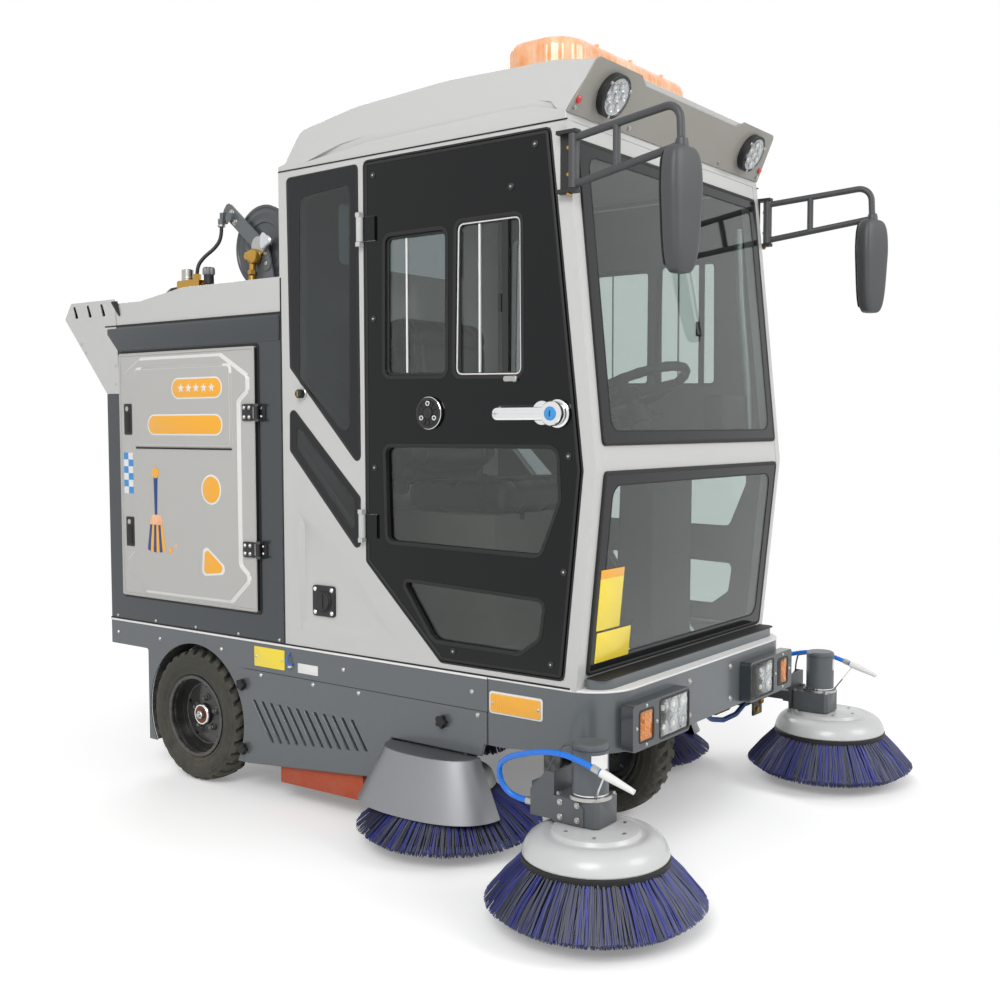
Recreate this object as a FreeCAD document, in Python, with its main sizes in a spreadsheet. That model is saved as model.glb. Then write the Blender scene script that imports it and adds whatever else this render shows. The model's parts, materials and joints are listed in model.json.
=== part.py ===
import FreeCAD, Part
import Sketcher
import math
import os
from FreeCAD import Vector

# Street sweeper truck with a glazed cab, four round brushes and three wheels.
# Axes: +X is forward, +Y is the machine's left, +Z is up and z = 0 is the ground under the tyres.
# Lengths along X are measured from the rear axle; every sub-part is then placed at rear_axle_x.

os.makedirs("parts", exist_ok=True)
doc = FreeCAD.newDocument("StreetSweeper")
sheet = doc.addObject("Spreadsheet::Sheet", "sizes")


class Size:
    """A length that knows its number and the sheet expression that it comes from."""

    def __init__(self, value, text=None):
        self.value = float(value)
        self.text = text if text is not None else repr(float(value))

    def __float__(self):
        return self.value

    def __add__(self, other):
        other = as_size(other)
        return Size(self.value + other.value, "(" + self.text + " + " + other.text + ")")

    def __radd__(self, other):
        return as_size(other) + self

    def __sub__(self, other):
        other = as_size(other)
        return Size(self.value - other.value, "(" + self.text + " - " + other.text + ")")

    def __rsub__(self, other):
        return as_size(other) - self

    def __mul__(self, other):
        other = as_size(other)
        return Size(self.value * other.value, "(" + self.text + " * " + other.text + ")")

    def __rmul__(self, other):
        return as_size(other) * self

    def __truediv__(self, other):
        other = as_size(other)
        return Size(self.value / other.value, "(" + self.text + " / " + other.text + ")")

    def __neg__(self):
        return Size(-self.value, "(0 - " + self.text + ")")


def as_size(number):
    return number if isinstance(number, Size) else Size(number)


class Named:
    """Holds the driving sizes as attributes."""


S = Named()


def driving(**sizes):
    """Write named sizes into the sheet, one row each, and keep them as Size objects."""
    for name, value in sizes.items():
        driving.row += 1
        sheet.set("A" + str(driving.row), name)
        sheet.set("B" + str(driving.row), repr(value))
        sheet.setAlias("B" + str(driving.row), name)
        setattr(S, name, Size(value, "sizes." + name))


driving.row = 0


def follow(**sizes):
    """Keep sizes that are worked out from driving ones beside them."""
    for name, size in sizes.items():
        setattr(S, name, as_size(size))


class Plane:
    """The three origin planes of a body, by role."""
    TOP = "XY_Plane"
    SIDE = "XZ_Plane"
    FRONT = "YZ_Plane"


def bind(thing, path, size):
    """Tie one property of an object to a size of the sheet."""
    thing.setExpression(path, as_size(size).text)


def place(thing, x=0, y=0, z=0):
    """Put a sub-part at its place, tied to the sheet."""
    spot = [as_size(x), as_size(y), as_size(z)]
    thing.Placement.Base = Vector(*[float(part) for part in spot])
    for axis, part in zip("xyz", spot):
        bind(thing, "Placement.Base." + axis, part)


subparts = []


def new_body(label, x=None, y=0, z=0):
    """Start a sub-part as a body, placed from the rear axle unless told otherwise."""
    body = doc.addObject("PartDesign::Body", label)
    body.Label = label
    place(body, S.rear_axle_x if x is None else x, y, z)
    subparts.append(body)
    return body


def tool_body(label):
    """Start a body that is one solid of a larger sub-part."""
    body = doc.addObject("PartDesign::Body", label)
    body.Label = label
    return body


def joined(label, pieces, x=None, y=0, z=0):
    """A sub-part that is the union of several solids."""
    union = doc.addObject("Part::MultiFuse", label)
    union.Shapes = pieces
    union.Label = label
    union.Refine = True
    place(union, S.rear_axle_x if x is None else x, y, z)
    subparts.append(union)
    return union


def grouped(label, pieces, x=None, y=0, z=0):
    """A sub-part that is several separate solids that do not touch."""
    group = doc.addObject("Part::Compound", label)
    group.Links = pieces
    group.Label = label
    place(group, S.rear_axle_x if x is None else x, y, z)
    subparts.append(group)
    return group


def box(name, x, y, z):
    """A plain block between two corners given as pairs of sizes."""
    block = doc.addObject("Part::Box", name)
    for path, pair in (("Length", x), ("Width", y), ("Height", z)):
        bind(block, path, as_size(pair[1]) - as_size(pair[0]))
    for axis, pair in zip("xyz", (x, y, z)):
        bind(block, "Placement.Base." + axis, as_size(pair[0]))
    return block


def rod(name, radius, length, start, along):
    """A round bar from a start point along X, Y or Z."""
    bar = doc.addObject("Part::Cylinder", name)
    bind(bar, "Radius", radius)
    bind(bar, "Height", length)
    turns = {"x": (Vector(0, 1, 0), 90), "y": (Vector(1, 0, 0), -90), "z": (Vector(0, 0, 1), 0)}
    bar.Placement = FreeCAD.Placement(Vector(*[float(as_size(part)) for part in start]),
                                      FreeCAD.Rotation(*turns[along]))
    for axis, part in zip("xyz", start):
        bind(bar, "Placement.Base." + axis, part)
    return bar


def cut(name, base, tool):
    """One solid with another taken away."""
    result = doc.addObject("Part::Cut", name)
    result.Base = base
    result.Tool = tool
    result.Label = name
    return result


def corner_data(corners):
    """Numbers for each corner: its point and the two points where its rounding starts and ends."""
    count = len(corners)
    data = []
    for index, corner in enumerate(corners):
        here = Vector(float(as_size(corner[0])), float(as_size(corner[1])), 0)
        radius = float(as_size(corner[2])) if len(corner) > 2 else 0.0
        before = corners[index - 1]
        after = corners[(index + 1) % count]
        back = Vector(float(as_size(before[0])), float(as_size(before[1])), 0) - here
        ahead = Vector(float(as_size(after[0])), float(as_size(after[1])), 0) - here
        if radius == 0.0:
            data.append((here, here, here, 0.0, None))
            continue
        half = back.getAngle(ahead) / 2
        reach = radius / math.tan(half)
        start = here + back.normalize() * reach
        end = here + ahead.normalize() * reach
        bisector = (back + ahead).normalize()
        centre = here + bisector * (radius / math.sin(half))
        data.append((here, start, end, radius, centre))
    return data


def outline_into(sketch, corners):
    """Draw one closed outline of corners (u, v) or (u, v, rounding), fully tied to the sheet."""
    data = corner_data(corners)
    count = len(corners)
    first = sketch.GeometryCount
    lines = []
    for index in range(count):
        lines.append(Part.LineSegment(data[index][2], data[(index + 1) % count][1]))
    sketch.addGeometry(lines, False)
    rules = []
    for index, corner in enumerate(corners):
        here, start, end, radius, centre = data[index]
        line_in = first + (index - 1) % count
        line_out = first + index
        if radius == 0.0:
            rules.append(("Coincident", (line_in, 2, line_out, 1), None))
            rules.append(("DistanceX", (line_out, 1), corner[0]))
            rules.append(("DistanceY", (line_out, 1), corner[1]))
            continue
        ring = Part.Circle(centre, Vector(0, 0, 1), radius)
        sketch.addGeometry(Part.ArcOfCircle(ring, *arc_angles(centre, start, end)), False)
        arc = sketch.GeometryCount - 1
        begin, finish = arc_ends(sketch.Geometry[arc], start)
        sketch.addGeometry(Part.Point(here), True)
        point = sketch.GeometryCount - 1
        rules.append(("Tangent", (line_in, 2, arc, begin), None))
        rules.append(("Tangent", (line_out, 1, arc, finish), None))
        rules.append(("Radius", (arc,), corner[2]))
        rules.append(("PointOnObject", (point, 1, line_in), None))
        rules.append(("PointOnObject", (point, 1, line_out), None))
        rules.append(("DistanceX", (point, 1), corner[0]))
        rules.append(("DistanceY", (point, 1), corner[1]))
    add_rules(sketch, rules)


def arc_angles(centre, start, end):
    """Start and end angles of the short arc between two points, counter-clockwise."""
    first = math.atan2(start.y - centre.y, start.x - centre.x)
    last = math.atan2(end.y - centre.y, end.x - centre.x)
    if (last - first) % (2 * math.pi) > math.pi:
        first, last = last, first
    if last < first:
        last += 2 * math.pi
    return first, last


def arc_ends(arc, start):
    """Which ends of an arc are its start and finish, seen from the outline's direction."""
    near = arc.StartPoint.distanceToPoint(start) < arc.EndPoint.distanceToPoint(start)
    return (1, 2) if near else (2, 1)


def circle_into(sketch, centre, radius):
    """Draw one circle, tied to the sheet."""
    middle = Vector(float(as_size(centre[0])), float(as_size(centre[1])), 0)
    sketch.addGeometry(Part.Circle(middle, Vector(0, 0, 1), float(as_size(radius))), False)
    ring = sketch.GeometryCount - 1
    add_rules(sketch, [("Radius", (ring,), radius), ("DistanceX", (ring, 3), centre[0]),
                       ("DistanceY", (ring, 3), centre[1])])


def add_rules(sketch, rules):
    """Add constraints and tie each measured one to its size."""
    made = []
    for kind, geometry, size in rules:
        if size is None:
            made.append(Sketcher.Constraint(kind, *geometry))
        else:
            made.append(Sketcher.Constraint(kind, *geometry, float(as_size(size))))
    before = sketch.ConstraintCount
    sketch.addConstraint(made)
    for offset, (kind, geometry, size) in enumerate(rules):
        if size is not None and "sizes." in as_size(size).text:
            bind(sketch, "Constraints[" + str(before + offset) + "]", size)


def draw(body, name, plane, outlines=(), circles=(), lift=0):
    """A sketch on one of the body's origin planes, lifted along that plane's normal."""
    sketch = body.newObject("Sketcher::SketchObject", body.Name + "_" + name)
    support = [item for item in body.Origin.OriginFeatures if item.Role == plane][0]
    sketch.AttachmentSupport = [(support, "")]
    sketch.MapMode = "FlatFace"
    bind(sketch, "AttachmentOffset.Base.z", lift)
    for corners in outlines:
        outline_into(sketch, corners)
    for centre, radius in circles:
        circle_into(sketch, centre, radius)
    return sketch


def pad(body, sketch, length, symmetric=False, backwards=False):
    """Raise a sketch into a solid."""
    feature = body.newObject("PartDesign::Pad", sketch.Name + "_pad")
    feature.Profile = sketch
    bind(feature, "Length", length)
    feature.SideType = "Symmetric" if symmetric else "One side"
    feature.Reversed = backwards
    return feature


def pocket(body, sketch, length=None, symmetric=False, backwards=False):
    """Cut a sketch out of the solid, right through when no length is given."""
    feature = body.newObject("PartDesign::Pocket", sketch.Name + "_pocket")
    feature.Profile = sketch
    feature.SideType = "Symmetric" if symmetric else "One side"
    feature.Reversed = backwards
    if length is None:
        feature.Type = "ThroughAll"
    else:
        bind(feature, "Length", length)
    return feature


def revolve(body, sketch, axis="V_Axis"):
    """Turn a sketch round one of its own axes."""
    feature = body.newObject("PartDesign::Revolution", sketch.Name + "_turn")
    feature.Profile = sketch
    feature.ReferenceAxis = (sketch, [axis])
    feature.Angle = 360
    return feature


def shelled(body, thickness, open_face):
    """Hollow the solid to a wall, leaving open the face that the test picks."""
    doc.recompute()
    base = body.Tip
    names = ["Face" + str(number + 1) for number, face in enumerate(base.Shape.Faces) if open_face(face)]
    feature = body.newObject("PartDesign::Thickness", body.Name + "_shell")
    feature.Base = (base, names)
    bind(feature, "Value", thickness)
    feature.Mode = "Skin"
    feature.Join = "Intersection"
    feature.Reversed = True
    return feature


def faces_towards(direction):
    """A test for faces whose outward normal is the direction, at their middle and near two corners."""
    aim = Vector(*direction)

    def test(face):
        u0, u1, v0, v1 = face.ParameterRange
        spots = [(u0 + (u1 - u0) * part, v0 + (v1 - v0) * part) for part in (0.1, 0.5, 0.9)]
        return all(face.normalAt(u, v).getAngle(aim) < 0.01 for u, v in spots)

    return test


def side_lift(thickness, proud=0, side=-1):
    """Lift of a side sketch so that a pad of this thickness ends at the machine's flank."""
    flank = S.half_width + proud
    return flank - thickness if side < 0 else -flank


def lofted(body, kind, outlines):
    """Join outlines (name, plane, corners, lift) by straight walls, to add or to take away."""
    sketches = [draw(body, name, plane, [corners], lift=lift) for name, plane, corners, lift in outlines]
    loft = body.newObject("PartDesign::%sLoft" % kind, body.Name + "_" + kind + "_" + outlines[0][0])
    loft.Profile = sketches[0]
    loft.Sections = sketches[1:]
    loft.Ruled = True
    return loft


def tapered(feature, angle):
    """Lean the walls of a pad inwards."""
    bind(feature, "TaperAngle", -as_size(angle))
    return feature


def rounded(body, radius, test):
    """Round the edges that the test picks."""
    doc.recompute()
    base = body.Tip
    names = ["Edge" + str(number + 1) for number, edge in enumerate(base.Shape.Edges) if test(edge)]
    feature = body.newObject("PartDesign::Fillet", body.Name + "_round")
    feature.Base = (base, names)
    bind(feature, "Radius", radius)
    return feature


def edges_at(axis, place):
    """A test for edges that lie in the plane where an axis has one value."""
    place = float(as_size(place))

    def test(edge):
        return all(abs(getattr(vertex.Point, axis) - place) < 0.01 for vertex in edge.Vertexes)

    return test


def fused(name, pieces):
    """One solid from several that overlap."""
    union = doc.addObject("Part::MultiFuse", name)
    union.Shapes = pieces
    return union


def sided(side, near, far):
    """A pair of Y places that runs from low to high on either side of the machine."""
    return (side * far, side * near) if side < 0 else (side * near, side * far)


def tube_along(name, points, radius, bends):
    """Round bar along points: straight runs with a tangent arc of its own radius at each bend."""
    spots = [Vector(*[float(as_size(part)) for part in point]) for point in points]
    edges = []
    last = spots[0]
    for index in range(1, len(spots) - 1):
        back = (spots[index - 1] - spots[index]).normalize()
        ahead = (spots[index + 1] - spots[index]).normalize()
        half = back.getAngle(ahead) / 2
        bend = bends(index, spots)
        start = spots[index] + back * (bend / math.tan(half))
        end = spots[index] + ahead * (bend / math.tan(half))
        bisector = (back + ahead).normalize()
        middle = spots[index] + bisector * (bend / math.sin(half) - bend)
        edges.append(Part.LineSegment(last, start).toShape())
        edges.append(Part.Arc(start, middle, end).toShape())
        last = end
    edges.append(Part.LineSegment(last, spots[-1]).toShape())
    wire = Part.Wire(edges)
    direction = (spots[1] - spots[0]).normalize()
    section = Part.Wire(Part.Circle(spots[0], direction, float(as_size(radius))).toShape())
    feature = doc.addObject("Part::Feature", name)
    feature.Shape = wire.makePipeShell([section], True, False)
    return feature, wire.Length


def equal_bends(radius):
    """The same radius at every bend."""
    return lambda index, spots: float(as_size(radius))


def hose_bends(index, spots):
    """Arc that fits a hose's two runs: 0.45 of the shorter one over the tangent of half the turn."""
    back = spots[index - 1] - spots[index]
    ahead = spots[index + 1] - spots[index]
    turn = math.pi - back.getAngle(ahead)
    return 0.45 * min(back.Length, ahead.Length) / math.tan(turn / 2)


def hose(label, points, diameter):
    """A free hose as a sub-part: its tube, with its radii printed and its volume compared with its length."""
    radius = as_size(diameter) / 2
    tube, length = tube_along(label, points, radius, hose_bends)
    tube.Label = label
    spots = [Vector(*[float(as_size(part)) for part in point]) for point in points]
    radii = [hose_bends(index, spots) for index in range(1, len(spots) - 1)]
    share = tube.Shape.Volume / (math.pi * float(radius) ** 2 * length)
    print("%s: length %.0f, radii %s, volume share %.3f" % (label, length, [round(r) for r in radii], share))
    place(tube, S.rear_axle_x)
    subparts.append(tube)
    return tube


def recess(body, name, side, depth, outlines=(), circles=(), proud=0):
    """Cut outlines into a side of the machine, from a plane this far proud of its flank inwards."""
    flank = S.half_width + proud
    sketch = draw(body, name, Plane.SIDE, outlines, circles, flank if side < 0 else -flank)
    return pocket(body, sketch, depth, backwards=side > 0)


def raised(body, name, side, height, corners, proud=0):
    """Raise one outline outwards from a plane this far proud of the machine's flank."""
    flank = S.half_width + proud
    sketch = draw(body, name, Plane.SIDE, [corners], lift=flank if side < 0 else -flank)
    return pad(body, sketch, height, backwards=side > 0)


def tilt_place(thing, x, y, z, angle):
    """Put a sub-part at a place, tipped about Y."""
    thing.Placement.Rotation = FreeCAD.Rotation(Vector(0, 1, 0), float(as_size(angle)))
    place(thing, x, y, z)
    bind(thing, "Placement.Rotation.Angle", angle)


SIDES = ((-1, "right"), (1, "left"))

# Overall sizes: half the width, the deck's height, and the heights of cab and body above the deck
driving(rear_axle_x=-586.0, half_width=523.0, deck_z=473.0, cab_height=1362.0, body_height=966.0,
        knee_height=537.0, body_rear_x=-434.0, cab_rear_x=400.0, running_gap=0.3, door_gap=5.0,
        pin_clearance=0.05)
follow(roof_base_z=S.deck_z + S.cab_height, frame_top=S.deck_z + S.body_height, knee_z=S.deck_z + S.knee_height)

# Wheels
driving(tyre_radius=206.0, tyre_width=107.0, tyre_seat_inset=6.0, tyre_bead=14.0, tyre_bead_inset=2.0,
        tread_inset=8.0, tread_round=10.0, rim_radius=128.0, rim_wall=8.0, dish_back=10.0, dish_front=2.0,
        dish_radius=58.0, hub_step=4.0, hub_radius=34.0, hub_inner=40.0, hub_outer=18.0, stub_radius=15.0,
        rear_wheel_inset=37.5, front_wheel_x=1181.0, nut_circle=88.0, nut_hole=6.0)
follow(rear_wheel_y=S.half_width - S.rear_wheel_inset)
NUT_HOLES = 5
BULGE_SHARE = 0.55


def tyre(label, x, y):
    """Solid tyre: a tread, two bulged sidewalls and a flat seat on the rim, turned about the axle."""
    body = new_body(label, x, y, S.tyre_radius)
    half = S.tyre_width / 2
    seat = half - S.tyre_seat_inset
    bead = (S.rim_radius + S.tyre_bead, half - S.tyre_bead_inset)
    bulge = S.rim_radius + (S.tyre_radius - S.rim_radius) * BULGE_SHARE
    tread = half - S.tread_inset
    section = draw(body, "section", Plane.TOP, [[
        (S.rim_radius, -seat), (bead[0], -bead[1]), (bulge, -half), (S.tyre_radius, -tread, S.tread_round),
        (S.tyre_radius, tread, S.tread_round), (bulge, half), bead, (S.rim_radius, seat)]])
    revolve(body, section)


def rim(label, x, y, side):
    """Dished steel rim with its hub; the dish faces outwards and five nut holes pierce the disc."""
    body = new_body(label, x, y, S.tyre_radius)
    bore = S.stub_radius + S.pin_clearance
    seat = S.rim_radius - S.running_gap
    inner = seat - S.rim_wall
    lip = S.tyre_width / 2 - S.tyre_seat_inset
    section = draw(body, "section", Plane.TOP, [[
        (bore, -side * S.hub_inner), (S.hub_radius, -side * S.hub_inner), (S.hub_radius, -side * S.dish_back),
        (inner, -side * S.dish_back), (inner, -side * lip), (seat, -side * lip), (seat, side * lip),
        (inner, side * lip), (inner, -side * S.dish_front), (S.dish_radius, -side * S.dish_front),
        (S.hub_radius, side * S.hub_step), (S.hub_radius, side * S.hub_outer), (bore, side * S.hub_outer)]])
    revolve(body, section)
    hole = draw(body, "nut", Plane.SIDE, circles=[((0, S.nut_circle), S.nut_hole)])
    drilled = pocket(body, hole, symmetric=True)
    doc.recompute()
    ring = body.newObject("PartDesign::PolarPattern", label + "_nuts")
    ring.Originals = [drilled]
    ring.Axis = (hole, ["N_Axis"])
    ring.Angle = 360
    ring.Occurrences = NUT_HOLES
    body.Tip = ring


for side, name in SIDES:
    tyre("rear_tyre_" + name, S.rear_axle_x, side * S.rear_wheel_y)
    rim("rear_rim_" + name, S.rear_axle_x, side * S.rear_wheel_y, side)
tyre("front_tyre", S.rear_axle_x + S.front_wheel_x, 0)
rim("front_rim", S.rear_axle_x + S.front_wheel_x, 0, -1)

# Rear axle
driving(beam_half=30.0, beam_end_gap=3.0, hanger_thickness=10.0, hanger_half=70.0, stub_end=26.0,
        rail_y=300.0, rail_width=50.0, rail_height=73.0)
follow(rail_bottom=S.deck_z - S.rail_height)


def rear_axle():
    """Square beam with a stub axle at each end and two hanger plates up to the frame rails."""
    beam_end = S.rear_wheel_y - S.hub_inner - S.beam_end_gap
    low = S.tyre_radius - S.beam_half
    high = S.tyre_radius + S.beam_half
    pieces = [box("axle_beam", (-S.beam_half, S.beam_half), (-beam_end, beam_end), (low, high))]
    for side, name in SIDES:
        start = beam_end if side > 0 else -(S.rear_wheel_y + S.stub_end)
        length = S.rear_wheel_y + S.stub_end - beam_end
        pieces.append(rod("stub_" + name, S.stub_radius, length, (0, start, S.tyre_radius), "y"))
        middle = side * (S.rail_y + S.rail_width / 2)
        half = S.hanger_thickness / 2
        pieces.append(box("hanger_" + name, (-S.hanger_half, S.hanger_half), (middle - half, middle + half),
                          (low, S.rail_bottom)))
    joined("rear_axle", pieces)


rear_axle()

# Chassis frame
driving(frame_rear_x=-420.0, frame_front_x=1400.0, cross_width=60.0, cross_drop=10.0, frame_tube_wall=5.0,
        outrigger_drop=40.0, outrigger_width=40.0, skirt_sheet=4.0, tow_bore_radius=11.0, tow_plate=16.0,
        tow_reach=70.0, tow_half=35.0, tow_hole_inset=28.0, tow_rise=12.0, head_plate=26.0, head_half=95.0,
        kingpin_radius=24.0, cross_1=-30.0, cross_2=340.0, cross_3=880.0,
        outrigger_0=-390.0, outrigger_1=250.0, outrigger_2=770.0, outrigger_3=1230.0)


def hollow_bar(name, x, y, z, along):
    """A square tube between two corners, open at both ends."""
    outer = box(name + "_outer", x, y, z)
    wall = S.frame_tube_wall
    spans = []
    for axis, pair in zip("xyz", (x, y, z)):
        grow = wall if axis != along else -1
        spans.append((as_size(pair[0]) + grow, as_size(pair[1]) - grow))
    return cut(name, outer, box(name + "_inner", *spans))


def chassis_frame():
    """Two tubular rails, cross members, outriggers, the steering head and the towing tongue."""
    pieces = []
    rail_end = S.rail_y + S.rail_width
    for side, name in SIDES:
        pieces.append(hollow_bar("rail_" + name, (S.frame_rear_x, S.frame_front_x),
                                 sided(side, S.rail_y, rail_end), (S.rail_bottom, S.deck_z), "x"))
        for index, x in enumerate((S.outrigger_0, S.outrigger_1, S.outrigger_2, S.outrigger_3)):
            pieces.append(box("outrigger_%s_%d" % (name, index), (x, x + S.outrigger_width),
                              sided(side, rail_end, S.half_width - S.skirt_sheet),
                              (S.deck_z - S.outrigger_drop, S.deck_z)))
    places = (S.frame_rear_x, S.cross_1, S.cross_2, S.cross_3, S.frame_front_x - S.cross_width)
    for index, x in enumerate(places):
        pieces.append(box("cross_%d" % index, (x, x + S.cross_width), (-S.rail_y, S.rail_y),
                          (S.rail_bottom + S.cross_drop, S.deck_z)))
    head = box("head_plate", (S.front_wheel_x - S.head_half, S.front_wheel_x + S.head_half),
               (-S.rail_y, S.rail_y), (S.deck_z - S.head_plate, S.deck_z))
    bore = rod("head_bore", S.kingpin_radius + S.pin_clearance, S.head_plate + 2,
               (S.front_wheel_x, 0, S.deck_z - S.head_plate - 1), "z")
    pieces.append(cut("steering_head", head, bore))
    low = S.rail_bottom + S.tow_rise
    tow = box("tow_tongue", (S.frame_rear_x - S.tow_reach, S.frame_rear_x + S.cross_drop),
              (-S.tow_half, S.tow_half), (low, low + S.tow_plate))
    hole = rod("tow_bore", S.tow_bore_radius, S.tow_plate + 2,
               (S.frame_rear_x - S.tow_reach + S.tow_hole_inset, 0, low - 1), "z")
    pieces.append(cut("tow_plate_drilled", tow, hole))
    joined("chassis_frame", pieces)


chassis_frame()

# Tunnel over the main brush
driving(roller_x=556.0, roller_radius=158.0, roller_half=340.0, roller_lift=6.0, roller_shaft=14.0,
        box_gap=14.0, box_sheet=4.0, box_skirt_z=112.0, post_half=60.0, post_sheet=10.0)


def brush_tunnel():
    """Sheet-metal tunnel over the roller, with shaft bores in its ends, hung from the rails on two posts."""
    reach = S.roller_radius + S.box_gap
    x0 = S.roller_x - reach
    x1 = S.roller_x + reach
    axle_z = S.roller_radius + S.roller_lift
    top = axle_z + reach
    half = S.roller_half + S.box_gap
    sheet = S.box_sheet
    shell = box("tunnel_outer", (x0 - sheet, x1 + sheet), (-half - sheet, half + sheet),
                (S.box_skirt_z, top + sheet))
    hollow = box("tunnel_inner", (x0, x1), (-half, half), (S.box_skirt_z - 1, top))
    bore = rod("tunnel_bore", S.roller_shaft + S.pin_clearance, (half + sheet + 2) * 2,
               (S.roller_x, -(half + sheet + 2), axle_z), "y")
    pieces = [cut("tunnel", cut("tunnel_shell", shell, hollow), bore)]
    for side, name in SIDES:
        middle = side * (S.rail_y + S.rail_width / 2)
        pieces.append(box("tunnel_post_" + name, (S.roller_x - S.post_half, S.roller_x + S.post_half),
                          (middle - S.post_sheet / 2, middle + S.post_sheet / 2),
                          (top + sheet / 2, S.rail_bottom)))
    joined("brush_tunnel", pieces)


brush_tunnel()


def main_brush():
    """Roller brush: a core with its bristles and a shaft end at each side, turned about Y."""
    body = new_body("main_brush", S.rear_axle_x + S.roller_x, 0, S.roller_radius + S.roller_lift)
    end = S.roller_half + S.box_gap + S.box_sheet
    section = draw(body, "section", Plane.TOP, [[
        (0, -end), (S.roller_shaft, -end), (S.roller_shaft, -S.roller_half),
        (S.roller_radius, -S.roller_half), (S.roller_radius, S.roller_half),
        (S.roller_shaft, S.roller_half), (S.roller_shaft, end), (0, end)]])
    revolve(body, section)


main_brush()

# Carriers of the four round brushes
driving(arm_pivot_x=1340.0, arm_pivot_inset=48.0, arm_pivot_z=262.0, arm_pin=9.0, lug_thickness=10.0,
        lug_half=24.0, lug_foot=18.0, lug_lap=30.0, arm_tube=24.0, arm_tube_radius=18.0, lug_side_gap=1.0,
        side_brush_x=988.0, side_brush_inset=45.0, spindle_radius=14.0, spindle_bottom=196.0,
        spindle_length=40.0, side_motor_radius=38.0, side_motor_bottom=216.0, carrier_half=30.0,
        carrier_top_drop=20.0, carrier_low_drop=70.0)
follow(arm_pivot_y=S.half_width - S.arm_pivot_inset, side_brush_y=S.half_width - S.side_brush_inset)


def brush_pivot(side, name):
    """Carrier with two lugs and the pin that a front brush arm swings on."""
    half = S.arm_tube
    top = S.deck_z - S.carrier_top_drop
    x = (S.arm_pivot_x - S.lug_half, S.arm_pivot_x + S.lug_half)
    pieces = []
    for place_name, near in (("inner", -1), ("outer", 1)):
        middle = S.arm_pivot_y + near * (half + S.lug_side_gap + S.lug_thickness / 2)
        y0 = side * middle - S.lug_thickness / 2
        pieces.append(box("lug_%s_%s" % (place_name, name), x, (y0, y0 + S.lug_thickness),
                          (S.arm_pivot_z - S.lug_foot, S.deck_z - S.lug_lap)))
    reach = half + S.lug_side_gap + S.lug_thickness
    pieces.append(rod("arm_pin_" + name, S.arm_pin, reach * 2,
                      (S.arm_pivot_x, side * S.arm_pivot_y - reach, S.arm_pivot_z), "y"))
    pieces.append(box("pivot_carrier_" + name, x, sided(side, S.rail_y + S.rail_width, S.arm_pivot_y + reach),
                      (S.deck_z - S.carrier_low_drop, top)))
    return fused("pivot_set_" + name, pieces)


def side_spindle(side, name):
    """Carrier, motor can and spindle of a side brush."""
    spot = (S.side_brush_x, side * S.side_brush_y)
    low = S.deck_z - S.carrier_low_drop
    return fused("spindle_set_" + name, [
        box("spindle_carrier_" + name, (S.side_brush_x - S.carrier_half, S.side_brush_x + S.carrier_half),
            sided(side, S.rail_y + S.rail_width, S.side_brush_y + S.carrier_half),
            (low, S.deck_z - S.carrier_top_drop)),
        rod("spindle_motor_" + name, S.side_motor_radius, low + 10 - S.side_motor_bottom,
            spot + (S.side_motor_bottom,), "z"),
        rod("spindle_" + name, S.spindle_radius, S.spindle_length, spot + (S.spindle_bottom,), "z")])


grouped("brush_carriers", [maker(side, name) for side, name in SIDES for maker in (brush_pivot, side_spindle)])

# Front wheel fork
driving(fork_crown_drop=27.0, fork_crown_plate=22.0, fork_crown_radius=78.0, fork_gap=8.0, fork_leg=12.0,
        fork_leg_half=36.0, fork_foot=34.0, fork_axle_end=5.0)


def steering_fork():
    """Kingpin, crown, two legs and the axle of the front wheel."""
    leg_in = S.tyre_width / 2 + S.fork_gap
    leg_out = leg_in + S.fork_leg
    crown_top = S.deck_z - S.fork_crown_drop
    crown_low = crown_top - S.fork_crown_plate
    end = leg_out + S.fork_axle_end
    pieces = [rod("crown", S.fork_crown_radius, S.fork_crown_plate, (0, 0, crown_low), "z"),
              rod("kingpin", S.kingpin_radius, S.deck_z - crown_top + 5, (0, 0, crown_top - 5), "z"),
              rod("front_axle", S.stub_radius, end * 2, (0, -end, S.tyre_radius), "y")]
    for side, name in SIDES:
        pieces.append(box("fork_leg_" + name, (-S.fork_leg_half, S.fork_leg_half), sided(side, leg_in, leg_out),
                          (S.tyre_radius - S.fork_foot, crown_low + 2)))
    joined("steering_fork", pieces, S.rear_axle_x + S.front_wheel_x)


steering_fork()

# Round brushes
driving(brush_radius=252.0, brush_lift=32.0, brush_disc_radius=167.0, brush_disc_z=161.0,
        side_disc_radius=125.0, front_brush_x=1580.0, front_brush_out=162.0, output_shaft=12.0,
        waist_out=42.0, waist_drop=52.0, bristle_depth=27.0, bristle_foot=47.0, bristle_round=25.0,
        gearbox_bottom=220.0, gearbox_top=280.0, disc_gap=3.0)
follow(front_brush_y=S.half_width + S.front_brush_out)


def bristle_ring(label, disc_radius):
    """Flared crown of bristles under a brush disc, turned about Z."""
    body = tool_body(label)
    low = S.brush_lift
    top = S.brush_disc_z - S.running_gap
    inner = disc_radius - S.bristle_depth
    section = draw(body, "section", Plane.SIDE, [[
        (inner, top), (disc_radius, top), (disc_radius + 2, top - 11),
        (disc_radius + S.waist_out, S.brush_disc_z - S.waist_drop), (S.brush_radius, low + S.bristle_round),
        (S.brush_radius - S.bristle_round / 2, low), (S.brush_radius - S.bristle_foot, low + 8),
        (inner, top - 16)]])
    revolve(body, section)
    return body


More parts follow.
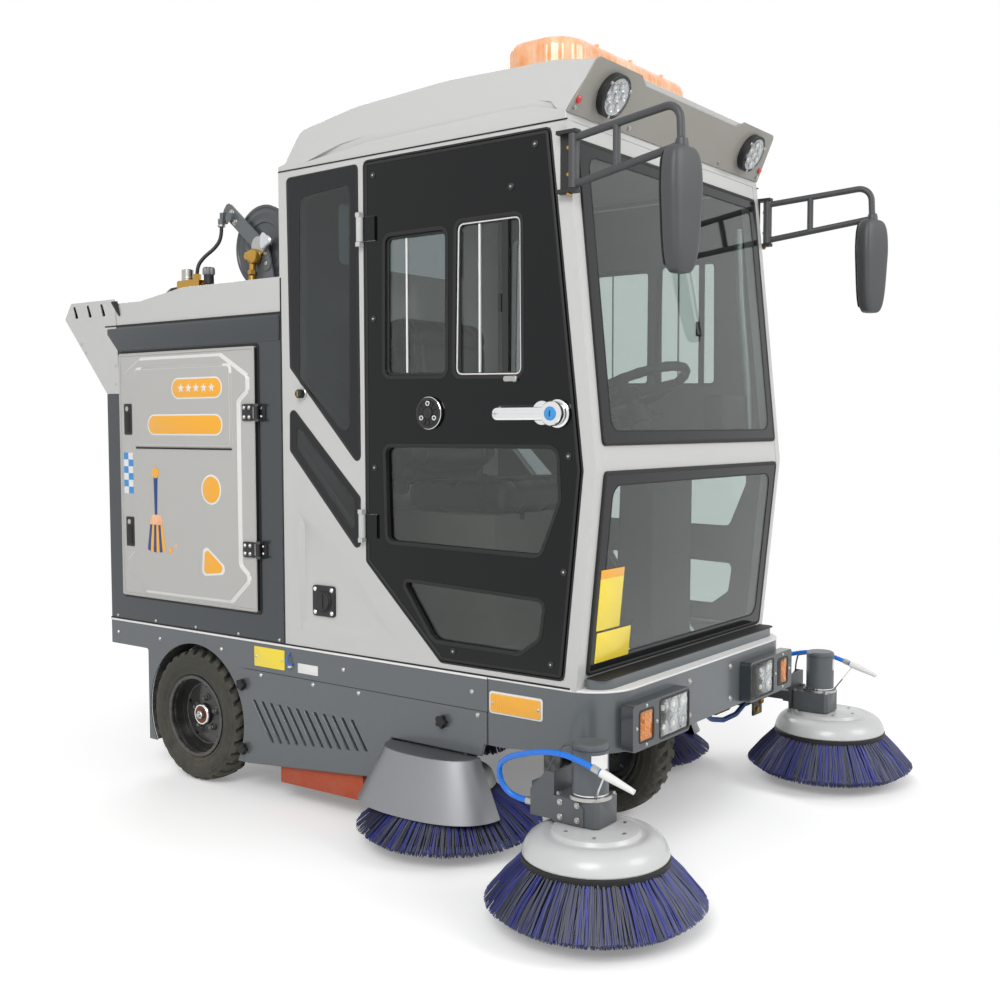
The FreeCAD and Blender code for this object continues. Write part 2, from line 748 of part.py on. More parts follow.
def brush_disc(label, disc_radius, top_z, shaft):
    """Stepped dome that carries the bristles, with a bore for the drive shaft."""
    body = tool_body(label)
    rim_z = S.brush_disc_z
    rise = top_z - rim_z
    bore = shaft + S.pin_clearance
    section = draw(body, "section", Plane.SIDE, [[
        (bore, rim_z + rise * 0.45), (bore, top_z), (disc_radius * 0.56, top_z),
        (disc_radius * 0.61, rim_z + rise * 0.82, 4), (disc_radius * 0.68, rim_z + rise * 0.78, 4),
        (disc_radius * 0.74, rim_z + rise * 0.86, 6), (disc_radius * 0.9, rim_z + rise * 0.66, 16),
        (disc_radius, rim_z + rise * 0.16), (disc_radius, rim_z), (disc_radius - 12, rim_z),
        (disc_radius - 18, rim_z + rise * 0.3), (disc_radius * 0.6, rim_z + rise * 0.45)]])
    revolve(body, section)
    return body


def round_brush(label, x, y, disc_radius, top_z, shaft):
    """One round brush: disc and bristles."""
    parts = [brush_disc(label + "_disc", disc_radius, top_z, shaft),
             bristle_ring(label + "_bristles", disc_radius)]
    grouped(label, parts, S.rear_axle_x + x, y, 0)


for side, name in SIDES:
    round_brush("front_brush_" + name, S.front_brush_x, side * S.front_brush_y, S.brush_disc_radius,
                S.gearbox_bottom - S.disc_gap, S.output_shaft)
    round_brush("side_brush_" + name, S.side_brush_x, side * S.side_brush_y, S.side_disc_radius,
                S.side_motor_bottom - S.disc_gap, S.spindle_radius)

# Arms of the front brushes
driving(gearbox_x0=1480.0, gearbox_x1=1598.0, gearbox_in=69.0, gearbox_out=22.0, gearbox_chamfer=9.0,
        motor_back=26.0, motor_in=17.0, motor_radius=42.0, motor_top=404.0, motor_lid=12.0, motor_base=7.0,
        motor_flange=50.0, gusset=5.0, bracket_x=1416.0, bracket_low=221.0, bracket_high=330.0,
        bracket_clip_x=44.0, bracket_clip_z=48.0, doubler=3.0, doubler_x=1563.0, doubler_clip=20.0,
        arm_bar=15.0, arm_bar_inset=58.0, neck_half=16.0, cable_radius=2.5,
        hose_diameter=14.0, nozzle_x=1626.0, nozzle_z=361.0, nozzle_out=51.0, nozzle_length=88.0,
        nozzle_tilt=18.435, collar_radius=10.0, collar_length=18.0, nozzle_tip=6.0, barb_radius=9.0,
        hose_tail_x=1394.0, hose_tail_out=4.0, hose_tail_z=245.0, wire_radius=2.0)


def gear_motor(side, label, centre_y):
    """Gearbox block with chamfered corners, and the motor can with its flange and lid."""
    block = tool_body(label + "_gearbox")
    y0, y1 = sided(side, S.front_brush_y - S.gearbox_in, S.front_brush_y + S.gearbox_out)
    c = S.gearbox_chamfer
    plan = draw(block, "plan", Plane.TOP, [[
        (S.gearbox_x0, y0 + c), (S.gearbox_x0 + c, y0), (S.gearbox_x1 - c, y0), (S.gearbox_x1, y0 + c),
        (S.gearbox_x1, y1 - c), (S.gearbox_x1 - c, y1), (S.gearbox_x0 + c, y1), (S.gearbox_x0, y1 - c)]],
        lift=S.gearbox_bottom)
    pad(block, plan, S.gearbox_top - S.gearbox_bottom)
    can = tool_body(label + "_motor")
    lid_z = S.motor_top - S.motor_lid
    foot_z = S.gearbox_top - 1
    base_z = S.gearbox_top + S.motor_base
    section = draw(can, "section", Plane.SIDE, [[
        (0, foot_z), (S.motor_flange, foot_z), (S.motor_flange, base_z), (S.motor_radius, base_z),
        (S.motor_radius, lid_z - 3), (S.motor_radius - 2, lid_z - 3),
        (S.motor_radius - 2, lid_z), (S.motor_radius, lid_z), (S.motor_radius, S.motor_top - 4, 2),
        (S.motor_radius - 5, S.motor_top), (0, S.motor_top)]])
    revolve(can, section)
    place(can, S.front_brush_x - S.motor_back, centre_y, 0)
    return [block, can]


def arm_bracket(side, label):
    """Folded bracket: a side plate with a clipped corner, a cross plate and a doubler on the gearbox."""
    outer = S.front_brush_y + S.gearbox_out
    inner = S.front_brush_y - S.gearbox_in - 6
    plate = tool_body(label + "_plate")
    lift = outer - S.gusset if side < 0 else -outer
    x1 = S.gearbox_x0 + 2
    pad(plate, draw(plate, "side", Plane.SIDE, [[
        (S.bracket_x, S.bracket_low), (x1, S.bracket_low), (x1, S.bracket_high),
        (S.bracket_x + S.bracket_clip_x, S.bracket_high),
        (S.bracket_x, S.bracket_high - S.bracket_clip_z)]], lift=lift), S.gusset)
    cross = box(label + "_cross_plate", (S.gearbox_x0 - S.gusset, S.gearbox_x0 + 2), sided(side, inner, outer),
                (S.bracket_low, S.bracket_high))
    cheek = tool_body(label + "_doubler")
    lift = outer - 1 if side < 0 else -(outer + S.doubler)
    low = S.gearbox_bottom
    pad(cheek, draw(cheek, "cheek", Plane.SIDE, [[
        (S.gearbox_x0, low), (S.doubler_x, low), (S.doubler_x, S.gearbox_top - S.doubler_clip),
        (S.doubler_x - S.doubler_clip, S.gearbox_top - 2), (S.gearbox_x0, S.gearbox_top - 2)]], lift=lift),
        S.doubler + 1)
    return [plate, cross, cheek]


def spray_nozzle(side, label):
    """Brass collar and tapered nozzle at the end of the water hose, on a wire bracket."""
    y = side * (S.front_brush_y + S.nozzle_out)
    tilt = math.radians(float(S.nozzle_tilt))
    collar = doc.addObject("Part::Cylinder", label + "_collar")
    bind(collar, "Radius", S.collar_radius)
    bind(collar, "Height", S.collar_length)
    tilt_place(collar, S.nozzle_x, y, S.nozzle_z, S.nozzle_tilt + 90)
    cone = doc.addObject("Part::Cone", label + "_nozzle")
    bind(cone, "Radius1", S.collar_radius)
    bind(cone, "Radius2", S.nozzle_tip)
    bind(cone, "Height", S.nozzle_length - S.collar_length)
    reach = S.collar_length - 1
    tilt_place(cone, S.nozzle_x + reach * math.cos(tilt), y, S.nozzle_z - reach * math.sin(tilt),
               S.nozzle_tilt + 90)
    foot = (S.gearbox_x1 - 12, side * (S.front_brush_y + S.gearbox_out - 12), S.gearbox_top - 2)
    bend = (S.gearbox_x1 + 10, side * (S.front_brush_y + S.nozzle_out - 18), S.gearbox_top + 34)
    head = (S.nozzle_x + 8, y, S.nozzle_z - 6)
    wire = tube_along(label + "_wire", [foot, bend, head], S.wire_radius, equal_bends(12))[0]
    return [collar, cone, wire]


def front_brush_arm(side, name):
    """Pivot tube, cranked arm, bracket, gear motor, nozzle and hose tail that carry a front brush."""
    label = "front_brush_arm_" + name
    y = side * S.arm_pivot_y
    low = S.arm_pivot_z - S.neck_half + 2
    high = S.arm_pivot_z + S.neck_half - 2
    x_cross = S.arm_pivot_x + 34
    arm_y = S.front_brush_y - S.arm_bar_inset
    bar = S.arm_bar
    pieces = [rod(label + "_tube", S.arm_tube_radius, S.arm_tube * 2, (S.arm_pivot_x, y - S.arm_tube,
                                                                      S.arm_pivot_z), "y"),
              box(label + "_neck", (S.arm_pivot_x + 5, x_cross + bar), (y - S.neck_half, y + S.neck_half),
                  (low, high)),
              box(label + "_cross", (x_cross, x_cross + bar * 2),
                  sided(side, S.arm_pivot_y - S.arm_tube, arm_y + bar), (low, high)),
              box(label + "_beam", (x_cross, S.gearbox_x0 + 2), sided(side, arm_y - bar, arm_y + bar),
                  (low, high))]
    motor_y = side * (S.front_brush_y - S.motor_in)
    pieces += gear_motor(side, label, motor_y)
    pieces += arm_bracket(side, label)
    pieces += spray_nozzle(side, label)
    pieces.append(rod(label + "_shaft", S.output_shaft, 38,
                      (S.front_brush_x, side * S.front_brush_y, S.gearbox_bottom - 36), "z"))
    tail_y = side * (S.front_brush_y + S.hose_tail_out)
    pieces.append(rod(label + "_barb", S.barb_radius, S.gearbox_x0 - S.hose_tail_x - 2,
                      (S.hose_tail_x, tail_y, S.hose_tail_z), "x"))
    lead_top = (S.front_brush_x - S.motor_back - S.motor_radius + 2, motor_y, S.motor_top - 12)
    clip_x = S.bracket_x + S.bracket_clip_x
    lead = [lead_top, (lead_top[0] - 34, motor_y, S.motor_top - 20),
            (clip_x + 6, side * (S.front_brush_y + 2), S.bracket_high + 22),
            (clip_x - 4, side * (S.front_brush_y + S.gearbox_out - 3), S.bracket_high - 12)]
    pieces.append(tube_along(label + "_lead", lead, S.cable_radius, equal_bends(12))[0])
    bore = rod(label + "_bore", S.arm_pin + S.pin_clearance, S.arm_tube * 2 + 2,
               (S.arm_pivot_x, y - S.arm_tube - 1, S.arm_pivot_z), "y")
    arm = cut(label, fused(label + "_solid", pieces), bore)
    place(arm, S.rear_axle_x)
    subparts.append(arm)


def water_hose(side, name):
    """Water hose from the bracket's fitting in a loop to the nozzle; Y is measured from the brush's axis."""
    route = [(1394, 4, 245), (1354, 4, 245), (1325, 13, 274), (1325, 23, 316), (1354, 33, 345),
             (1420, 44, 369), (1490, 50, 386), (1560, 51, 383), (1626, 51, 361)]
    hose("water_hose_" + name, [(x, side * (S.front_brush_y + out), z) for x, out, z in route], S.hose_diameter)


for side, name in SIDES:
    front_brush_arm(side, name)
    water_hose(side, name)

# Skirts and bumper
driving(skirt_rear_x=-437.0, skirt_low_rear=391.0, arch_front_post=-243.0, arch_x=-8.0, arch_gap=20.0,
        panel_low_rear=95.0, panel_low_front=142.0, panel_x0=237.0, shroud_x0=736.0, shroud_x1=1208.0,
        shroud_top=266.0, shroud_x2=823.0, shroud_x3=1133.0, front_skirt_low=299.0, panel_top=383.0,
        panel_back=200.0, panel_edge=2.0, panel_proud=2.0, louvre_top=293.0, louvre_x=263.0,
        louvre_pitch=36.7, louvre_low=174.0, louvre_rise=3.45, louvre_lean=0.69, louvre_width=11.0,
        bumper_x0=1152.0, bumper_front=1512.0, bumper_low=322.0, bumper_round=120.0, bumper_sheet=4.0,
        bumper_lift_front=50.0, bumper_lift_rear=40.0, step_inset=32.0, step_rise=27.0, step_round=46.0,
        step_back=8.0)
follow(step_top=S.deck_z + S.step_rise, arch_radius=S.tyre_radius + S.arch_gap)
LOUVRES = 12


def access_panel(body, side):
    """Panel that stands proud of the skirt, with the skirt's own lower edges drawn in by its margin."""
    edge = S.panel_edge
    front = S.bumper_x0 - 1 - edge
    raised(body, "access", side, S.panel_proud + 1, [
        (S.panel_back, S.panel_top), (S.panel_x0, S.panel_low_rear + edge),
        (S.shroud_x0 - edge, S.panel_low_front + edge), (S.shroud_x2 - edge, S.shroud_top + edge),
        (S.shroud_x3 - edge, S.shroud_top + edge), (S.shroud_x3 + 10 - edge, S.front_skirt_low + edge),
        (front, S.front_skirt_low + edge), (front, S.panel_top)], -1)


def louvre(index):
    """Outline of one slanted slot of the access panel."""
    x = S.louvre_x + S.louvre_pitch * index
    low = S.louvre_low + S.louvre_rise * index
    foot = x + (S.louvre_top - low) * S.louvre_lean
    return [(x, S.louvre_top), (x + S.louvre_width, S.louvre_top), (foot + S.louvre_width, low), (foot, low)]


def skirt(side, name):
    """Side skirt with the wheel arch cut out, the brush bay left open and a louvred access panel."""
    body = tool_body("skirt_" + name)
    low = S.panel_low_rear
    front = S.bumper_x0 - 1
    lift = side_lift(S.skirt_sheet, side=side)
    outer = draw(body, "outer", Plane.SIDE, [[
        (S.skirt_rear_x, S.deck_z), (S.skirt_rear_x, S.skirt_low_rear),
        (S.arch_front_post, S.skirt_low_rear, 8), (S.arch_front_post, low), (S.panel_x0, low),
        (S.shroud_x0, S.panel_low_front), (S.shroud_x2, S.shroud_top), (S.shroud_x3, S.shroud_top),
        (S.shroud_x3 + 10, S.front_skirt_low), (front, S.front_skirt_low), (front, S.deck_z)]], lift=lift)
    pad(body, outer, S.skirt_sheet)
    access_panel(body, side)
    arch = draw(body, "arch", Plane.SIDE, circles=[((S.arch_x, S.tyre_radius), S.arch_radius)])
    pocket(body, arch, symmetric=True)
    slots = draw(body, "louvres", Plane.SIDE, [louvre(index) for index in range(LOUVRES)])
    pocket(body, slots, symmetric=True)
    return body


grouped("side_skirts", [skirt(side, name) for side, name in SIDES])

# Cab outline
driving(side_frame=30.0, knee_x=1474.0, knee_round=30.0, foot_x=1420.0, head_x=1391.0, head_drop=36.0,
        floor_thickness=12.0, pane=5.0)
follow(head_z=S.roof_base_z - S.head_drop)


def front_x(z):
    """X of the cab's front face at a height above the knee."""
    return S.knee_x - (as_size(z) - S.knee_z) * ((S.knee_x - S.head_x) / (S.head_z - S.knee_z))


def low_front_x(z):
    """X of the cab's front face at a height below the knee."""
    return S.knee_x - (S.knee_z - z) * ((S.knee_x - S.foot_x) / (S.knee_z - S.deck_z))


def wrapped(back, front, edge, corner):
    """Plan of the bumper: square at the back, rounded at the front corners."""
    return [(back, -edge), (front, -edge, corner), (front, edge, corner), (back, edge)]


def front_bumper():
    """Folded bumper that wraps round the front corners, with a narrower step under the cab."""
    body = new_body("front_bumper")
    edge = S.half_width
    front = S.bumper_front
    sheet = S.bumper_sheet
    back = S.bumper_x0 - 1
    plan = draw(body, "plan", Plane.TOP, [wrapped(S.bumper_x0, front, edge, S.bumper_round)],
                lift=S.front_skirt_low)
    pad(body, plan, S.deck_z - S.front_skirt_low)
    sweep_up = draw(body, "sweep_up", Plane.SIDE, [[
        (S.bumper_x0 + S.bumper_lift_rear, S.front_skirt_low - 1), (front + 1, S.front_skirt_low - 1),
        (front + 1, S.bumper_low), (front - S.bumper_lift_front, S.bumper_low)]])
    pocket(body, sweep_up, symmetric=True)
    inner = wrapped(back, front - sheet, edge - sheet, S.bumper_round - sheet)
    hollow = draw(body, "hollow", Plane.TOP, [inner], lift=S.front_skirt_low)
    pocket(body, hollow, S.deck_z - S.front_skirt_low - sheet, backwards=True)
    opened = draw(body, "back", Plane.TOP, [[
        (back, sheet - edge), (S.frame_front_x + 4, sheet - edge), (S.frame_front_x + 4, edge - sheet),
        (back, edge - sheet)]])
    pocket(body, opened, symmetric=True)
    step = draw(body, "step", Plane.TOP, [wrapped(S.foot_x + S.step_back, front - S.step_inset,
                                                  edge - S.step_inset, S.step_round)], lift=S.deck_z)
    pad(body, step, S.step_top - S.deck_z)


front_bumper()

# Doors and side windows
driving(door_thickness=28.0, door_proud=2.0, door_rear_x=739.0, door_front_top_x=1338.0, door_knee_x=1432.0,
        door_front_low_x=1379.0, door_cut_x=999.0, door_cut_rise=272.0, door_slant=0.41, door_top_drop=19.0,
        door_low_rise=27.0, door_hinge_x=727.0, door_hinge_out=10.0, door_pin=6.0, knuckle=10.0,
        knuckle_gap=0.5, hinge_lug=12.0, hinge_high_drop=240.0, hinge_low_rise=322.0, hinge_length=90.0,
        hinge_leaf=40.0, leaf_sheet=6.0, window_gap=0.3, window_pane=4.0, door_pane_depth=10.0,
        window_round=22.0, quarter_round=12.0, port_x=558.0, port_rise=143.0, port_pitch=66.0,
        port_screw=3.3, port_bore=27.0, pressing_depth=12.0)
follow(door_top_z=S.roof_base_z - S.door_top_drop, door_knee_z=S.knee_z - 2,
       door_low_z=S.deck_z + S.door_low_rise, door_cut_z=S.deck_z + S.door_cut_rise,
       hinge_high_z=S.roof_base_z - S.hinge_high_drop, hinge_low_z=S.deck_z + S.hinge_low_rise,
       port_z=S.deck_z + S.port_rise)


def door_outline(grow=0):
    """The cab door's outline, grown by a gap for its opening."""
    g = as_size(grow)
    slant = S.door_slant * g
    return [(S.door_rear_x - g, S.door_top_z + g), (S.door_rear_x - g, S.door_cut_z - slant),
            (S.door_cut_x - slant, S.door_low_z - g), (S.door_front_low_x + g, S.door_low_z - g),
            (S.door_knee_x + g, S.door_knee_z), (S.door_front_top_x + g, S.door_top_z + g)]


def door_windows(shrink=0):
    """The four windows of a cab door, shrunk by a gap for their panes."""
    g = as_size(shrink)
    r = S.window_round
    top = S.door_top_z - g
    mid = S.knee_z
    low = S.door_low_z
    return [[(808 + g, top - 199, r), (804 + g, mid + 236 + g, r), (1021 - g, mid + 231 + g, r),
             (1023 - g, top - 199, r)],
            [(1053 + g, top - 187, r), (1045 + g, mid + 230 + g, r), (1262 - g, mid + 226 + g, r),
             (1259 - g, top - 187, r)],
            [(804 + g, mid + 51 - g, r), (811 + g, mid - 207 + g, r), (1314 - g, mid - 214 + g, r + 8),
             (1372 - g, mid - 76 - g, r + 8), (1366 - g, mid + 53 - g, r + 8)],
            [(862 + g, low + 201 - g, r - 10), (973 + g, low + 48 + g, r + 18), (1253 - g, low + 46 + g, r + 8),
             (1314 - g, low + 90 - g, r + 8), (1328 - g, low + 184 - g, r - 2)]]


def quarter_frames(shrink=0):
    """The panes of the quarter window and of the small slanted window behind the door."""
    g = as_size(shrink)
    r = S.quarter_round
    top = S.roof_base_z - g
    mid = S.knee_z
    return [[(436 + g, top - 23, r), (442 + g, mid + 272 + g, r), (712 - g, mid - 6 + g, r),
             (710 - g, top - 19, r)],
            [(440 + g, mid + 163 - g, r), (438 + g, mid + 35 + g, r), (709 - g, mid - 245 + g, r),
             (710 - g, mid - 92 - g, r)]]


def quarter_holes():
    """The clear openings behind those two panes."""
    r = S.quarter_round
    top = S.roof_base_z
    mid = S.knee_z
    return [[(484, top - 79, r * 2), (475, mid + 234, r * 2), (674, mid + 64, r * 2), (683, top - 64, r * 2)],
            [(460, mid + 117, r), (460, mid + 41, r), (690, mid - 197, r), (690, mid - 101, r)]]


def hinge_levels():
    """The two levels of a cab door's hinges."""
    return (("high", S.hinge_high_z), ("low", S.hinge_low_z))


def side_pressing(body, side):
    """Kite-shaped pressing in the panel under the quarter window, with sloping walls."""
    flank = side * S.half_width
    floor = side * (S.half_width - S.pressing_depth)
    lofted(body, "Subtractive", [
        ("pressing_edge", Plane.SIDE, [(468, S.deck_z + 397), (651, S.deck_z + 281), (853, S.deck_z + 55),
                                       (468, S.deck_z + 47)], -flank),
        ("pressing_floor", Plane.SIDE, [(480, S.deck_z + 357), (620, S.deck_z + 242), (771, S.deck_z + 85),
                                        (480, S.deck_z + 81)], -floor)])


def door_hinge(side, name):
    """Pins and lugs of a cab door's hinges."""
    y = side * (S.half_width + S.door_hinge_out)
    lug_x = (S.door_hinge_x - 9, S.door_hinge_x + 6)
    lug_y = sided(side, S.half_width - 2, S.half_width + S.door_hinge_out + 8)
    pieces = []
    for level, z in hinge_levels():
        pin = "door_pin_%s_%s" % (level, name)
        pieces.append(rod(pin, S.door_pin, S.hinge_length, (S.door_hinge_x, y, z), "z"))
        for end, start in (("top", z + S.hinge_length - S.hinge_lug), ("foot", z)):
            lug = "door_lug_%s_%s_%s" % (level, end, name)
            pieces.append(box(lug, lug_x, lug_y, (start, start + S.hinge_lug)))
    return pieces


def side_panel(side, name):
    """Cab side: outer frame, door opening, window recesses, the pressing and the hinges."""
    body = tool_body("side_panel_" + name)
    top = S.roof_base_z
    outer = draw(body, "outer", Plane.SIDE, [[
        (S.cab_rear_x, S.deck_z), (S.foot_x, S.deck_z), (S.knee_x, S.knee_z, S.knee_round),
        (front_x(top), top), (S.cab_rear_x, top)]], lift=side_lift(S.side_frame, side=side))
    pad(body, outer, S.side_frame)
    pocket(body, draw(body, "door", Plane.SIDE, [door_outline(S.door_gap)]), symmetric=True)
    pocket(body, draw(body, "quarter", Plane.SIDE, quarter_holes()), symmetric=True)
    recess(body, "rebate", side, S.window_pane + S.running_gap * 2, quarter_frames())
    side_pressing(body, side)
    if side < 0:
        half = S.port_pitch / 2
        holes = [((S.port_x + u * half, S.port_z + v * half), S.port_screw) for u in (-1, 1) for v in (-1, 1)]
        holes.append(((S.port_x, S.port_z), S.port_bore))
        pocket(body, draw(body, "port", Plane.SIDE, circles=holes), symmetric=True)
    return fused("side_frame_" + name, [body] + door_hinge(side, name))


grouped("cab_side_frames", [side_panel(side, name) for side, name in SIDES])


def cab_door(side, name):
    """Cab door: a flat panel with four window openings and two hinge knuckles at its rear edge."""
    label = "cab_door_" + name
    body = tool_body(label + "_panel")
    lift = side_lift(S.door_thickness, S.door_proud, side)
    pad(body, draw(body, "outer", Plane.SIDE, [door_outline()], lift=lift), S.door_thickness)
    pocket(body, draw(body, "windows", Plane.SIDE, door_windows()), symmetric=True)
    pieces = [body]
    drills = []
    y = side * (S.half_width + S.door_hinge_out)
    skin = S.half_width + S.door_proud
    length = S.hinge_length - (S.hinge_lug + S.knuckle_gap) * 2
    for level, z in hinge_levels():
        base = z + S.hinge_lug + S.knuckle_gap
        pieces.append(rod("%s_knuckle_%s" % (label, level), S.knuckle, length, (S.door_hinge_x, y, base), "z"))
        pieces.append(box("%s_leaf_%s" % (label, level), (S.door_hinge_x, S.door_rear_x + S.hinge_leaf),
                          sided(side, skin - 1, skin + S.leaf_sheet), (base, base + length)))
        drills.append(rod("%s_bore_%s" % (label, level), S.door_pin + S.pin_clearance, S.hinge_length,
                          (S.door_hinge_x, y, z), "z"))
    door = cut(label, fused(label + "_solid", pieces), fused(label + "_drills", drills))
    place(door, S.rear_axle_x)
    subparts.append(door)


def panes(label, outlines, thickness, depth, side):
    """Flat panes, one for each outline, set back from the flank by a depth."""
    body = tool_body(label)
    body.AllowCompound = True
    lift = side_lift(thickness, -depth, side)
    pad(body, draw(body, "panes", Plane.SIDE, outlines, lift=lift), thickness)
    return body


driving(plate_x0=1186.0, plate_x1=1390.0, handle_rise=134.0, plate_half=20.0, plate_sheet=6.0, grip_x0=1204.0,
        grip_x1=1372.0, grip_radius=8.0, grip_out=28.0, lock_x=1331.0, lock_radius=29.0, lock_depth=16.0,
        vent_x=967.0, vent_radius=42.0, vent_depth=9.0)


def door_fittings(side, name):
    """Handle plate with its grip and lock, and the round vent, all seated on the door's skin."""
    label = "door_fittings_" + name
    skin = S.half_width + S.door_proud + S.running_gap
    z = S.knee_z + S.handle_rise
    plate = tool_body(label + "_plate")
    half = S.plate_half
    raised(plate, "plate", side, S.plate_sheet, [
        (S.plate_x0, z - half, 12), (S.plate_x1, z - half, 12), (S.plate_x1, z + half, 12),
        (S.plate_x0, z + half, 12)], S.door_proud + S.running_gap)
    pieces = [plate]
    y = side * (skin + S.grip_out)
    pieces.append(rod(label + "_grip", S.grip_radius, S.grip_x1 - S.grip_x0, (S.grip_x0, y, z), "x"))
    for end, x in (("rear", S.grip_x0 + 12), ("front", S.grip_x1 - 12)):
        start = skin + 1 if side > 0 else -(skin + S.grip_out)
        pieces.append(rod("%s_post_%s" % (label, end), S.grip_radius - 1, S.grip_out - 1, (x, start, z), "y"))
    start = skin if side > 0 else -(skin + S.lock_depth)
    pieces.append(rod(label + "_lock", S.lock_radius, S.lock_depth, (S.lock_x, start, z), "y"))
    handle = fused(label + "_handle", pieces)
    start = skin if side > 0 else -(skin + S.vent_depth)
    vent = rod(label + "_vent", S.vent_radius, S.vent_depth, (S.vent_x, start, z + 2), "y")
    grouped(label, [handle, vent])


for side, name in SIDES:
    cab_door(side, name)
    grouped("door_glass_" + name,
            [panes("door_panes_" + name, door_windows(S.window_gap), S.window_pane, S.door_pane_depth, side)])
    door_fittings(side, name)

# Service body sizes that the cab's rear window depends on
driving(cover_front_rise=102.0, cover_rear_rise=73.0)
follow(cover_front_z=S.frame_top + S.cover_front_rise, cover_rear_z=S.frame_top + S.cover_rear_rise)

# Cab front, rear wall and floor
driving(front_window_inset=68.0, glass_lap=28.0, window_corner=20.0, rear_wall=20.0, rear_window_y=300.0,
        rear_pane_depth=8.0, seat_box_x0=570.0, seat_box_x1=960.0, seat_box_y=235.0, seat_box_rise=387.0,
        seat_box_sheet=3.0, battery_inset=20.0, battery_height=240.0)
follow(front_window_y=S.half_width - S.front_window_inset, high_window_z0=S.knee_z + 75,
       high_window_z1=S.roof_base_z - 63, low_window_z0=S.deck_z + 57, low_window_z1=S.knee_z - 22,
       rear_window_z0=S.cover_front_z + 59, rear_window_z1=S.roof_base_z - 55,
       seat_box_z=S.deck_z + S.seat_box_rise)


def rounded_box(half, z0, z1, corner):
    """Outline of an opening on the front plane, even about the middle."""
    return [(-half, z0, corner), (half, z0, corner), (half, z1, corner), (-half, z1, corner)]


def cab_front_frame():
    """Bent front frame with the openings of the windshield and of the lower window."""
    body = new_body("cab_front_frame")
    wall = S.side_frame
    inner = S.half_width - S.side_frame
    high = S.roof_base_z
    profile = draw(body, "profile", Plane.SIDE, [[
        (S.foot_x - wall, S.deck_z), (S.foot_x, S.deck_z), (S.knee_x, S.knee_z), (front_x(high), high),
        (front_x(high) - wall, high), (S.knee_x - wall, S.knee_z)]])
    pad(body, profile, inner * 2, symmetric=True)
    half = S.front_window_y
    windows = draw(body, "windows", Plane.FRONT, [
        rounded_box(half, S.high_window_z0, S.high_window_z1, S.window_corner),
        rounded_box(half, S.low_window_z0, S.low_window_z1, S.window_corner)])
    pocket(body, windows, symmetric=True)


def front_pane(label, z0, z1, at):
    """One pane bonded on the outside of the front frame."""
    body = tool_body(label)
    gap = S.running_gap
    section = draw(body, "section", Plane.SIDE, [[
        (at(z0) + gap, z0), (at(z0) + gap + S.pane, z0), (at(z1) + gap + S.pane, z1), (at(z1) + gap, z1)]])
    pad(body, section, (S.front_window_y + S.glass_lap) * 2, symmetric=True)
    return body


cab_front_frame()
grouped("front_glass", [
    front_pane("windshield", S.high_window_z0 - 14, S.high_window_z1 + 18, front_x),
    front_pane("low_window", S.low_window_z0 - 20, S.low_window_z1 + 14, low_front_x)])


def cab_rear_wall():
    """Bulkhead behind the seat with the rear window above the service body."""
    body = new_body("cab_rear_wall")
    y = S.half_width - S.side_frame
    wall = draw(body, "wall", Plane.FRONT, [[
        (-y, S.deck_z), (y, S.deck_z), (y, S.roof_base_z), (-y, S.roof_base_z)]], lift=S.cab_rear_x)
    pad(body, wall, S.rear_wall)
    window = draw(body, "window", Plane.FRONT, [
        rounded_box(S.rear_window_y, S.rear_window_z0, S.rear_window_z1, S.window_corner)])
    pocket(body, window, symmetric=True)


def rear_pane():
    """The rear window's pane."""
    body = tool_body("rear_pane")
    gap = S.window_gap
    edge = rounded_box(S.rear_window_y - gap, S.rear_window_z0 + gap, S.rear_window_z1 - gap,
                       S.window_corner - gap)
    lift = S.cab_rear_x + S.rear_pane_depth
    pad(body, draw(body, "outline", Plane.FRONT, [edge], lift=lift), S.window_pane)
    return body


cab_rear_wall()
side_panes = quarter_frames(S.window_gap)
grouped("side_glass", [panes("quarter_panes_" + name, side_panes, S.window_pane, S.running_gap, side)
                       for side, name in SIDES] + [rear_pane()])


def cab_floor():
    """Floor plate with the seat box on it."""
    inner = S.half_width - S.side_frame
    plate = box("floor_plate", (S.cab_rear_x + S.rear_wall, S.foot_x - S.side_frame), (-inner, inner),
                (S.deck_z, S.deck_z + S.floor_thickness))
    low = S.deck_z + S.floor_thickness - 1
    outer = box("seat_box_outer", (S.seat_box_x0, S.seat_box_x1), (-S.seat_box_y, S.seat_box_y),
                (low, S.seat_box_z))
    sheet = S.seat_box_sheet
    hollow = box("seat_box_inner", (S.seat_box_x0 + sheet, S.seat_box_x1 - sheet),
                 (sheet - S.seat_box_y, S.seat_box_y - sheet), (low + 1, S.seat_box_z - sheet))
    joined("cab_floor", [plate, cut("seat_box", outer, hollow)])


cab_floor()


def battery():
    """Plain block in the place of the batteries under the seat."""
    half = S.seat_box_y - S.battery_inset
    base = S.deck_z + S.floor_thickness
    along = (S.seat_box_x0 + S.battery_inset, S.seat_box_x1 - S.battery_inset)
    grouped("battery_pack", [box("battery_block", along, (-half, half), (base, base + S.battery_height))])


battery()

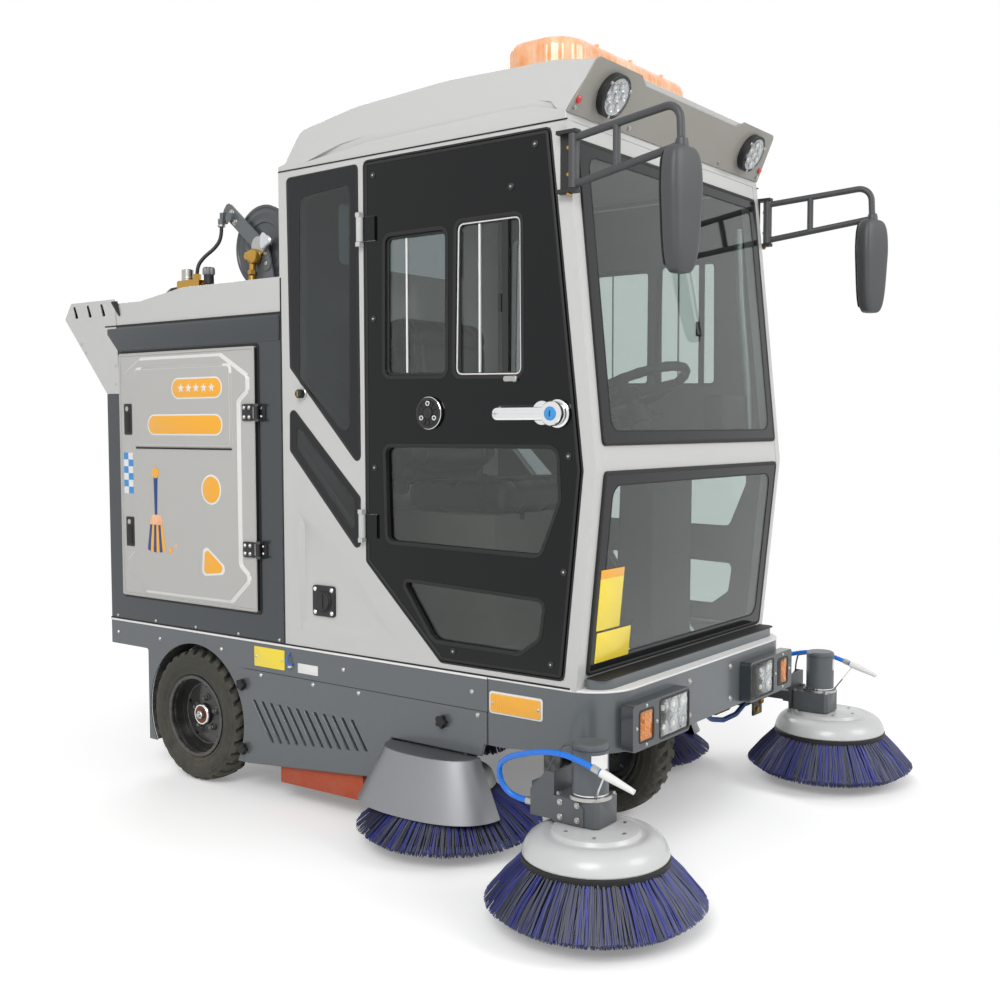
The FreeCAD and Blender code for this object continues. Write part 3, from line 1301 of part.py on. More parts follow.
# Roof, visor and light bar
driving(roof_wall=14.0, roof_lean=50.0, crown_x=983.0, brow_x=1327.0, swage_depth=10.0, visor_slope=29.1,
        visor_height=142.0, visor_sheet=4.0, visor_inset=4.0, ear_inset=33.0, ear_inner=289.0, notch_y=254.0,
        notch_drop=20.0, lamp_radius=53.0, lamp_y=384.0, lamp_up=72.0, lamp_depth=18.0, bar_x0=1030.0,
        bar_x1=1270.0, bar_half=340.0, bar_height=111.0, bar_round=18.0, bar_foot_half=40.0)
follow(roof_rear_z=S.roof_base_z + 15, roof_side_z=S.roof_base_z + 33, crown_z=S.roof_base_z + 168,
       brow_z=S.roof_base_z + 159, visor_top_z=S.roof_base_z + 137, visor_foot_z=S.roof_base_z + 19,
       visor_half=S.half_width - S.visor_inset, ear_outer=S.half_width - S.ear_inset)
follow(bar_z0=S.crown_z + 5, bar_z1=S.crown_z + 5 + S.bar_height)


def roof_swage(body, side):
    """Long lens-shaped crease pressed into the roof's side."""
    base = S.roof_base_z
    recess(body, "swage_%d" % (side + 1), side, S.swage_depth, [[
        (520, base + 16), (747, base + 36), (968, base + 44), (1193, base + 49), (1290, base + 45),
        (1360, base + 27), (1340, base + 48), (1270, base + 66), (800, base + 66), (640, base + 46)]])


def cab_roof():
    """Crowned roof shell with sides that lean in above the gutter line."""
    body = new_body("cab_roof")
    foot_x = front_x(S.visor_foot_z)
    tilt = math.tan(math.radians(float(S.visor_slope)))
    top_x = foot_x + (S.visor_top_z - S.visor_foot_z) * tilt
    outline = draw(body, "outline", Plane.SIDE, [[
        (S.cab_rear_x, S.roof_base_z), (front_x(S.roof_base_z), S.roof_base_z), (foot_x, S.visor_foot_z),
        (top_x, S.visor_top_z), (S.brow_x, S.brow_z, 200), (S.crown_x, S.crown_z, 900),
        (663, S.crown_z - 17, 300), (462, S.crown_z - 55, 30), (434, S.roof_rear_z + 6, 20),
        (S.cab_rear_x, S.roof_rear_z)]])
    pad(body, outline, S.half_width * 2, symmetric=True)
    high = S.crown_z + 30
    edge = S.half_width
    lean = edge - S.roof_lean
    slopes = []
    for sign in (-1, 1):
        slopes.append([(sign * (edge + 5), S.roof_side_z), (sign * edge, S.roof_side_z),
                       (sign * lean, S.crown_z), (sign * lean, high), (sign * (edge + 5), high)])
    pocket(body, draw(body, "slopes", Plane.FRONT, slopes), symmetric=True)
    shelled(body, S.roof_wall, faces_towards((0, 0, -1)))
    for side, name in SIDES:
        roof_swage(body, side)


cab_roof()


def roof_visor():
    """Flat visor plate that leans forward, with an ear for a lamp at each side."""
    body = tool_body("roof_visor")
    top = S.visor_height
    corners = [(-S.visor_half, 0), (S.visor_half, 0), (S.ear_outer, top, 18), (S.ear_inner, top, 10),
               (S.notch_y, top - S.notch_drop), (-S.notch_y, top - S.notch_drop), (-S.ear_inner, top, 10),
               (-S.ear_outer, top, 18)]
    pad(body, draw(body, "outline", Plane.FRONT, [corners], lift=S.running_gap), S.visor_sheet)
    tilt_place(body, S.rear_axle_x + front_x(S.visor_foot_z), 0, S.visor_foot_z, S.visor_slope)
    subparts.append(body)


roof_visor()


def roof_z(x):
    """Height of the roof between its crown and its front edge."""
    return S.crown_z - (x - S.crown_x) * ((S.crown_z - S.brow_z) / (S.brow_x - S.crown_x))


def light_bar():
    """Warning light bar with rounded ends and top edge on two feet."""
    body = tool_body("light_bar_lens")
    end = (S.bar_x1 - S.bar_x0) * 0.4
    plan = draw(body, "plan", Plane.TOP, [[
        (S.bar_x0, -S.bar_half, end), (S.bar_x1, -S.bar_half, end), (S.bar_x1, S.bar_half, end),
        (S.bar_x0, S.bar_half, end)]], lift=S.bar_z0)
    pad(body, plan, S.bar_height)
    rounded(body, S.bar_round, edges_at("z", S.bar_z1))
    middle = (S.bar_x0 + S.bar_x1) / 2
    x0 = middle - S.bar_foot_half
    x1 = middle + S.bar_foot_half
    feet = []
    for side, name in SIDES:
        foot = tool_body("bar_foot_" + name)
        sketch = draw(foot, "base", Plane.SIDE, [[
            (x0, roof_z(x0) + S.running_gap), (x1, roof_z(x1) + S.running_gap), (x1, S.bar_z0 + 2),
            (x0, S.bar_z0 + 2)]], lift=-side * S.bar_half * 0.6)
        pad(foot, sketch, S.bar_half * 0.2, symmetric=True)
        feet.append(foot)
    joined("light_bar", [body] + feet)


light_bar()

# Lamps
driving(headlamp_inset=57.0, headlamp_width=286.0, headlamp_drop=145.0, headlamp_height=115.0,
        headlamp_depth=33.0, bezel_depth=6.0, tail_lamp_inset=83.0, tail_lamp_rise=87.0, tail_lamp_radius=45.0,
        tail_lamp_depth=22.0)
follow(headlamp_y1=S.half_width - S.headlamp_inset, headlamp_z0=S.deck_z - S.headlamp_drop,
       tail_lamp_y=S.half_width - S.tail_lamp_inset, tail_lamp_z=S.deck_z + S.tail_lamp_rise)
follow(headlamp_y0=S.headlamp_y1 - S.headlamp_width, headlamp_z1=S.headlamp_z0 + S.headlamp_height)


def framed(side, y0, y1, z0, z1, corner):
    """Rounded outline on the front plane at one side of the machine."""
    return [(side * y0, z0, corner), (side * y1, z0, corner), (side * y1, z1, corner), (side * y0, z1, corner)]


def roof_lamp(side, name):
    """Round work lamp in front of an ear of the visor."""
    lamp = doc.addObject("Part::Cylinder", "roof_lamp_" + name)
    bind(lamp, "Radius", S.lamp_radius)
    bind(lamp, "Height", S.lamp_depth)
    slope = math.radians(float(S.visor_slope))
    out = S.visor_sheet + S.running_gap * 2
    x = front_x(S.visor_foot_z) + S.lamp_up * math.sin(slope) + out * math.cos(slope)
    z = S.visor_foot_z + S.lamp_up * math.cos(slope) - out * math.sin(slope)
    tilt_place(lamp, x, side * S.lamp_y, z, S.visor_slope + 90)
    return lamp


def headlamp(side, name):
    """Moulded headlamp housing with a wide recess for the main lens and a small one for the indicator."""
    body = tool_body("headlamp_" + name)
    y0 = S.headlamp_y0
    y1 = S.headlamp_y1
    z0 = S.headlamp_z0
    z1 = S.headlamp_z1
    foot = S.bumper_front + S.running_gap
    housing = draw(body, "housing", Plane.FRONT, [framed(side, y0, y1, z0, z1, 12)], lift=foot)
    pad(body, housing, S.headlamp_depth)
    bezels = draw(body, "bezels", Plane.FRONT, [framed(side, y0 + 4, y0 + 156, z0 + 8, z1 - 8, 6),
                                                framed(side, y1 - 100, y1 - 30, z0 + 18, z1 - 18, 6)],
                  lift=foot + S.headlamp_depth)
    pocket(body, bezels, S.bezel_depth)
    return body


def tail_lamp(side, name):
    """Round tail lamp on the rear wall of the service body."""
    x = S.body_rear_x - S.running_gap - S.tail_lamp_depth
    spot = (x, side * S.tail_lamp_y, S.tail_lamp_z)
    return rod("tail_lamp_" + name, S.tail_lamp_radius, S.tail_lamp_depth, spot, "x")


grouped("lamp_housings", [lamp(side, name) for side, name in SIDES for lamp in (roof_lamp, headlamp, tail_lamp)])

# Service body
driving(body_wall=20.0, body_floor=6.0, body_front_x=399.0, service_x0=-355.0, service_x1=299.0,
        service_z0_rise=88.0, service_z1_drop=92.0, service_lap=14.0, service_plate=10.0, service_form=8.0,
        service_step=4.0, form_slope=60.0, step_slope=45.0, latch_depth=4.0, service_hinge_x=311.0,
        service_hinge_out=16.0, service_pin=4.0, service_knuckle=8.0, service_hinge_drop=221.0,
        service_hinge_rise=161.0, service_hinge_length=52.0, service_lug=8.0, service_leaf=30.0,
        cover_step_x=-248.0, cover_rise_x=-39.0, cover_round=60.0, cover_sheet=3.0, hood_rear_x=-659.0,
        hood_lip_rise=35.0, hood_top_rise=87.0, hood_low_drop=220.0, hood_sheet=3.0)
follow(service_z0=S.deck_z + S.service_z0_rise, service_z1=S.frame_top - S.service_z1_drop,
       hood_lip_z=S.frame_top + S.hood_lip_rise, hood_top_z=S.frame_top + S.hood_top_rise,
       hood_low_z=S.frame_top - S.hood_low_drop)
HOOD_SLOTS = (-611, -535, -459)


def service_hinges():
    """The two levels of a service door's hinges."""
    return (("high", S.service_z1 - S.service_hinge_drop), ("low", S.service_z0 + S.service_hinge_rise))


def body_frame():
    """Dark box of the service body: side frames round the doors, rear wall, front wall and floor."""
    body = tool_body("body_box")
    outer = draw(body, "outer", Plane.SIDE, [[
        (S.body_rear_x, S.deck_z), (S.body_front_x, S.deck_z), (S.body_front_x, S.frame_top),
        (S.body_rear_x, S.frame_top)]])
    pad(body, outer, S.half_width * 2, symmetric=True)
    wall = S.body_wall
    inside = draw(body, "inside", Plane.TOP, [[
        (S.body_rear_x + wall, wall - S.half_width), (S.body_front_x - wall, wall - S.half_width),
        (S.body_front_x - wall, S.half_width - wall), (S.body_rear_x + wall, S.half_width - wall)]],
        lift=S.deck_z + S.body_floor)
    pocket(body, inside, S.frame_top - S.deck_z, backwards=True)
    lap = S.service_lap
    opening = draw(body, "opening", Plane.SIDE, [[
        (S.service_x0 + lap, S.service_z0 + lap, 20), (S.service_x1 - lap, S.service_z0 + lap, 20),
        (S.service_x1 - lap, S.service_z1 - lap, 20), (S.service_x0 + lap, S.service_z1 - lap, 20)]])
    pocket(body, opening, symmetric=True)
    pieces = [body]
    lug = S.service_lug
    for side, name in SIDES:
        out = S.half_width + S.service_hinge_out
        for level, z in service_hinges():
            pieces.append(rod("service_pin_%s_%s" % (level, name), S.service_pin, S.service_hinge_length,
                              (S.service_hinge_x, side * out, z), "z"))
            for end, start in (("top", z + S.service_hinge_length - lug), ("foot", z)):
                pieces.append(box("service_lug_%s_%s_%s" % (level, end, name),
                                  (S.service_hinge_x - 5, S.service_hinge_x + 14),
                                  sided(side, S.half_width - 2, out + 5), (start, start + lug)))
    joined("body_frame", pieces)


def door_form():
    """Outline of the service door's raised form: wide at its top and foot, waisted beside the fittings."""
    low = S.service_z0
    high = S.service_z1
    return [(-331, high - 65), (-240, high - 16), (154, high - 16), (277, high - 84), (277, high - 132),
            (236, high - 162), (236, low + 139), (273, low + 111), (273, low + 89), (191, low + 18),
            (-228, low + 16), (-326, low + 81), (-326, low + 119), (-284, low + 151), (-284, high - 157),
            (-331, high - 125)]


def service_panel(body, side):
    """Stamped panel: a flat border, a raised form with sloping walls and a prouder upper field."""
    low = S.service_z0
    high = S.service_z1
    gap = S.running_gap
    border = [(S.service_x0, low, 8), (S.service_x1, low, 8), (S.service_x1, high, 8), (S.service_x0, high, 8)]
    raised(body, "border", side, S.service_plate, border, gap)
    face = gap + S.service_plate
    tapered(raised(body, "form", side, S.service_form, door_form(), face), S.form_slope)
    field = [(-262, high - 301), (-262, high - 77), (-222, high - 47), (168, high - 47), (208, high - 77),
             (208, high - 301)]
    tapered(raised(body, "field", side, S.service_step, field, face + S.service_form), S.step_slope)
    latches = [[(x0, z0, 6), (x1, z0, 6), (x1, z1, 6), (x0, z1, 6)] for x0, x1, z0, z1 in (
        (-325, -291, low + 165, low + 255), (-325, -295, high - 259, high - 165))]
    recess(body, "latches", side, S.latch_depth, latches, proud=face)


def service_door(side, name):
    """Service door: a stamped panel that laps over its opening, with two knuckles at its front edge."""
    label = "service_door_" + name
    panel = tool_body(label + "_panel")
    service_panel(panel, side)
    pieces = [panel]
    drills = []
    out = S.half_width + S.service_hinge_out
    face = S.half_width + S.running_gap + S.service_plate
    length = S.service_hinge_length - (S.service_lug + S.knuckle_gap) * 2
    for level, z in service_hinges():
        base = z + S.service_lug + S.knuckle_gap
        pieces.append(rod("%s_knuckle_%s" % (label, level), S.service_knuckle, length,
                          (S.service_hinge_x, side * out, base), "z"))
        pieces.append(box("%s_leaf_%s" % (label, level), (S.service_x1 - S.service_leaf, S.service_hinge_x),
                          sided(side, face - 1, face + S.leaf_sheet), (base, base + length)))
        drills.append(rod("%s_bore_%s" % (label, level), S.service_pin + S.pin_clearance,
                          S.service_hinge_length, (S.service_hinge_x, side * out, z), "z"))
    door = cut(label, fused(label + "_solid", pieces), fused(label + "_drills", drills))
    place(door, S.rear_axle_x)
    subparts.append(door)


def top_cover():
    """Light sheet cover over the service body, lower at the rear, folded down at its edges."""
    body = new_body("top_cover")
    sheet = S.cover_sheet
    base = S.frame_top + S.running_gap
    front = S.cab_rear_x - 1
    bend = S.cover_round
    outer = draw(body, "outer", Plane.SIDE, [[
        (S.body_rear_x, base), (front, base), (front, S.cover_front_z), (S.cover_rise_x, S.cover_front_z, bend),
        (S.cover_step_x, S.cover_rear_z, bend), (S.body_rear_x, S.cover_rear_z)]])
    pad(body, outer, S.half_width * 2, symmetric=True)
    inner = draw(body, "inner", Plane.SIDE, [[
        (S.body_rear_x + sheet, base - 1), (front - sheet, base - 1), (front - sheet, S.cover_front_z - sheet),
        (S.cover_rise_x, S.cover_front_z - sheet, bend), (S.cover_step_x, S.cover_rear_z - sheet, bend),
        (S.body_rear_x + sheet, S.cover_rear_z - sheet)]])
    pocket(body, inner, (S.half_width - sheet) * 2, symmetric=True)


def tail_hood():
    """Slotted hood at the tail: two side plates joined by a slanted back."""
    body = new_body("tail_hood")
    sheet = S.hood_sheet
    x0 = S.hood_rear_x
    top = S.hood_top_z
    outer = draw(body, "outer", Plane.SIDE, [[
        (x0, S.hood_lip_z), (S.body_rear_x + 4, S.hood_low_z), (S.service_x0 - 6, S.hood_low_z),
        (S.service_x0 - 26, top), (x0 + 37, top)]])
    pad(body, outer, (S.half_width + sheet + S.running_gap) * 2, symmetric=True)
    hollow = draw(body, "hollow", Plane.SIDE, [[
        (x0 + sheet + 1, S.hood_lip_z + 1), (S.body_rear_x - S.running_gap, S.hood_low_z + 6),
        (S.body_rear_x - S.running_gap, S.hood_low_z - 5), (S.service_x0 + 20, S.hood_low_z - 5),
        (S.service_x0 + 20, top + 10), (x0 + 37 + sheet + 8, top + 10)]])
    pocket(body, hollow, (S.half_width + S.running_gap) * 2, symmetric=True)
    slots = [[(x, top - 12), (x + 8, top - 12), (x + 18, top - 52), (x + 10, top - 52)] for x in HOOD_SLOTS]
    pocket(body, draw(body, "slots", Plane.SIDE, slots), symmetric=True)


body_frame()
for side, name in SIDES:
    service_door(side, name)
top_cover()
tail_hood()

# Waste hopper
driving(hopper_x0=-330.0, hopper_x1=280.0, hopper_inset=83.0, hopper_drop=149.0, hopper_sheet=4.0,
        hopper_foot=40.0, hopper_flare=160.0)
follow(hopper_y=S.half_width - S.hopper_inset, hopper_top=S.frame_top - S.hopper_drop)


def waste_hopper():
    """Open-topped waste bin that stands behind the service doors."""
    body = new_body("waste_hopper")
    base = S.deck_z + S.body_floor
    outer = draw(body, "outer", Plane.SIDE, [[
        (S.hopper_x0 + S.hopper_foot, base), (S.hopper_x1 - S.hopper_foot, base),
        (S.hopper_x1, base + S.hopper_flare), (S.hopper_x1, S.hopper_top), (S.hopper_x0, S.hopper_top),
        (S.hopper_x0, base + S.hopper_flare)]])
    pad(body, outer, S.hopper_y * 2, symmetric=True)
    shelled(body, S.hopper_sheet, faces_towards((0, 0, 1)))


waste_hopper()

# Seat and steering
driving(seat_front_x=1010.0, cushion_height=102.0, seat_half=230.0, back_height=518.0, wheel_centre_x=1238.0,
        wheel_rise=726.0, wheel_tilt=25.0, wheel_ring=178.0, wheel_grip=13.0, hub_boss=34.0, hub_low=28.0,
        hub_height=34.0, shaft_low=95.0, shaft_length=72.0, spoke_half=14.0, spoke_low=6.0, spoke_top=2.0,
        column_shaft=10.0, column_tube=30.0, column_down=240.0, column_length=190.0, column_bore_down=105.0,
        column_bore_length=60.0, console_rise=527.0, console_half=110.0, console_back=150.0)
follow(cushion_top=S.seat_box_z + S.cushion_height, wheel_centre_z=S.deck_z + S.wheel_rise,
       console_top=S.deck_z + S.console_rise)
follow(back_top=S.cushion_top + S.back_height)
SPOKES = 3


def seat_pads():
    """Seat cushion and backrest."""
    cushion = tool_body("seat_cushion_pad")
    side = draw(cushion, "side", Plane.SIDE, [[
        (S.seat_box_x0 + 10, S.seat_box_z + S.running_gap, 20), (S.seat_front_x, S.seat_box_z + 4, 30),
        (S.seat_front_x, S.cushion_top, 35), (S.seat_box_x0 + 10, S.cushion_top - 18, 20)]])
    pad(cushion, side, S.seat_half * 2, symmetric=True)
    back = tool_body("seat_back_pad")
    seat_front = S.seat_box_x0 + 10 - S.running_gap
    lean = draw(back, "lean", Plane.SIDE, [[
        (S.seat_box_x0 - 55, S.cushion_top - 60, 20), (seat_front, S.cushion_top - 60, 8),
        (seat_front, S.cushion_top + S.running_gap), (S.seat_box_x0 + 70, S.cushion_top + 30, 30),
        (S.seat_box_x0 + 20, S.back_top, 35), (S.seat_box_x0 - 75, S.back_top, 35)]])
    pad(back, lean, (S.seat_half - 10) * 2, symmetric=True)
    grouped("seat_pads", [cushion, back])


def down_column(name, radius, length, drop):
    """Round bar along the steering column, starting this far below the wheel's centre."""
    tilt = math.radians(float(S.wheel_tilt))
    bar = doc.addObject("Part::Cylinder", name)
    bind(bar, "Radius", radius)
    bind(bar, "Height", length)
    tilt_place(bar, S.wheel_centre_x + drop * math.sin(tilt), 0, S.wheel_centre_z - drop * math.cos(tilt),
               -S.wheel_tilt)
    return bar


def steering_column():
    """Console on the floor and the slanted column tube that carries the steering wheel."""
    base_z = S.deck_z + S.floor_thickness
    console = tool_body("console")
    side = draw(console, "side", Plane.SIDE, [[
        (S.foot_x - S.console_back, base_z), (S.foot_x - 34, base_z), (S.foot_x - 30, S.console_top, 20),
        (S.foot_x - S.console_back + 20, S.console_top, 20)]])
    pad(console, side, S.console_half * 2, symmetric=True)
    tube = down_column("column_tube", S.column_tube, S.column_length, S.column_down)
    bore = down_column("column_bore", S.column_shaft + S.pin_clearance, S.column_bore_length,
                       S.column_bore_down)
    column = cut("steering_column", fused("column_solid", [console, tube]), bore)
    place(column, S.rear_axle_x)
    subparts.append(column)


def steering_wheel():
    """Ring, spokes, hub and shaft of the steering wheel, tipped towards the seat."""
    ring = doc.addObject("Part::Torus", "wheel_ring_torus")
    bind(ring, "Radius1", S.wheel_ring)
    bind(ring, "Radius2", S.wheel_grip)
    pieces = [ring, rod("wheel_hub", S.hub_boss, S.hub_height, (0, 0, -S.hub_low), "z"),
              rod("wheel_shaft", S.column_shaft, S.shaft_length, (0, 0, -S.shaft_low), "z")]
    half = S.spoke_half
    for index in range(SPOKES):
        angle = 60 + 360 / SPOKES * index
        turn = math.radians(angle)
        spoke = box("wheel_spoke_%d" % index, (0, S.wheel_ring), (-half, half), (-S.spoke_low, S.spoke_top))
        spoke.Placement.Rotation = FreeCAD.Rotation(Vector(0, 0, 1), angle)
        bind(spoke, "Placement.Base.x", half * math.sin(turn))
        bind(spoke, "Placement.Base.y", half * -math.cos(turn))
        pieces.append(spoke)
    wheel = fused("steering_wheel", pieces)
    tilt_place(wheel, S.rear_axle_x + S.wheel_centre_x, 0, S.wheel_centre_z, -S.wheel_tilt)
    subparts.append(wheel)


seat_pads()
steering_column()
steering_wheel()

# Brush shrouds and flaps
driving(shroud_top_out=89.0, shroud_low_out=139.0, shroud_low_z=112.0, shroud_sheet=3.0, flap_half=170.0,
        flap_low=40.0, flap_top=150.0, flap_sheet=6.0)


def shroud_ring(side, x0, x1, out, inset):
    """Plan of a shroud at one level, with the corners of its bulge rounded."""
    half = (x1 - x0) / 2 - inset
    middle = (x0 + x1) / 2
    base = S.half_width + S.running_gap - inset * 3
    shoulder = side * (S.half_width + out * 0.62 - inset)
    crest = side * (S.half_width + out - inset)
    return [(middle - half, side * base), (middle + half, side * base), (middle + half * 0.76, shoulder, 20),
            (middle + half * 0.32, crest, 40), (middle - half * 0.32, crest, 40),
            (middle - half * 0.76, shoulder, 20)]


def shroud(side, name):
    """Flared sheet hood over a side brush: a lofted shell, open below and towards the frame."""
    body = tool_body("shroud_" + name)
    none = as_size(0)
    for kind, inset, drop in (("Additive", none, none), ("Subtractive", S.shroud_sheet, as_size(1))):
        low = shroud_ring(side, S.shroud_x0, S.shroud_x1, S.shroud_low_out, inset)
        high = shroud_ring(side, S.shroud_x2, S.shroud_x3, S.shroud_top_out, inset)
        lofted(body, kind, [("low_" + kind, Plane.TOP, low, S.shroud_low_z - drop),
                            ("high_" + kind, Plane.TOP, high, S.shroud_top - inset)])
    return body


grouped("brush_shrouds", [shroud(side, name) for side, name in SIDES])

flap_inner = S.roller_half + S.box_gap + S.box_sheet + S.running_gap
grouped("rubber_flaps", [box("flap_" + name, (S.roller_x - S.flap_half, S.roller_x + S.flap_half),
                             sided(side, flap_inner, flap_inner + S.flap_sheet), (S.flap_low, S.flap_top))
                         for side, name in SIDES])

# Mirrors
driving(mirror_pivot_x=1418.0, mirror_out=12.0, mirror_yaw=8.6, mirror_low_drop=158.0, mirror_high_drop=51.0,
        mirror_reach=312.0, mirror_tube=9.0, mirror_sleeve=13.0, mirror_bend=38.0, mirror_rung=130.0,
        head_low_drop=393.0, head_high_drop=120.0, mirror_half=48.0, head_depth=52.0, head_round=8.0,
        clamp_pin=7.0, clamp_gap=1.0, clamp_plate=9.0, clamp_sheet=4.0, clamp_back=44.0, clamp_front=12.0,
        clamp_web=24.0)
follow(mirror_low_z=S.roof_base_z - S.mirror_low_drop, mirror_high_z=S.roof_base_z - S.mirror_high_drop,
       head_low_z=S.roof_base_z - S.head_low_drop, head_high_z=S.roof_base_z - S.head_high_drop)


def mirror_head(label):
    """Mirror head: wide at the top, drawn in towards its foot, with rounded rims."""
    head = tool_body(label)
    half = S.mirror_half
    low = S.head_low_z
    back = S.mirror_reach - S.head_depth / 2
    outline = draw(head, "outline", Plane.FRONT, [[
        (-half * 0.62, low, 26), (half * 0.62, low, 26), (half, low + 110, 60), (half, S.head_high_z, 34),
        (-half, S.head_high_z, 34), (-half, low + 110, 60)]], lift=back)
    pad(head, outline, S.head_depth)
    for place_x in (back, back + S.head_depth):
        rounded(head, S.head_round, edges_at("x", place_x))
    return head


def mirror(side, name):
    """Mirror arm of bent tube with its head, on a vertical pin at the cab's front corner."""
    label = "mirror_" + name
    low = S.mirror_low_z
    high = S.mirror_high_z
    reach = S.mirror_reach
    rung = S.mirror_rung
    sleeve_low = low - S.mirror_tube
    sleeve_length = high - low + S.mirror_tube * 2
    pieces = [rod(label + "_sleeve", S.mirror_sleeve, sleeve_length, (0, 0, sleeve_low), "z")]
    tubes = (("high", [(5, 0, high), (reach - 5, 0, high + 25), (reach, 0, low + 20)]),
             ("low", [(5, 0, low), (reach, 0, low + 40)]),
             ("rung", [(rung, 0, low + 16), (rung, 0, high + 10)]))
    for part, points in tubes:
        pieces.append(tube_along(label + "_" + part, points, S.mirror_tube, equal_bends(S.mirror_bend))[0])
    pieces.append(mirror_head(label + "_head"))
    bore = rod(label + "_bore", S.clamp_pin + S.pin_clearance, sleeve_length + 2, (0, 0, sleeve_low - 1), "z")
    arm = cut(label, fused(label + "_solid", pieces), bore)
    arm.Placement.Rotation = FreeCAD.Rotation(Vector(0, 0, side), float(S.mirror_yaw))
    place(arm, S.rear_axle_x + S.mirror_pivot_x, side * (S.half_width + S.mirror_out), 0)
    bind(arm, "Placement.Rotation.Angle", S.mirror_yaw)
    subparts.append(arm)


def mirror_clamp(side, name):
    """Clamp bracket with the pin that a mirror arm turns on."""
    plate = S.clamp_plate
    low = S.mirror_low_z - S.mirror_tube - S.clamp_gap - plate
    high = S.mirror_high_z + S.mirror_tube + S.clamp_gap
    x = S.mirror_pivot_x
    edge = S.half_width
    out = edge + S.mirror_out
    pieces = [rod("clamp_pin_" + name, S.clamp_pin, high + plate - low, (x, side * out, low), "z"),
              box("clamp_web_" + name, (x - S.clamp_back, x - S.clamp_back + S.clamp_web),
                  sided(side, edge, edge + S.clamp_sheet), (low, high + plate))]
    for level, z in (("low", low), ("high", high)):
        pieces.append(box("clamp_%s_%s" % (level, name), (x - S.clamp_back, x + S.clamp_front),
                          sided(side, edge, out + S.clamp_front), (z, z + plate)))
    return fused("mirror_clamp_" + name, pieces)


for side, name in SIDES:
    mirror(side, name)
grouped("mirror_clamps", [mirror_clamp(side, name) for side, name in SIDES])

# Hose reel and valves on the cover
driving(reel_x=75.0, reel_y=-215.0, reel_flange=132.0, reel_half=75.0, reel_hose=112.0, reel_shaft=12.0,
        reel_plate=6.0, reel_base=5.0, reel_floor=3.7, reel_rim=5.0, reel_side_gap=8.0, reel_foot_half=70.0,
        reel_arm_half=24.0, reel_arm_bend=18.0, reel_arm_back=150.0, reel_arm_rise=125.0, hub_cap=30.0,
        hub_cap_depth=10.0,
        guide_x=-93.0, guide_out=14.0, guide_low=1756.0, guide_length=26.0, guide_radius=11.0, roller_disc=15.0,
        reel_hose_diameter=12.0, valve_x0=-195.0, valve_x1=-85.0, valve_y=395.0, valve_width=50.0,
        valve_rise=40.0, valve_port_x=-137.0, valve_port_y=-384.0, valve_port=9.0, valve_port_rise=57.0,
        valve_can=19.0, valve_can_rise=76.0, valve_pipe=7.0, valve_knob=16.0, valve_pipe_x=-52.0,
        valve_knob_x=-66.0, valve_pipe_rise=24.0)
follow(reel_z=S.cover_front_z + S.running_gap + S.reel_base + S.reel_floor + S.reel_flange)


def cover_z(x):
    """Height of the cover's slope at a length x between its step and its rise."""
    share = (S.cover_front_z - S.cover_rear_z) / (S.cover_rise_x - S.cover_step_x)
    return S.cover_rear_z + (x - S.cover_step_x) * share


def reel_drum():
    """Drum of the hose reel with two flanges and the wound hose, turned about Y."""
    body = new_body("reel_drum", S.rear_axle_x + S.reel_x, S.reel_y, S.reel_z)
    half = S.reel_half
    rim = S.reel_rim
    bore = S.reel_shaft + S.pin_clearance
    section = draw(body, "section", Plane.TOP, [[
        (bore, -half), (S.reel_flange, -half, 2), (S.reel_flange, rim - half, 2), (S.reel_hose, rim - half),
        (S.reel_hose, half - rim), (S.reel_flange, half - rim, 2), (S.reel_flange, half, 2), (bore, half)]])
    revolve(body, section)


def reel_stand():
    """Stand of the reel: base, side plate, shaft, hub cap and the hose guide arm."""
    x = S.reel_x
    inner = S.reel_y - S.reel_half - S.reel_side_gap
    outer = inner - S.reel_plate
    base_z = S.cover_front_z + S.running_gap
    base = box("reel_base", (x - 90, x + 90), (outer - 10, S.reel_y + S.reel_half + 10),
               (base_z, base_z + S.reel_base))
    post = tool_body("reel_post")
    pad(post, draw(post, "post", Plane.SIDE, [[
        (x - S.reel_foot_half, base_z), (x + S.reel_foot_half, base_z), (x + 30, S.reel_z + 22, 18),
        (x - 30, S.reel_z + 22, 18)]], lift=-inner), S.reel_plate)
    arm = tool_body("reel_arm")
    tip_x = x - S.reel_arm_back
    tip_z = S.reel_z + S.reel_arm_rise
    run = math.hypot(float(S.reel_arm_back), float(S.reel_arm_rise))
    u = S.reel_arm_back / run
    v = S.reel_arm_rise / run
    h = S.reel_arm_half
    reach = h * 0.9
    hub_end = (x + u * reach, S.reel_z - v * reach)
    tip_end = (tip_x - u * reach, tip_z + v * reach)
    bend = S.reel_arm_bend
    pad(arm, draw(arm, "arm", Plane.SIDE, [[
        (hub_end[0] + v * h, hub_end[1] + u * h, bend), (tip_end[0] + v * h, tip_end[1] + u * h, bend),
        (tip_end[0] - v * h, tip_end[1] - u * h, bend), (hub_end[0] - v * h, hub_end[1] - u * h, bend)]],
        lift=-inner), S.reel_plate)
    shaft_length = S.reel_half * 2 + S.reel_side_gap + S.reel_plate + 16
    guide_y = outer - S.guide_out
    link_z = (S.guide_low + 12, tip_z - 4)
    pieces = [base, post, arm, rod("reel_shaft_bar", S.reel_shaft, shaft_length, (x, outer, S.reel_z), "y"),
              rod("reel_hub_cap", S.hub_cap, S.hub_cap_depth, (x, outer - S.hub_cap_depth, S.reel_z), "y"),
              rod("guide_sleeve", S.guide_radius, S.guide_length, (S.guide_x, guide_y, S.guide_low), "z"),
              box("guide_link", (S.guide_x - 8, S.guide_x + 8), (guide_y, inner), link_z),
              rod("guide_roller", S.roller_disc, S.guide_out, (S.guide_x + 34, guide_y, tip_z - 22), "y")]
    joined("hose_reel_stand", pieces)


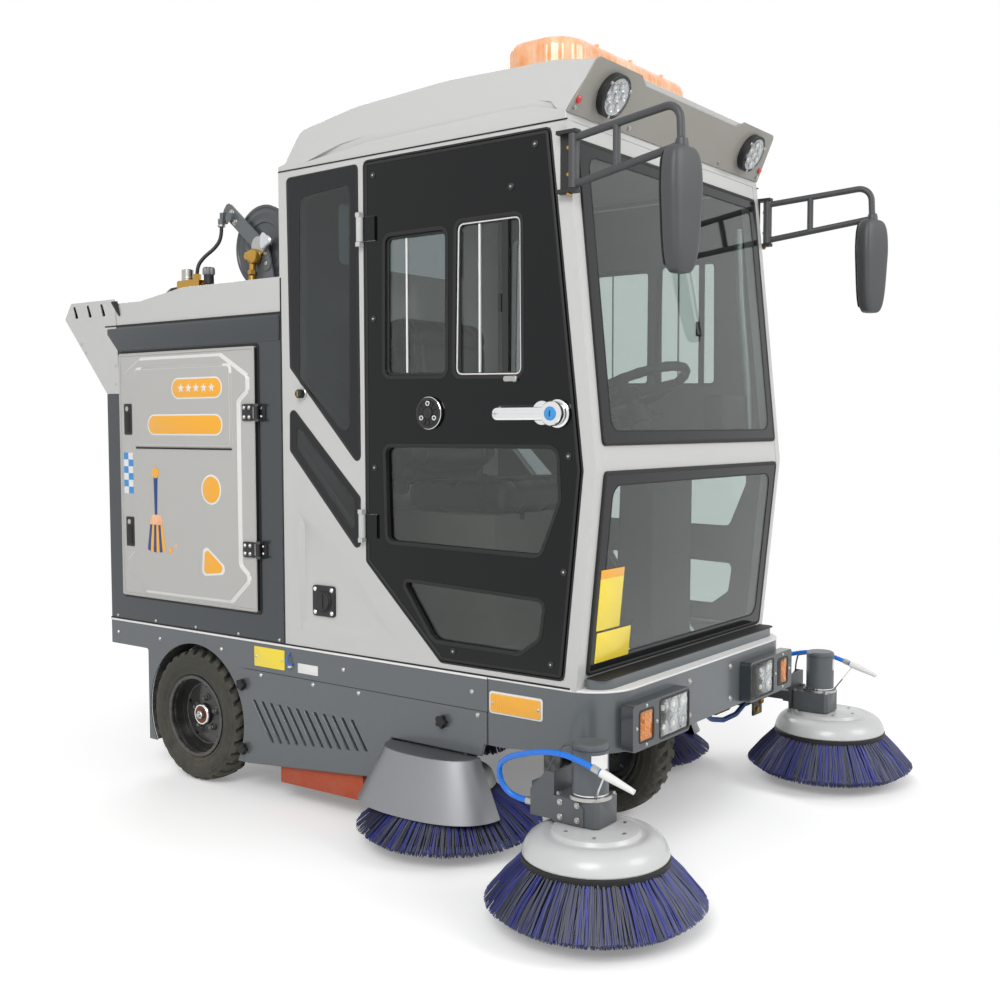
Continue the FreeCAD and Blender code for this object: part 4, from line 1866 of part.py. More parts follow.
def water_valves():
    """Valve block on the cover's slope with its hose port, pressure can, pipe and knob."""
    block = tool_body("valve_block")
    base = S.cover_front_z
    high = base + S.valve_rise
    pad(block, draw(block, "outline", Plane.SIDE, [[
        (S.valve_x0, cover_z(S.valve_x0) + S.running_gap), (S.valve_x1, cover_z(S.valve_x1) + S.running_gap),
        (S.valve_x1, high, 8), (S.valve_x0, high, 8)]], lift=S.valve_y), S.valve_width, symmetric=True)
    y = -S.valve_y
    foot = high - 4
    pipe_z = base + S.valve_pipe_rise
    port_top = base + S.valve_port_rise
    can_top = base + S.valve_can_rise
    port = (S.valve_port_x, S.valve_port_y, foot)
    pipe_start = S.valve_x1 - 4
    pieces = [block, rod("valve_port", S.valve_port, port_top - foot, port, "z"),
              rod("valve_can", S.valve_can, can_top - foot, (S.valve_x0 + 24, y, foot), "z"),
              rod("valve_pipe", S.valve_pipe, S.valve_pipe_x - pipe_start, (pipe_start, y, pipe_z), "x"),
              rod("valve_knob", S.valve_knob, can_top - pipe_z, (S.valve_knob_x, y, pipe_z), "z")]
    joined("water_valves", pieces)


def reel_hose():
    """Hose from the guide sleeve down to the valve block."""
    guide_y = S.reel_y - S.reel_half - S.reel_side_gap - S.reel_plate - S.guide_out
    end_z = S.cover_front_z + S.valve_port_rise
    hose("reel_hose", [
        (S.guide_x, guide_y, S.guide_low), (S.guide_x, guide_y, S.guide_low - 34), (-106, -335, end_z + 90),
        (-127, -364, end_z + 60), (S.valve_port_x, S.valve_port_y, end_z + 28),
        (S.valve_port_x, S.valve_port_y, end_z)], S.reel_hose_diameter)


reel_drum()
reel_stand()
water_valves()
reel_hose()

doc.recompute()

faults = []
for thing in doc.Objects:
    if any(word in state for state in thing.State for word in ("Invalid", "Error")):
        faults.append(thing.Name + " " + ",".join(thing.State))
for part in subparts:
    if part.Shape.isNull() or not part.Shape.isValid() or not part.Shape.Solids:
        faults.append(part.Label + " has a bad shape")
if faults:
    raise SystemExit("faults: " + "; ".join(faults))

for part in subparts:
    part.Shape.exportStep("parts/" + part.Label + ".step")
    bounds = part.Shape.optimalBoundingBox(False, False)
    print("%-24s solids %d  x %7.1f %7.1f  y %7.1f %7.1f  z %7.1f %7.1f" % (
        part.Label, len(part.Shape.Solids), bounds.XMin, bounds.XMax, bounds.YMin, bounds.YMax,
        bounds.ZMin, bounds.ZMax))
print("sub-parts", len(subparts))
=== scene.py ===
import json
import math
import bmesh
import bpy
import numpy as np
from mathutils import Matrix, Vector

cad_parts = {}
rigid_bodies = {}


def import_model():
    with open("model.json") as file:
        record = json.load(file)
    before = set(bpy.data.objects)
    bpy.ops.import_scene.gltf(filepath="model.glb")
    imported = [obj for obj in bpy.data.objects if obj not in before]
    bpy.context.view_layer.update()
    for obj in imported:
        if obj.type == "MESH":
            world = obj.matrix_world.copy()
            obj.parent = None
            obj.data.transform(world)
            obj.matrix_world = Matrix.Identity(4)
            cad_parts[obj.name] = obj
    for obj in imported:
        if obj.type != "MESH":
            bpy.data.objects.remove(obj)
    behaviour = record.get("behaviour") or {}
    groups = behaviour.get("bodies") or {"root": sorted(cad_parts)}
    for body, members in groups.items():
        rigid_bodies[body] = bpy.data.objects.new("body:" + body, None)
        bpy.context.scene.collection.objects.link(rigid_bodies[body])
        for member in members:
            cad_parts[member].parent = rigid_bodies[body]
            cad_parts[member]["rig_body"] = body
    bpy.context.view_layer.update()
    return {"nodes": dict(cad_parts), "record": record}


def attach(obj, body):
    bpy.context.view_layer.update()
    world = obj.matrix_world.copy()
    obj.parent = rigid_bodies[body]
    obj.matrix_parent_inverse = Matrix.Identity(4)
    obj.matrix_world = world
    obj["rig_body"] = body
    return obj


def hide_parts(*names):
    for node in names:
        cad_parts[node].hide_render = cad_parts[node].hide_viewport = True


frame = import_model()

nodes = frame["nodes"]
slot_of = {part["node"]: part["material_slot"] for part in frame["record"]["subparts"]}

# Lengths below are millimetres, and along x they are measured from the rear axle, as in the CAD source.
AXLE = -0.586
SIDES = ((-1, "right"), (1, "left"))
WHEEL_HEIGHT = 206
WHEELS = (("rear_%s_right", 0, -485.5, -1), ("rear_%s_left", 0, 485.5, 1), ("front_%s", 1181, 0, -1))
MIRROR_PIVOT = (1418.0, -535.0)
MIRROR_LEAN = math.radians(8.6)                               # of the arm, out from straight ahead
MIRROR_REACH = 312
MIRROR_FOOT = 1443
MIRROR_TALL = 271
ORIGIN = np.zeros(3)
SIDE = np.array([(1, 0, 0), (0, 0, 1), (0, -1, 0)], float)    # along, up, outwards on the right side
FRONT = np.array([(0, 1, 0), (0, 0, 1), (1, 0, 0)], float)    # across, up, forwards
BACK = np.array([(0, -1, 0), (0, 0, 1), (-1, 0, 0)], float)
TOP = np.eye(3)
ACROSS = np.array([(1, 0, 0), (0, 0, 1), (0, 1, 0)], float)   # as SIDE, but towards the left
draws = np.random.default_rng(7)


# Surfaces: arrays of points with lists of faces, all closed and turned outwards
def unit(vectors):
    """Each vector divided by its length."""
    vectors = np.asarray(vectors, float)
    return vectors / np.maximum(np.linalg.norm(vectors, axis=-1, keepdims=True), 1e-9)


def quads(rows, columns, along=False):
    """Faces of a grid of closed rings of points: each takes (i, j), (i, j+1), (i+1, j+1), (i+1, j); along joins the
    last ring to the first."""
    i = np.arange(rows if along else rows - 1)[:, None]
    j = np.arange(columns)[None, :]
    i2 = (i + 1) % rows
    j2 = (j + 1) % columns
    corners = np.broadcast_arrays(i * columns + j, i * columns + j2, i2 * columns + j2, i2 * columns + j)
    return np.stack(corners, -1).reshape(-1, 4)


def outwards(points, faces):
    """The surface with its faces turned outwards: they are reversed where their signed volume is below 0."""
    volume = 0
    for group in faces:
        first = points[group[:, 0]]
        for k in range(1, group.shape[1] - 1):
            volume += np.sum(first * np.cross(points[group[:, k]], points[group[:, k + 1]]))
    return points, (faces if volume > 0 else [group[:, ::-1] for group in faces])


def skin(grid, along=False):
    """Surface through rings of points, rows by columns by 3; the first and last rings are closed by caps, or joined
    to each other by along."""
    rows, columns = grid.shape[:2]
    faces = [quads(rows, columns, along=along)]
    if not along:
        ends = np.arange(columns)
        faces.append(np.stack([ends[::-1], ends + (rows - 1) * columns]))
    middle = grid.reshape(-1, 3).mean(0)
    points, faces = outwards(grid.reshape(-1, 3) - middle, faces)
    return points + middle, faces


def rounded(corners, radius=0.0, steps=5, loop=True):
    """Line through corners, each cut by an arc: from the point radius/tan(a) before the corner, where a is
    half its inner angle, round the centre radius/sin(a) away on the bisector, to the point as far after."""
    spots = np.array([tuple(c[:2]) if loop else tuple(c) for c in corners], float)
    radii = np.array([c[2] if loop and len(c) > 2 else radius for c in corners], float)
    before = np.roll(spots, 1, 0) - spots
    after = np.roll(spots, -1, 0) - spots
    reach = np.minimum(np.linalg.norm(before, axis=1), np.linalg.norm(after, axis=1)) * 0.49
    a = unit(before)
    b = unit(after)
    half = np.arccos(np.clip(np.sum(a * b, 1), -0.99999, 0.99999)) / 2
    back = np.minimum(radii / np.tan(half), reach)
    size = (back * np.tan(half))[:, None]
    centre = spots + unit(a + b) * size / np.sin(half)[:, None]
    start = spots + a * back[:, None] - centre
    end = spots + b * back[:, None] - centre
    turn = (math.pi - 2 * half)[:, None, None]
    t = np.linspace(0, 1, steps)[None, :, None]
    arc = (np.sin((1 - t) * turn) * start[:, None] + np.sin(t * turn) * end[:, None]) / np.sin(turn)
    arc = centre[:, None] + arc
    if loop:
        keep = np.where(radii > 0, steps, 1)
        return np.concatenate([arc[i] if keep[i] > 1 else spots[i:i + 1] for i in range(len(spots))])
    return np.concatenate([spots[:1]] + list(arc[1:-1]) + [spots[-1:]])


def inset(outline, distance):
    """Closed outline moved inwards: each point goes along the mitre of its two edges' normals."""
    edge = unit(np.roll(outline, -1, 0) - outline)
    normal = np.stack([-edge[:, 1], edge[:, 0]], 1)
    x, y = outline.T
    if np.sum(x * np.roll(y, -1) - y * np.roll(x, -1)) < 0:
        normal = -normal
    before = np.roll(normal, 1, 0)
    mitre = (normal + before) / np.maximum(1 + np.sum(normal * before, 1), 0.35)[:, None]
    return outline + mitre * distance


def on(plane, origin, flat, height):
    """Points (u, v) of a plane at a height along its third axis."""
    flat = np.asarray(flat, float)
    return origin + flat[:, :1] * plane[0] + flat[:, 1:2] * plane[1] + height * plane[2]


def slab(outline, layers, plane=SIDE, origin=ORIGIN):
    """Plate in layers, each an outline moved in by its first number at the height of its second."""
    return skin(np.stack([on(plane, origin, inset(outline, d), h) for d, h in layers]))


def eased(outline, low, high, edge=1.0, plane=SIDE, origin=ORIGIN):
    """Plate from low to high whose outer edge is eased by a quarter round."""
    return slab(outline, [(0, low), (0, high - edge), (edge * 0.3, high - edge * 0.3), (edge, high)], plane, origin)


def band(outline, section, plane=SIDE, origin=ORIGIN):
    """Closed ring along an outline, with a closed section of points (inwards, height)."""
    return skin(np.stack([on(plane, origin, inset(outline, d), h) for d, h in section]), along=True)


def turned(profile, origin, plane=TOP, sides=32, wave=None, closed=False):
    """Shape turned about the plane's third axis from a profile of points (radius, height). A closed profile makes a
    ring with a bore, and the ends of an open one get caps."""
    profile = np.array(profile, float)
    angle = np.linspace(0, 2 * math.pi, sides, endpoint=False)
    radius = np.maximum(profile[:, :1], 0.01) * (1 if wave is None else wave(angle, profile[:, 1:2]))
    return skin(origin + (radius * np.cos(angle))[..., None] * plane[0] + (radius * np.sin(angle))[..., None] * plane[1]
                + profile[:, 1][:, None, None] * plane[2], along=closed)


def tube(path, radius, sides=10, up=(0, 0, 1), loop=False):
    """Circle carried along a path; its two axes are up crossed with the path's direction, and the direction crossed
    with that."""
    path = np.asarray(path, float)
    if loop:
        ahead = unit(np.roll(path, -1, 0) - np.roll(path, 1, 0))
    else:
        ahead = unit(np.gradient(path, axis=0))
    across = unit(np.cross(np.asarray(up, float), ahead))
    over = np.cross(ahead, across)
    angle = np.linspace(0, 2 * math.pi, sides, endpoint=False)
    ring = np.stack([np.cos(angle), np.sin(angle)], 1)
    size = np.broadcast_to(np.asarray(radius, float), len(path))[:, None, None]
    grid = path[:, None] + size * (ring[None, :, :1] * across[:, None] + ring[None, :, 1:] * over[:, None])
    return skin(grid, along=loop)


def block(low, high):
    """Box between two corners."""
    low, high = np.minimum(low, high), np.maximum(low, high)
    flat = [(low[0], low[1]), (high[0], low[1]), (high[0], high[1]), (low[0], high[1])]
    return skin(np.stack([on(TOP, ORIGIN, flat, low[2]), on(TOP, ORIGIN, flat, high[2])]))


def copies(surface, spots):
    """The surface repeated at each spot."""
    points, faces = surface
    spots = np.asarray(spots, float)
    many = points[None] + spots[:, None]
    shift = (np.arange(len(spots)) * len(points))[:, None, None]
    return many.reshape(-1, 3), [(group[None] + shift).reshape(-1, group.shape[1]) for group in faces]


def circle(centre, radius, steps=32, start=0.0):
    """Points of a circle in a plane."""
    angle = np.linspace(0, 2 * math.pi, steps, endpoint=False) + start
    return np.stack([centre[0] + radius * np.cos(angle), centre[1] + radius * np.sin(angle)], 1)


def screw(plane, radius=5.0, height=3.5, hexagon=True):
    """Screw head on a washer, at the origin of its plane."""
    corners = circle((0, 0), radius, 6 if hexagon else 14)
    points, faces = slab(circle((0, 0), radius * 1.45, 14), [(0, -0.5), (0, 0.8), (0.4, 1.2)], plane)
    head = slab(corners, [(0, 1), (0, height - 0.9), (0.9, height)], plane)
    return np.concatenate([points, head[0]]), faces + [group + len(points) for group in head[1]]


class Form:
    """One piece while it is put together: its surfaces, their paints and a shade from 0 to 1 for each point."""

    def __init__(self):
        self.points = []
        self.shades = []
        self.faces = []
        self.count = 0

    def add(self, surface, paint=0, smooth=True, shade=0.0):
        points, faces = surface
        for group in faces:
            self.faces.append((group + self.count, paint, smooth))
        self.points.append(points)
        self.shades.append(np.broadcast_to(np.asarray(shade, float), len(points)))
        self.count += len(points)
        return self

    def screws(self, plane, radius, height, spots, paint, hexagon=True):
        """Adds a screw head at each spot."""
        return self.add(copies(screw(plane, radius, height, hexagon), spots), paint, False)

    def mirrored(self):
        """The piece on the other side of the machine."""
        other = Form()
        other.points = [points * (1, -1, 1) for points in self.points]
        other.faces = [(group[:, ::-1], paint, smooth) for group, paint, smooth in self.faces]
        other.shades = self.shades
        other.count = self.count
        return other


def bevelled(thing, width):
    """Bevel of a width in millimetres on the edges sharper than 35 degrees."""
    bevel = thing.modifiers.new("eased", "BEVEL")
    bevel.width = width * 0.001
    bevel.segments = 2
    bevel.limit_method = "ANGLE"
    bevel.angle_limit = math.radians(35)
    bevel.harden_normals = True
    bevel.use_clamp_overlap = True


def linked(name, data):
    """New object of a mesh, curve, lamp or camera in the scene."""
    thing = bpy.data.objects.new(name, data)
    bpy.context.scene.collection.objects.link(thing)
    return thing


def dressed(name, mesh, paints, bevel):
    """Object of a mesh with its paints; edges sharper than 34 degrees stay sharp, and the rest is shaded smooth."""
    for paint in paints if isinstance(paints, (list, tuple)) else [paints]:
        mesh.materials.append(paint)
    mesh.set_sharp_from_angle(angle=math.radians(34))
    thing = linked(name, mesh)
    if bevel:
        bevelled(thing, bevel)
    return thing


def piece(name, form, paints, body, slot=None, bevel=0.0, replaces=()):
    """Makes a form into an object of the frame that rides on a body."""
    points = np.concatenate(form.points) * 0.001 + (AXLE, 0, 0)
    loops = np.concatenate([group.ravel() for group, _, _ in form.faces])
    sizes = np.concatenate([np.full(len(group), group.shape[1]) for group, _, _ in form.faces])
    mesh = bpy.data.meshes.new(name)
    mesh.vertices.add(len(points))
    mesh.vertices.foreach_set("co", points.astype(np.float32).ravel())
    mesh.loops.add(len(loops))
    mesh.loops.foreach_set("vertex_index", loops.astype(np.int32))
    mesh.polygons.add(len(sizes))
    mesh.polygons.foreach_set("loop_start", np.concatenate([[0], np.cumsum(sizes)[:-1]]).astype(np.int32))
    mesh.polygons.foreach_set("material_index", np.concatenate(
        [np.full(len(group), paint) for group, paint, _ in form.faces]).astype(np.int32))
    mesh.polygons.foreach_set("use_smooth", np.concatenate(
        [np.full(len(group), smooth) for group, _, smooth in form.faces]))
    mesh.update(calc_edges=True)
    shade = mesh.attributes.new("shade", "FLOAT", "POINT")
    shade.data.foreach_set("value", np.concatenate(form.shades).astype(np.float32))
    thing = dressed(name, mesh, paints, bevel)
    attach(thing, body)
    if replaces:
        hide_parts(*replaces)


def pair(name, form, paints, body, slot=None, bevel=0.0):
    """The piece on both sides of the machine; the form is the right side's, and body takes the side's name."""
    for side, word in SIDES:
        shape = form if side < 0 else form.mirrored()
        piece("%s_%s" % (name, word), shape, paints, body % word if "%" in body else body, slot, bevel)


def detail(maker, *facts, **more):
    """Decorator that runs a function on an empty form and makes the form the piece, or pair, of the function's name."""
    def run(build):
        form = Form()
        build(form)
        maker(build.__name__, form, *facts, **more)
    return run


def finished(node, paints, bevel=1.2, regions=None, keep=None):
    """The CAD node's own shape with eased edges: doubles merged, flat faces joined and a Bevel on its edges.
    regions gives each face's paint from its centre and normal, and keep drops the faces it is false for."""
    bm = bmesh.new()
    bm.from_mesh(nodes[node].data)
    bmesh.ops.remove_doubles(bm, verts=bm.verts, dist=0.00002)
    mesh = bpy.data.meshes.new(node + "_finished")
    bm.to_mesh(mesh)
    if keep is not None:
        centres, normals = face_facts(mesh)
        bm.faces.ensure_lookup_table()
        gone = [bm.faces[i] for i in np.flatnonzero(~keep(centres, normals))]
        bmesh.ops.delete(bm, geom=gone, context="FACES")
    bmesh.ops.dissolve_limit(bm, angle_limit=math.radians(0.6), verts=bm.verts, edges=bm.edges)
    bm.to_mesh(mesh)
    bm.free()
    if "custom_normal" in mesh.attributes:
        mesh.attributes.remove(mesh.attributes["custom_normal"])
    mesh.materials.clear()
    mesh.polygons.foreach_set("use_smooth", np.ones(len(mesh.polygons), bool))
    places = np.zeros(len(mesh.polygons), np.int32)
    if regions is not None:
        places = regions(*face_facts(mesh)).astype(np.int32)
    mesh.polygons.foreach_set("material_index", places)
    thing = dressed(node + "_finished", mesh, paints, bevel)
    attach(thing, nodes[node]["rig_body"])
    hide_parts(node)


def values_of(items, key):
    """Property of three numbers, of all points or faces of a mesh, as an array."""
    values = np.zeros(len(items) * 3)
    items.foreach_get(key, values)
    return values.reshape(-1, 3)


def face_facts(mesh):
    """Centres, in millimetres from the rear axle, and normals of a mesh's faces."""
    return (values_of(mesh.polygons, "center") - (AXLE, 0, 0)) * 1000, values_of(mesh.polygons, "normal")


# Finishes
def linear(*levels):
    """Colour levels from 0 to 255 as the shader's values: each divided by 255 and raised to 2.2."""
    return tuple((level / 255) ** 2.2 for level in levels) + (1.0,)


def fill(tree, made, sockets):
    """Gives a shader node's inputs their values, or links what makes them."""
    for key, value in sockets.items():
        if isinstance(value, bpy.types.NodeSocket):
            tree.links.new(value, made.inputs[key])
        else:
            made.inputs[key].default_value = value


def node(tree, kind, sockets=None, **settings):
    """Adds a shader node; sockets gives its inputs' values or what is linked into them."""
    made = tree.nodes.new("ShaderNode" + kind)
    for key, value in settings.items():
        setattr(made, key, value)
    fill(tree, made, sockets or {})
    return made


def group(name, inputs, outputs):
    """Empty node group with named sockets, and its input and output nodes."""
    tree = bpy.data.node_groups.new(name, "ShaderNodeTree")
    kinds = {float: "NodeSocketFloat", tuple: "NodeSocketColor"}
    for label, value in inputs.items():
        socket = tree.interface.new_socket(label, in_out="INPUT", socket_type=kinds[type(value)])
        socket.default_value = value
    for label, kind in outputs.items():
        tree.interface.new_socket(label, in_out="OUTPUT", socket_type=kinds[kind])
    return tree, tree.nodes.new("NodeGroupInput").outputs, tree.nodes.new("NodeGroupOutput")


def math_of(tree, operation, a, b=0.0, c=0.0, clamp=False):
    """Result of a Math node."""
    return node(tree, "Math", {0: a, 1: b, 2: c}, operation=operation, use_clamp=clamp).outputs[0]


def noise(tree, place, scale, detail=2.0, roughness=0.5):
    """Noise from 0 to 1 at a scale per metre."""
    return node(tree, "TexNoise", {"Vector": place, "Scale": scale, "Detail": detail,
                                   "Roughness": roughness}).outputs[0]


def ranged(tree, value, low, high, out_low=0.0, out_high=1.0):
    """Value moved from one range to another, and kept inside it."""
    return node(tree, "MapRange", {0: value, 1: low, 2: high, 3: out_low, 4: out_high}).outputs[0]


def mixed(tree, factor, a, b, kind="MIX"):
    """Colour between two colours."""
    return node(tree, "Mix", {0: factor, 6: a, 7: b}, data_type="RGBA", blend_type=kind).outputs[2]


def toned(tree, colour, share, drift):
    """Colour made lighter or darker by a value around 0, times its drift."""
    tone = math_of(tree, "MULTIPLY_ADD", share, drift, 1.0)
    return mixed(tree, 1.0, colour, node(tree, "CombineColor", {0: tone, 1: tone, 2: tone}).outputs[0], "MULTIPLY")


def own_place(tree):
    """Point's place in the object."""
    return node(tree, "TexCoord").outputs["Object"]


def stretched(tree, place, scale):
    """Place scaled along each axis."""
    return node(tree, "Mapping", {0: place, 3: scale}).outputs[0]


def paint_grain():
    """Slow drift of the colour, smears of the gloss and the fine ripple of a sprayed or moulded surface."""
    tree, given, out = group("paint_grain", {"Colour": (0.5, 0.5, 0.5, 1.0), "Rough": 0.3, "Drift": 0.06,
                                             "Smear": 0.1, "Grain": 300.0},
                             {"Colour": tuple, "Roughness": float, "Height": float})
    place = own_place(tree)
    slow = noise(tree, place, 2.6, 3.0)
    fine = noise(tree, place, 40.0, 4.0, 0.65)
    both = math_of(tree, "SUBTRACT", math_of(tree, "ADD", slow, fine), 1.0)
    smear = noise(tree, stretched(tree, place, (1.0, 1.0, 0.35)), 11.0, 5.0, 0.7)
    offset = math_of(tree, "MULTIPLY", math_of(tree, "SUBTRACT", smear, 0.42), given["Smear"])
    fill(tree, out, {0: toned(tree, given["Colour"], both, given["Drift"]),
                     1: math_of(tree, "ADD", given["Rough"], offset, clamp=True),
                     2: noise(tree, place, given["Grain"], 1.0)})
    return tree


def road_dust():
    """Dust that lies thickest near the ground and on upward faces, broken up by noise."""
    tree, given, out = group("road_dust", {"Colour": (0.5, 0.5, 0.5, 1.0), "Dust": linear(148, 140, 124),
                                           "Amount": 0.3, "Reach": 0.6}, {"Colour": tuple, "Mask": float})
    place = own_place(tree)
    axes = node(tree, "SeparateXYZ", {0: place}).outputs
    low = math_of(tree, "SUBTRACT", 1.0, math_of(tree, "DIVIDE", axes[2], given["Reach"]), clamp=True)
    upward = node(tree, "SeparateXYZ", {0: node(tree, "NewGeometry").outputs["Normal"]}).outputs[2]
    lying = ranged(tree, upward, 0.3, 1.0, 0.0, 0.45)
    broken = ranged(tree, noise(tree, place, 23.0, 7.0, 0.72), 0.36, 0.68)
    mask = math_of(tree, "MULTIPLY", math_of(tree, "ADD", math_of(tree, "POWER", low, 1.6), lying), broken)
    mask = math_of(tree, "MULTIPLY", mask, given["Amount"], clamp=True)
    fill(tree, out, {0: mixed(tree, mask, given["Colour"], given["Dust"]), 1: mask})
    return tree


def edge_wear():
    """Mask of convex edges, from the mesh's own curvature, broken up by noise: lighter edges that are partly rubbed
    wear and partly a painted edge highlight.
    """
    tree, given, out = group("edge_wear", {"Colour": (0.5, 0.5, 0.5, 1.0), "Bare": (0.6, 0.6, 0.6, 1.0),
                                           "Amount": 0.3}, {"Colour": tuple})
    edge = ranged(tree, node(tree, "NewGeometry").outputs["Pointiness"], 0.515, 0.6)
    broken = ranged(tree, noise(tree, own_place(tree), 55.0, 5.0, 0.7), 0.42, 0.62)
    mask = math_of(tree, "MULTIPLY", math_of(tree, "MULTIPLY", edge, broken), given["Amount"])
    fill(tree, out, {0: mixed(tree, mask, given["Colour"], given["Bare"])})
    return tree


def brushing():
    """Streaks of rolled or brushed metal: noise drawn out along z, with broad bands across them."""
    tree, given, out = group("brushing", {"Colour": (0.6, 0.6, 0.6, 1.0), "Along": 3.0, "Across": 300.0,
                                          "Bands": 9.0, "Drift": 0.2},
                             {"Colour": tuple, "Height": float, "Rough": float})
    place = own_place(tree)
    scale = node(tree, "CombineXYZ", {0: given["Across"], 1: given["Across"], 2: given["Along"]}).outputs[0]
    streak = noise(tree, stretched(tree, place, scale), 1.0, 3.0, 0.6)
    bands = noise(tree, stretched(tree, place, (1.0, 1.0, 0.12)), given["Bands"], 2.0, 0.6)
    both = math_of(tree, "SUBTRACT", math_of(tree, "ADD", math_of(tree, "MULTIPLY", streak, 0.5), bands), 0.75)
    fill(tree, out, {0: toned(tree, given["Colour"], both, given["Drift"]), 1: streak,
                     2: ranged(tree, both, -0.4, 0.4, 0.24, 0.46)})
    return tree


def pebble():
    """Pebbled grain of vinyl, moulded plastic or rubber: rounded cells with fine noise over them."""
    tree, given, out = group("pebble", {"Cells": 500.0, "Fine": 1500.0}, {"Height": float})
    place = own_place(tree)
    cells = node(tree, "TexVoronoi", {"Vector": place, "Scale": given["Cells"]}, feature="F1").outputs["Distance"]
    fine = noise(tree, place, given["Fine"], 2.0)
    fill(tree, out, {0: math_of(tree, "MULTIPLY_ADD", fine, 0.3, math_of(tree, "POWER", cells, 1.5))})
    return tree


GRAIN, DUST, WEAR_AND_HIGHLIGHT, BRUSHED, PEBBLE = paint_grain(), road_dust(), edge_wear(), brushing(), pebble()


def placed(tree, shared, **sockets):
    """Outputs of a shared group placed in a material."""
    return node(tree, "Group", sockets, node_tree=shared).outputs


def blank(name):
    """New material, its tree and its shader."""
    made = bpy.data.materials.new(name)
    made.use_nodes = True
    return made, made.node_tree, made.node_tree.nodes["Principled BSDF"]


def bump(tree, shader, height, strength, distance=0.001):
    """Bump into the shader's normal."""
    lift = node(tree, "Bump", {"Height": height, "Strength": strength, "Distance": distance})
    fill(tree, shader, {"Normal": lift.outputs[0]})


def painted(name, colour, rough=0.32, metal=0.0, coat=0.0, drift=0.05, smear=0.12, ripple=0.06,
            dust=0.0, reach=0.6, wear=0.0, cells=0.0, worn_lit_edge=(200, 198, 192), shine=0.5):
    """Sprayed paint, or moulded plastic and rubber where cells gives a pebble's scale."""
    made, tree, shader = blank(name)
    base = placed(tree, GRAIN, Colour=linear(*colour), Rough=rough, Drift=drift, Smear=smear, Grain=260.0)
    shown, gloss = base["Colour"], base["Roughness"]
    # edges lightened toward the edge colour: rubbed wear and a painted edge highlight
    if wear:
        shown = placed(tree, WEAR_AND_HIGHLIGHT, Colour=shown, Bare=linear(*worn_lit_edge), Amount=wear)[0]
    if dust:
        dusted = placed(tree, DUST, Colour=shown, Amount=dust, Reach=reach)
        shown = dusted["Colour"]
        gloss = math_of(tree, "MULTIPLY_ADD", dusted["Mask"], 0.5, gloss, clamp=True)
    fill(tree, shader, {"Base Color": shown, "Roughness": gloss, "Metallic": metal, "Coat Weight": coat,
                        "Specular IOR Level": shine, "Coat Roughness": 0.06})
    height = placed(tree, PEBBLE, Cells=cells, Fine=cells * 3)[0] if cells else base["Height"]
    bump(tree, shader, height, 0.18 if cells else ripple, 0.0005 if cells else 0.001)
    return made


def metal_of(name, colour, rough=0.3, along=3.0, across=300.0, bands=9.0, drift=0.2, dust=0.0):
    """Bare metal with brushed streaks."""
    made, tree, shader = blank(name)
    base = placed(tree, BRUSHED, Colour=linear(*colour), Along=along, Across=across, Bands=bands, Drift=drift)
    shown = base["Colour"]
    if dust:
        shown = placed(tree, DUST, Colour=shown, Amount=dust)["Colour"]
    fill(tree, shader, {"Base Color": shown, "Metallic": 1.0,
                        "Roughness": math_of(tree, "ADD", base["Rough"], rough - 0.35, clamp=True)})
    bump(tree, shader, base["Height"], 0.12, 0.0004)
    return made


def glass(name, colour, rough=0.0, smear=0.03):
    """Clear or tinted pane with faint smears."""
    made, tree, shader = blank(name)
    base = placed(tree, GRAIN, Colour=linear(*colour), Rough=rough, Drift=0.03, Smear=smear, Grain=3.0)
    fill(tree, shader, {"Base Color": base["Colour"], "Roughness": base["Roughness"], "Transmission Weight": 1.0,
                        "IOR": 1.45})
    bump(tree, shader, base["Height"], 0.02)
    return made


def lit(name, colour, glow):
    """LED chip or lamp part that shines faintly."""
    made = painted(name, colour, rough=0.25)
    fill(made.node_tree, made.node_tree.nodes["Principled BSDF"],
         {"Emission Color": linear(*colour), "Emission Strength": glow})
    return made


def tinted(name, dark, light, rough, spread, dust):
    """Strands whose colour runs from dark to light with the piece's own shade attribute."""
    made, tree, shader = blank(name)
    shade = node(tree, "Attribute", attribute_name="shade").outputs["Fac"]
    place = own_place(tree)
    speck = math_of(tree, "SUBTRACT", noise(tree, place, 260.0, 3.0), 0.5)
    factor = math_of(tree, "MULTIPLY_ADD", speck, spread, shade, clamp=True)
    shown = mixed(tree, factor, linear(*dark), linear(*light))
    dusted = placed(tree, DUST, Colour=shown, Amount=dust, Reach=0.5)["Colour"]
    fill(tree, shader, {"Base Color": dusted, "Roughness": rough})
    bump(tree, shader, noise(tree, place, 900.0, 1.0), 0.1, 0.0005)
    return made


def speckled(name, deep, pale):
    """Moulded lamp lens: pale clouds, partly the reflectors seen through it and partly painted highlight, and fine
    vertical streaks over a deep colour, under a clear coat.
    """
    made, tree, shader = blank(name)
    place = own_place(tree)
    # pale clouds: partly painted highlight, partly the reflectors inside the lens
    highlight_clouds = noise(tree, place, 9.0, 4.0, 0.7)
    streaks = noise(tree, stretched(tree, place, (90.0, 90.0, 6.0)), 1.0, 2.0)
    factor = ranged(tree, math_of(tree, "ADD", highlight_clouds, math_of(tree, "MULTIPLY", streaks, 0.5)), 0.56, 0.98)
    fill(tree, shader, {"Base Color": mixed(tree, factor, linear(*deep), linear(*pale)), "Roughness": 0.22,
                        "Coat Weight": 0.6})
    bump(tree, shader, noise(tree, place, 180.0, 2.0), 0.1)
    return made


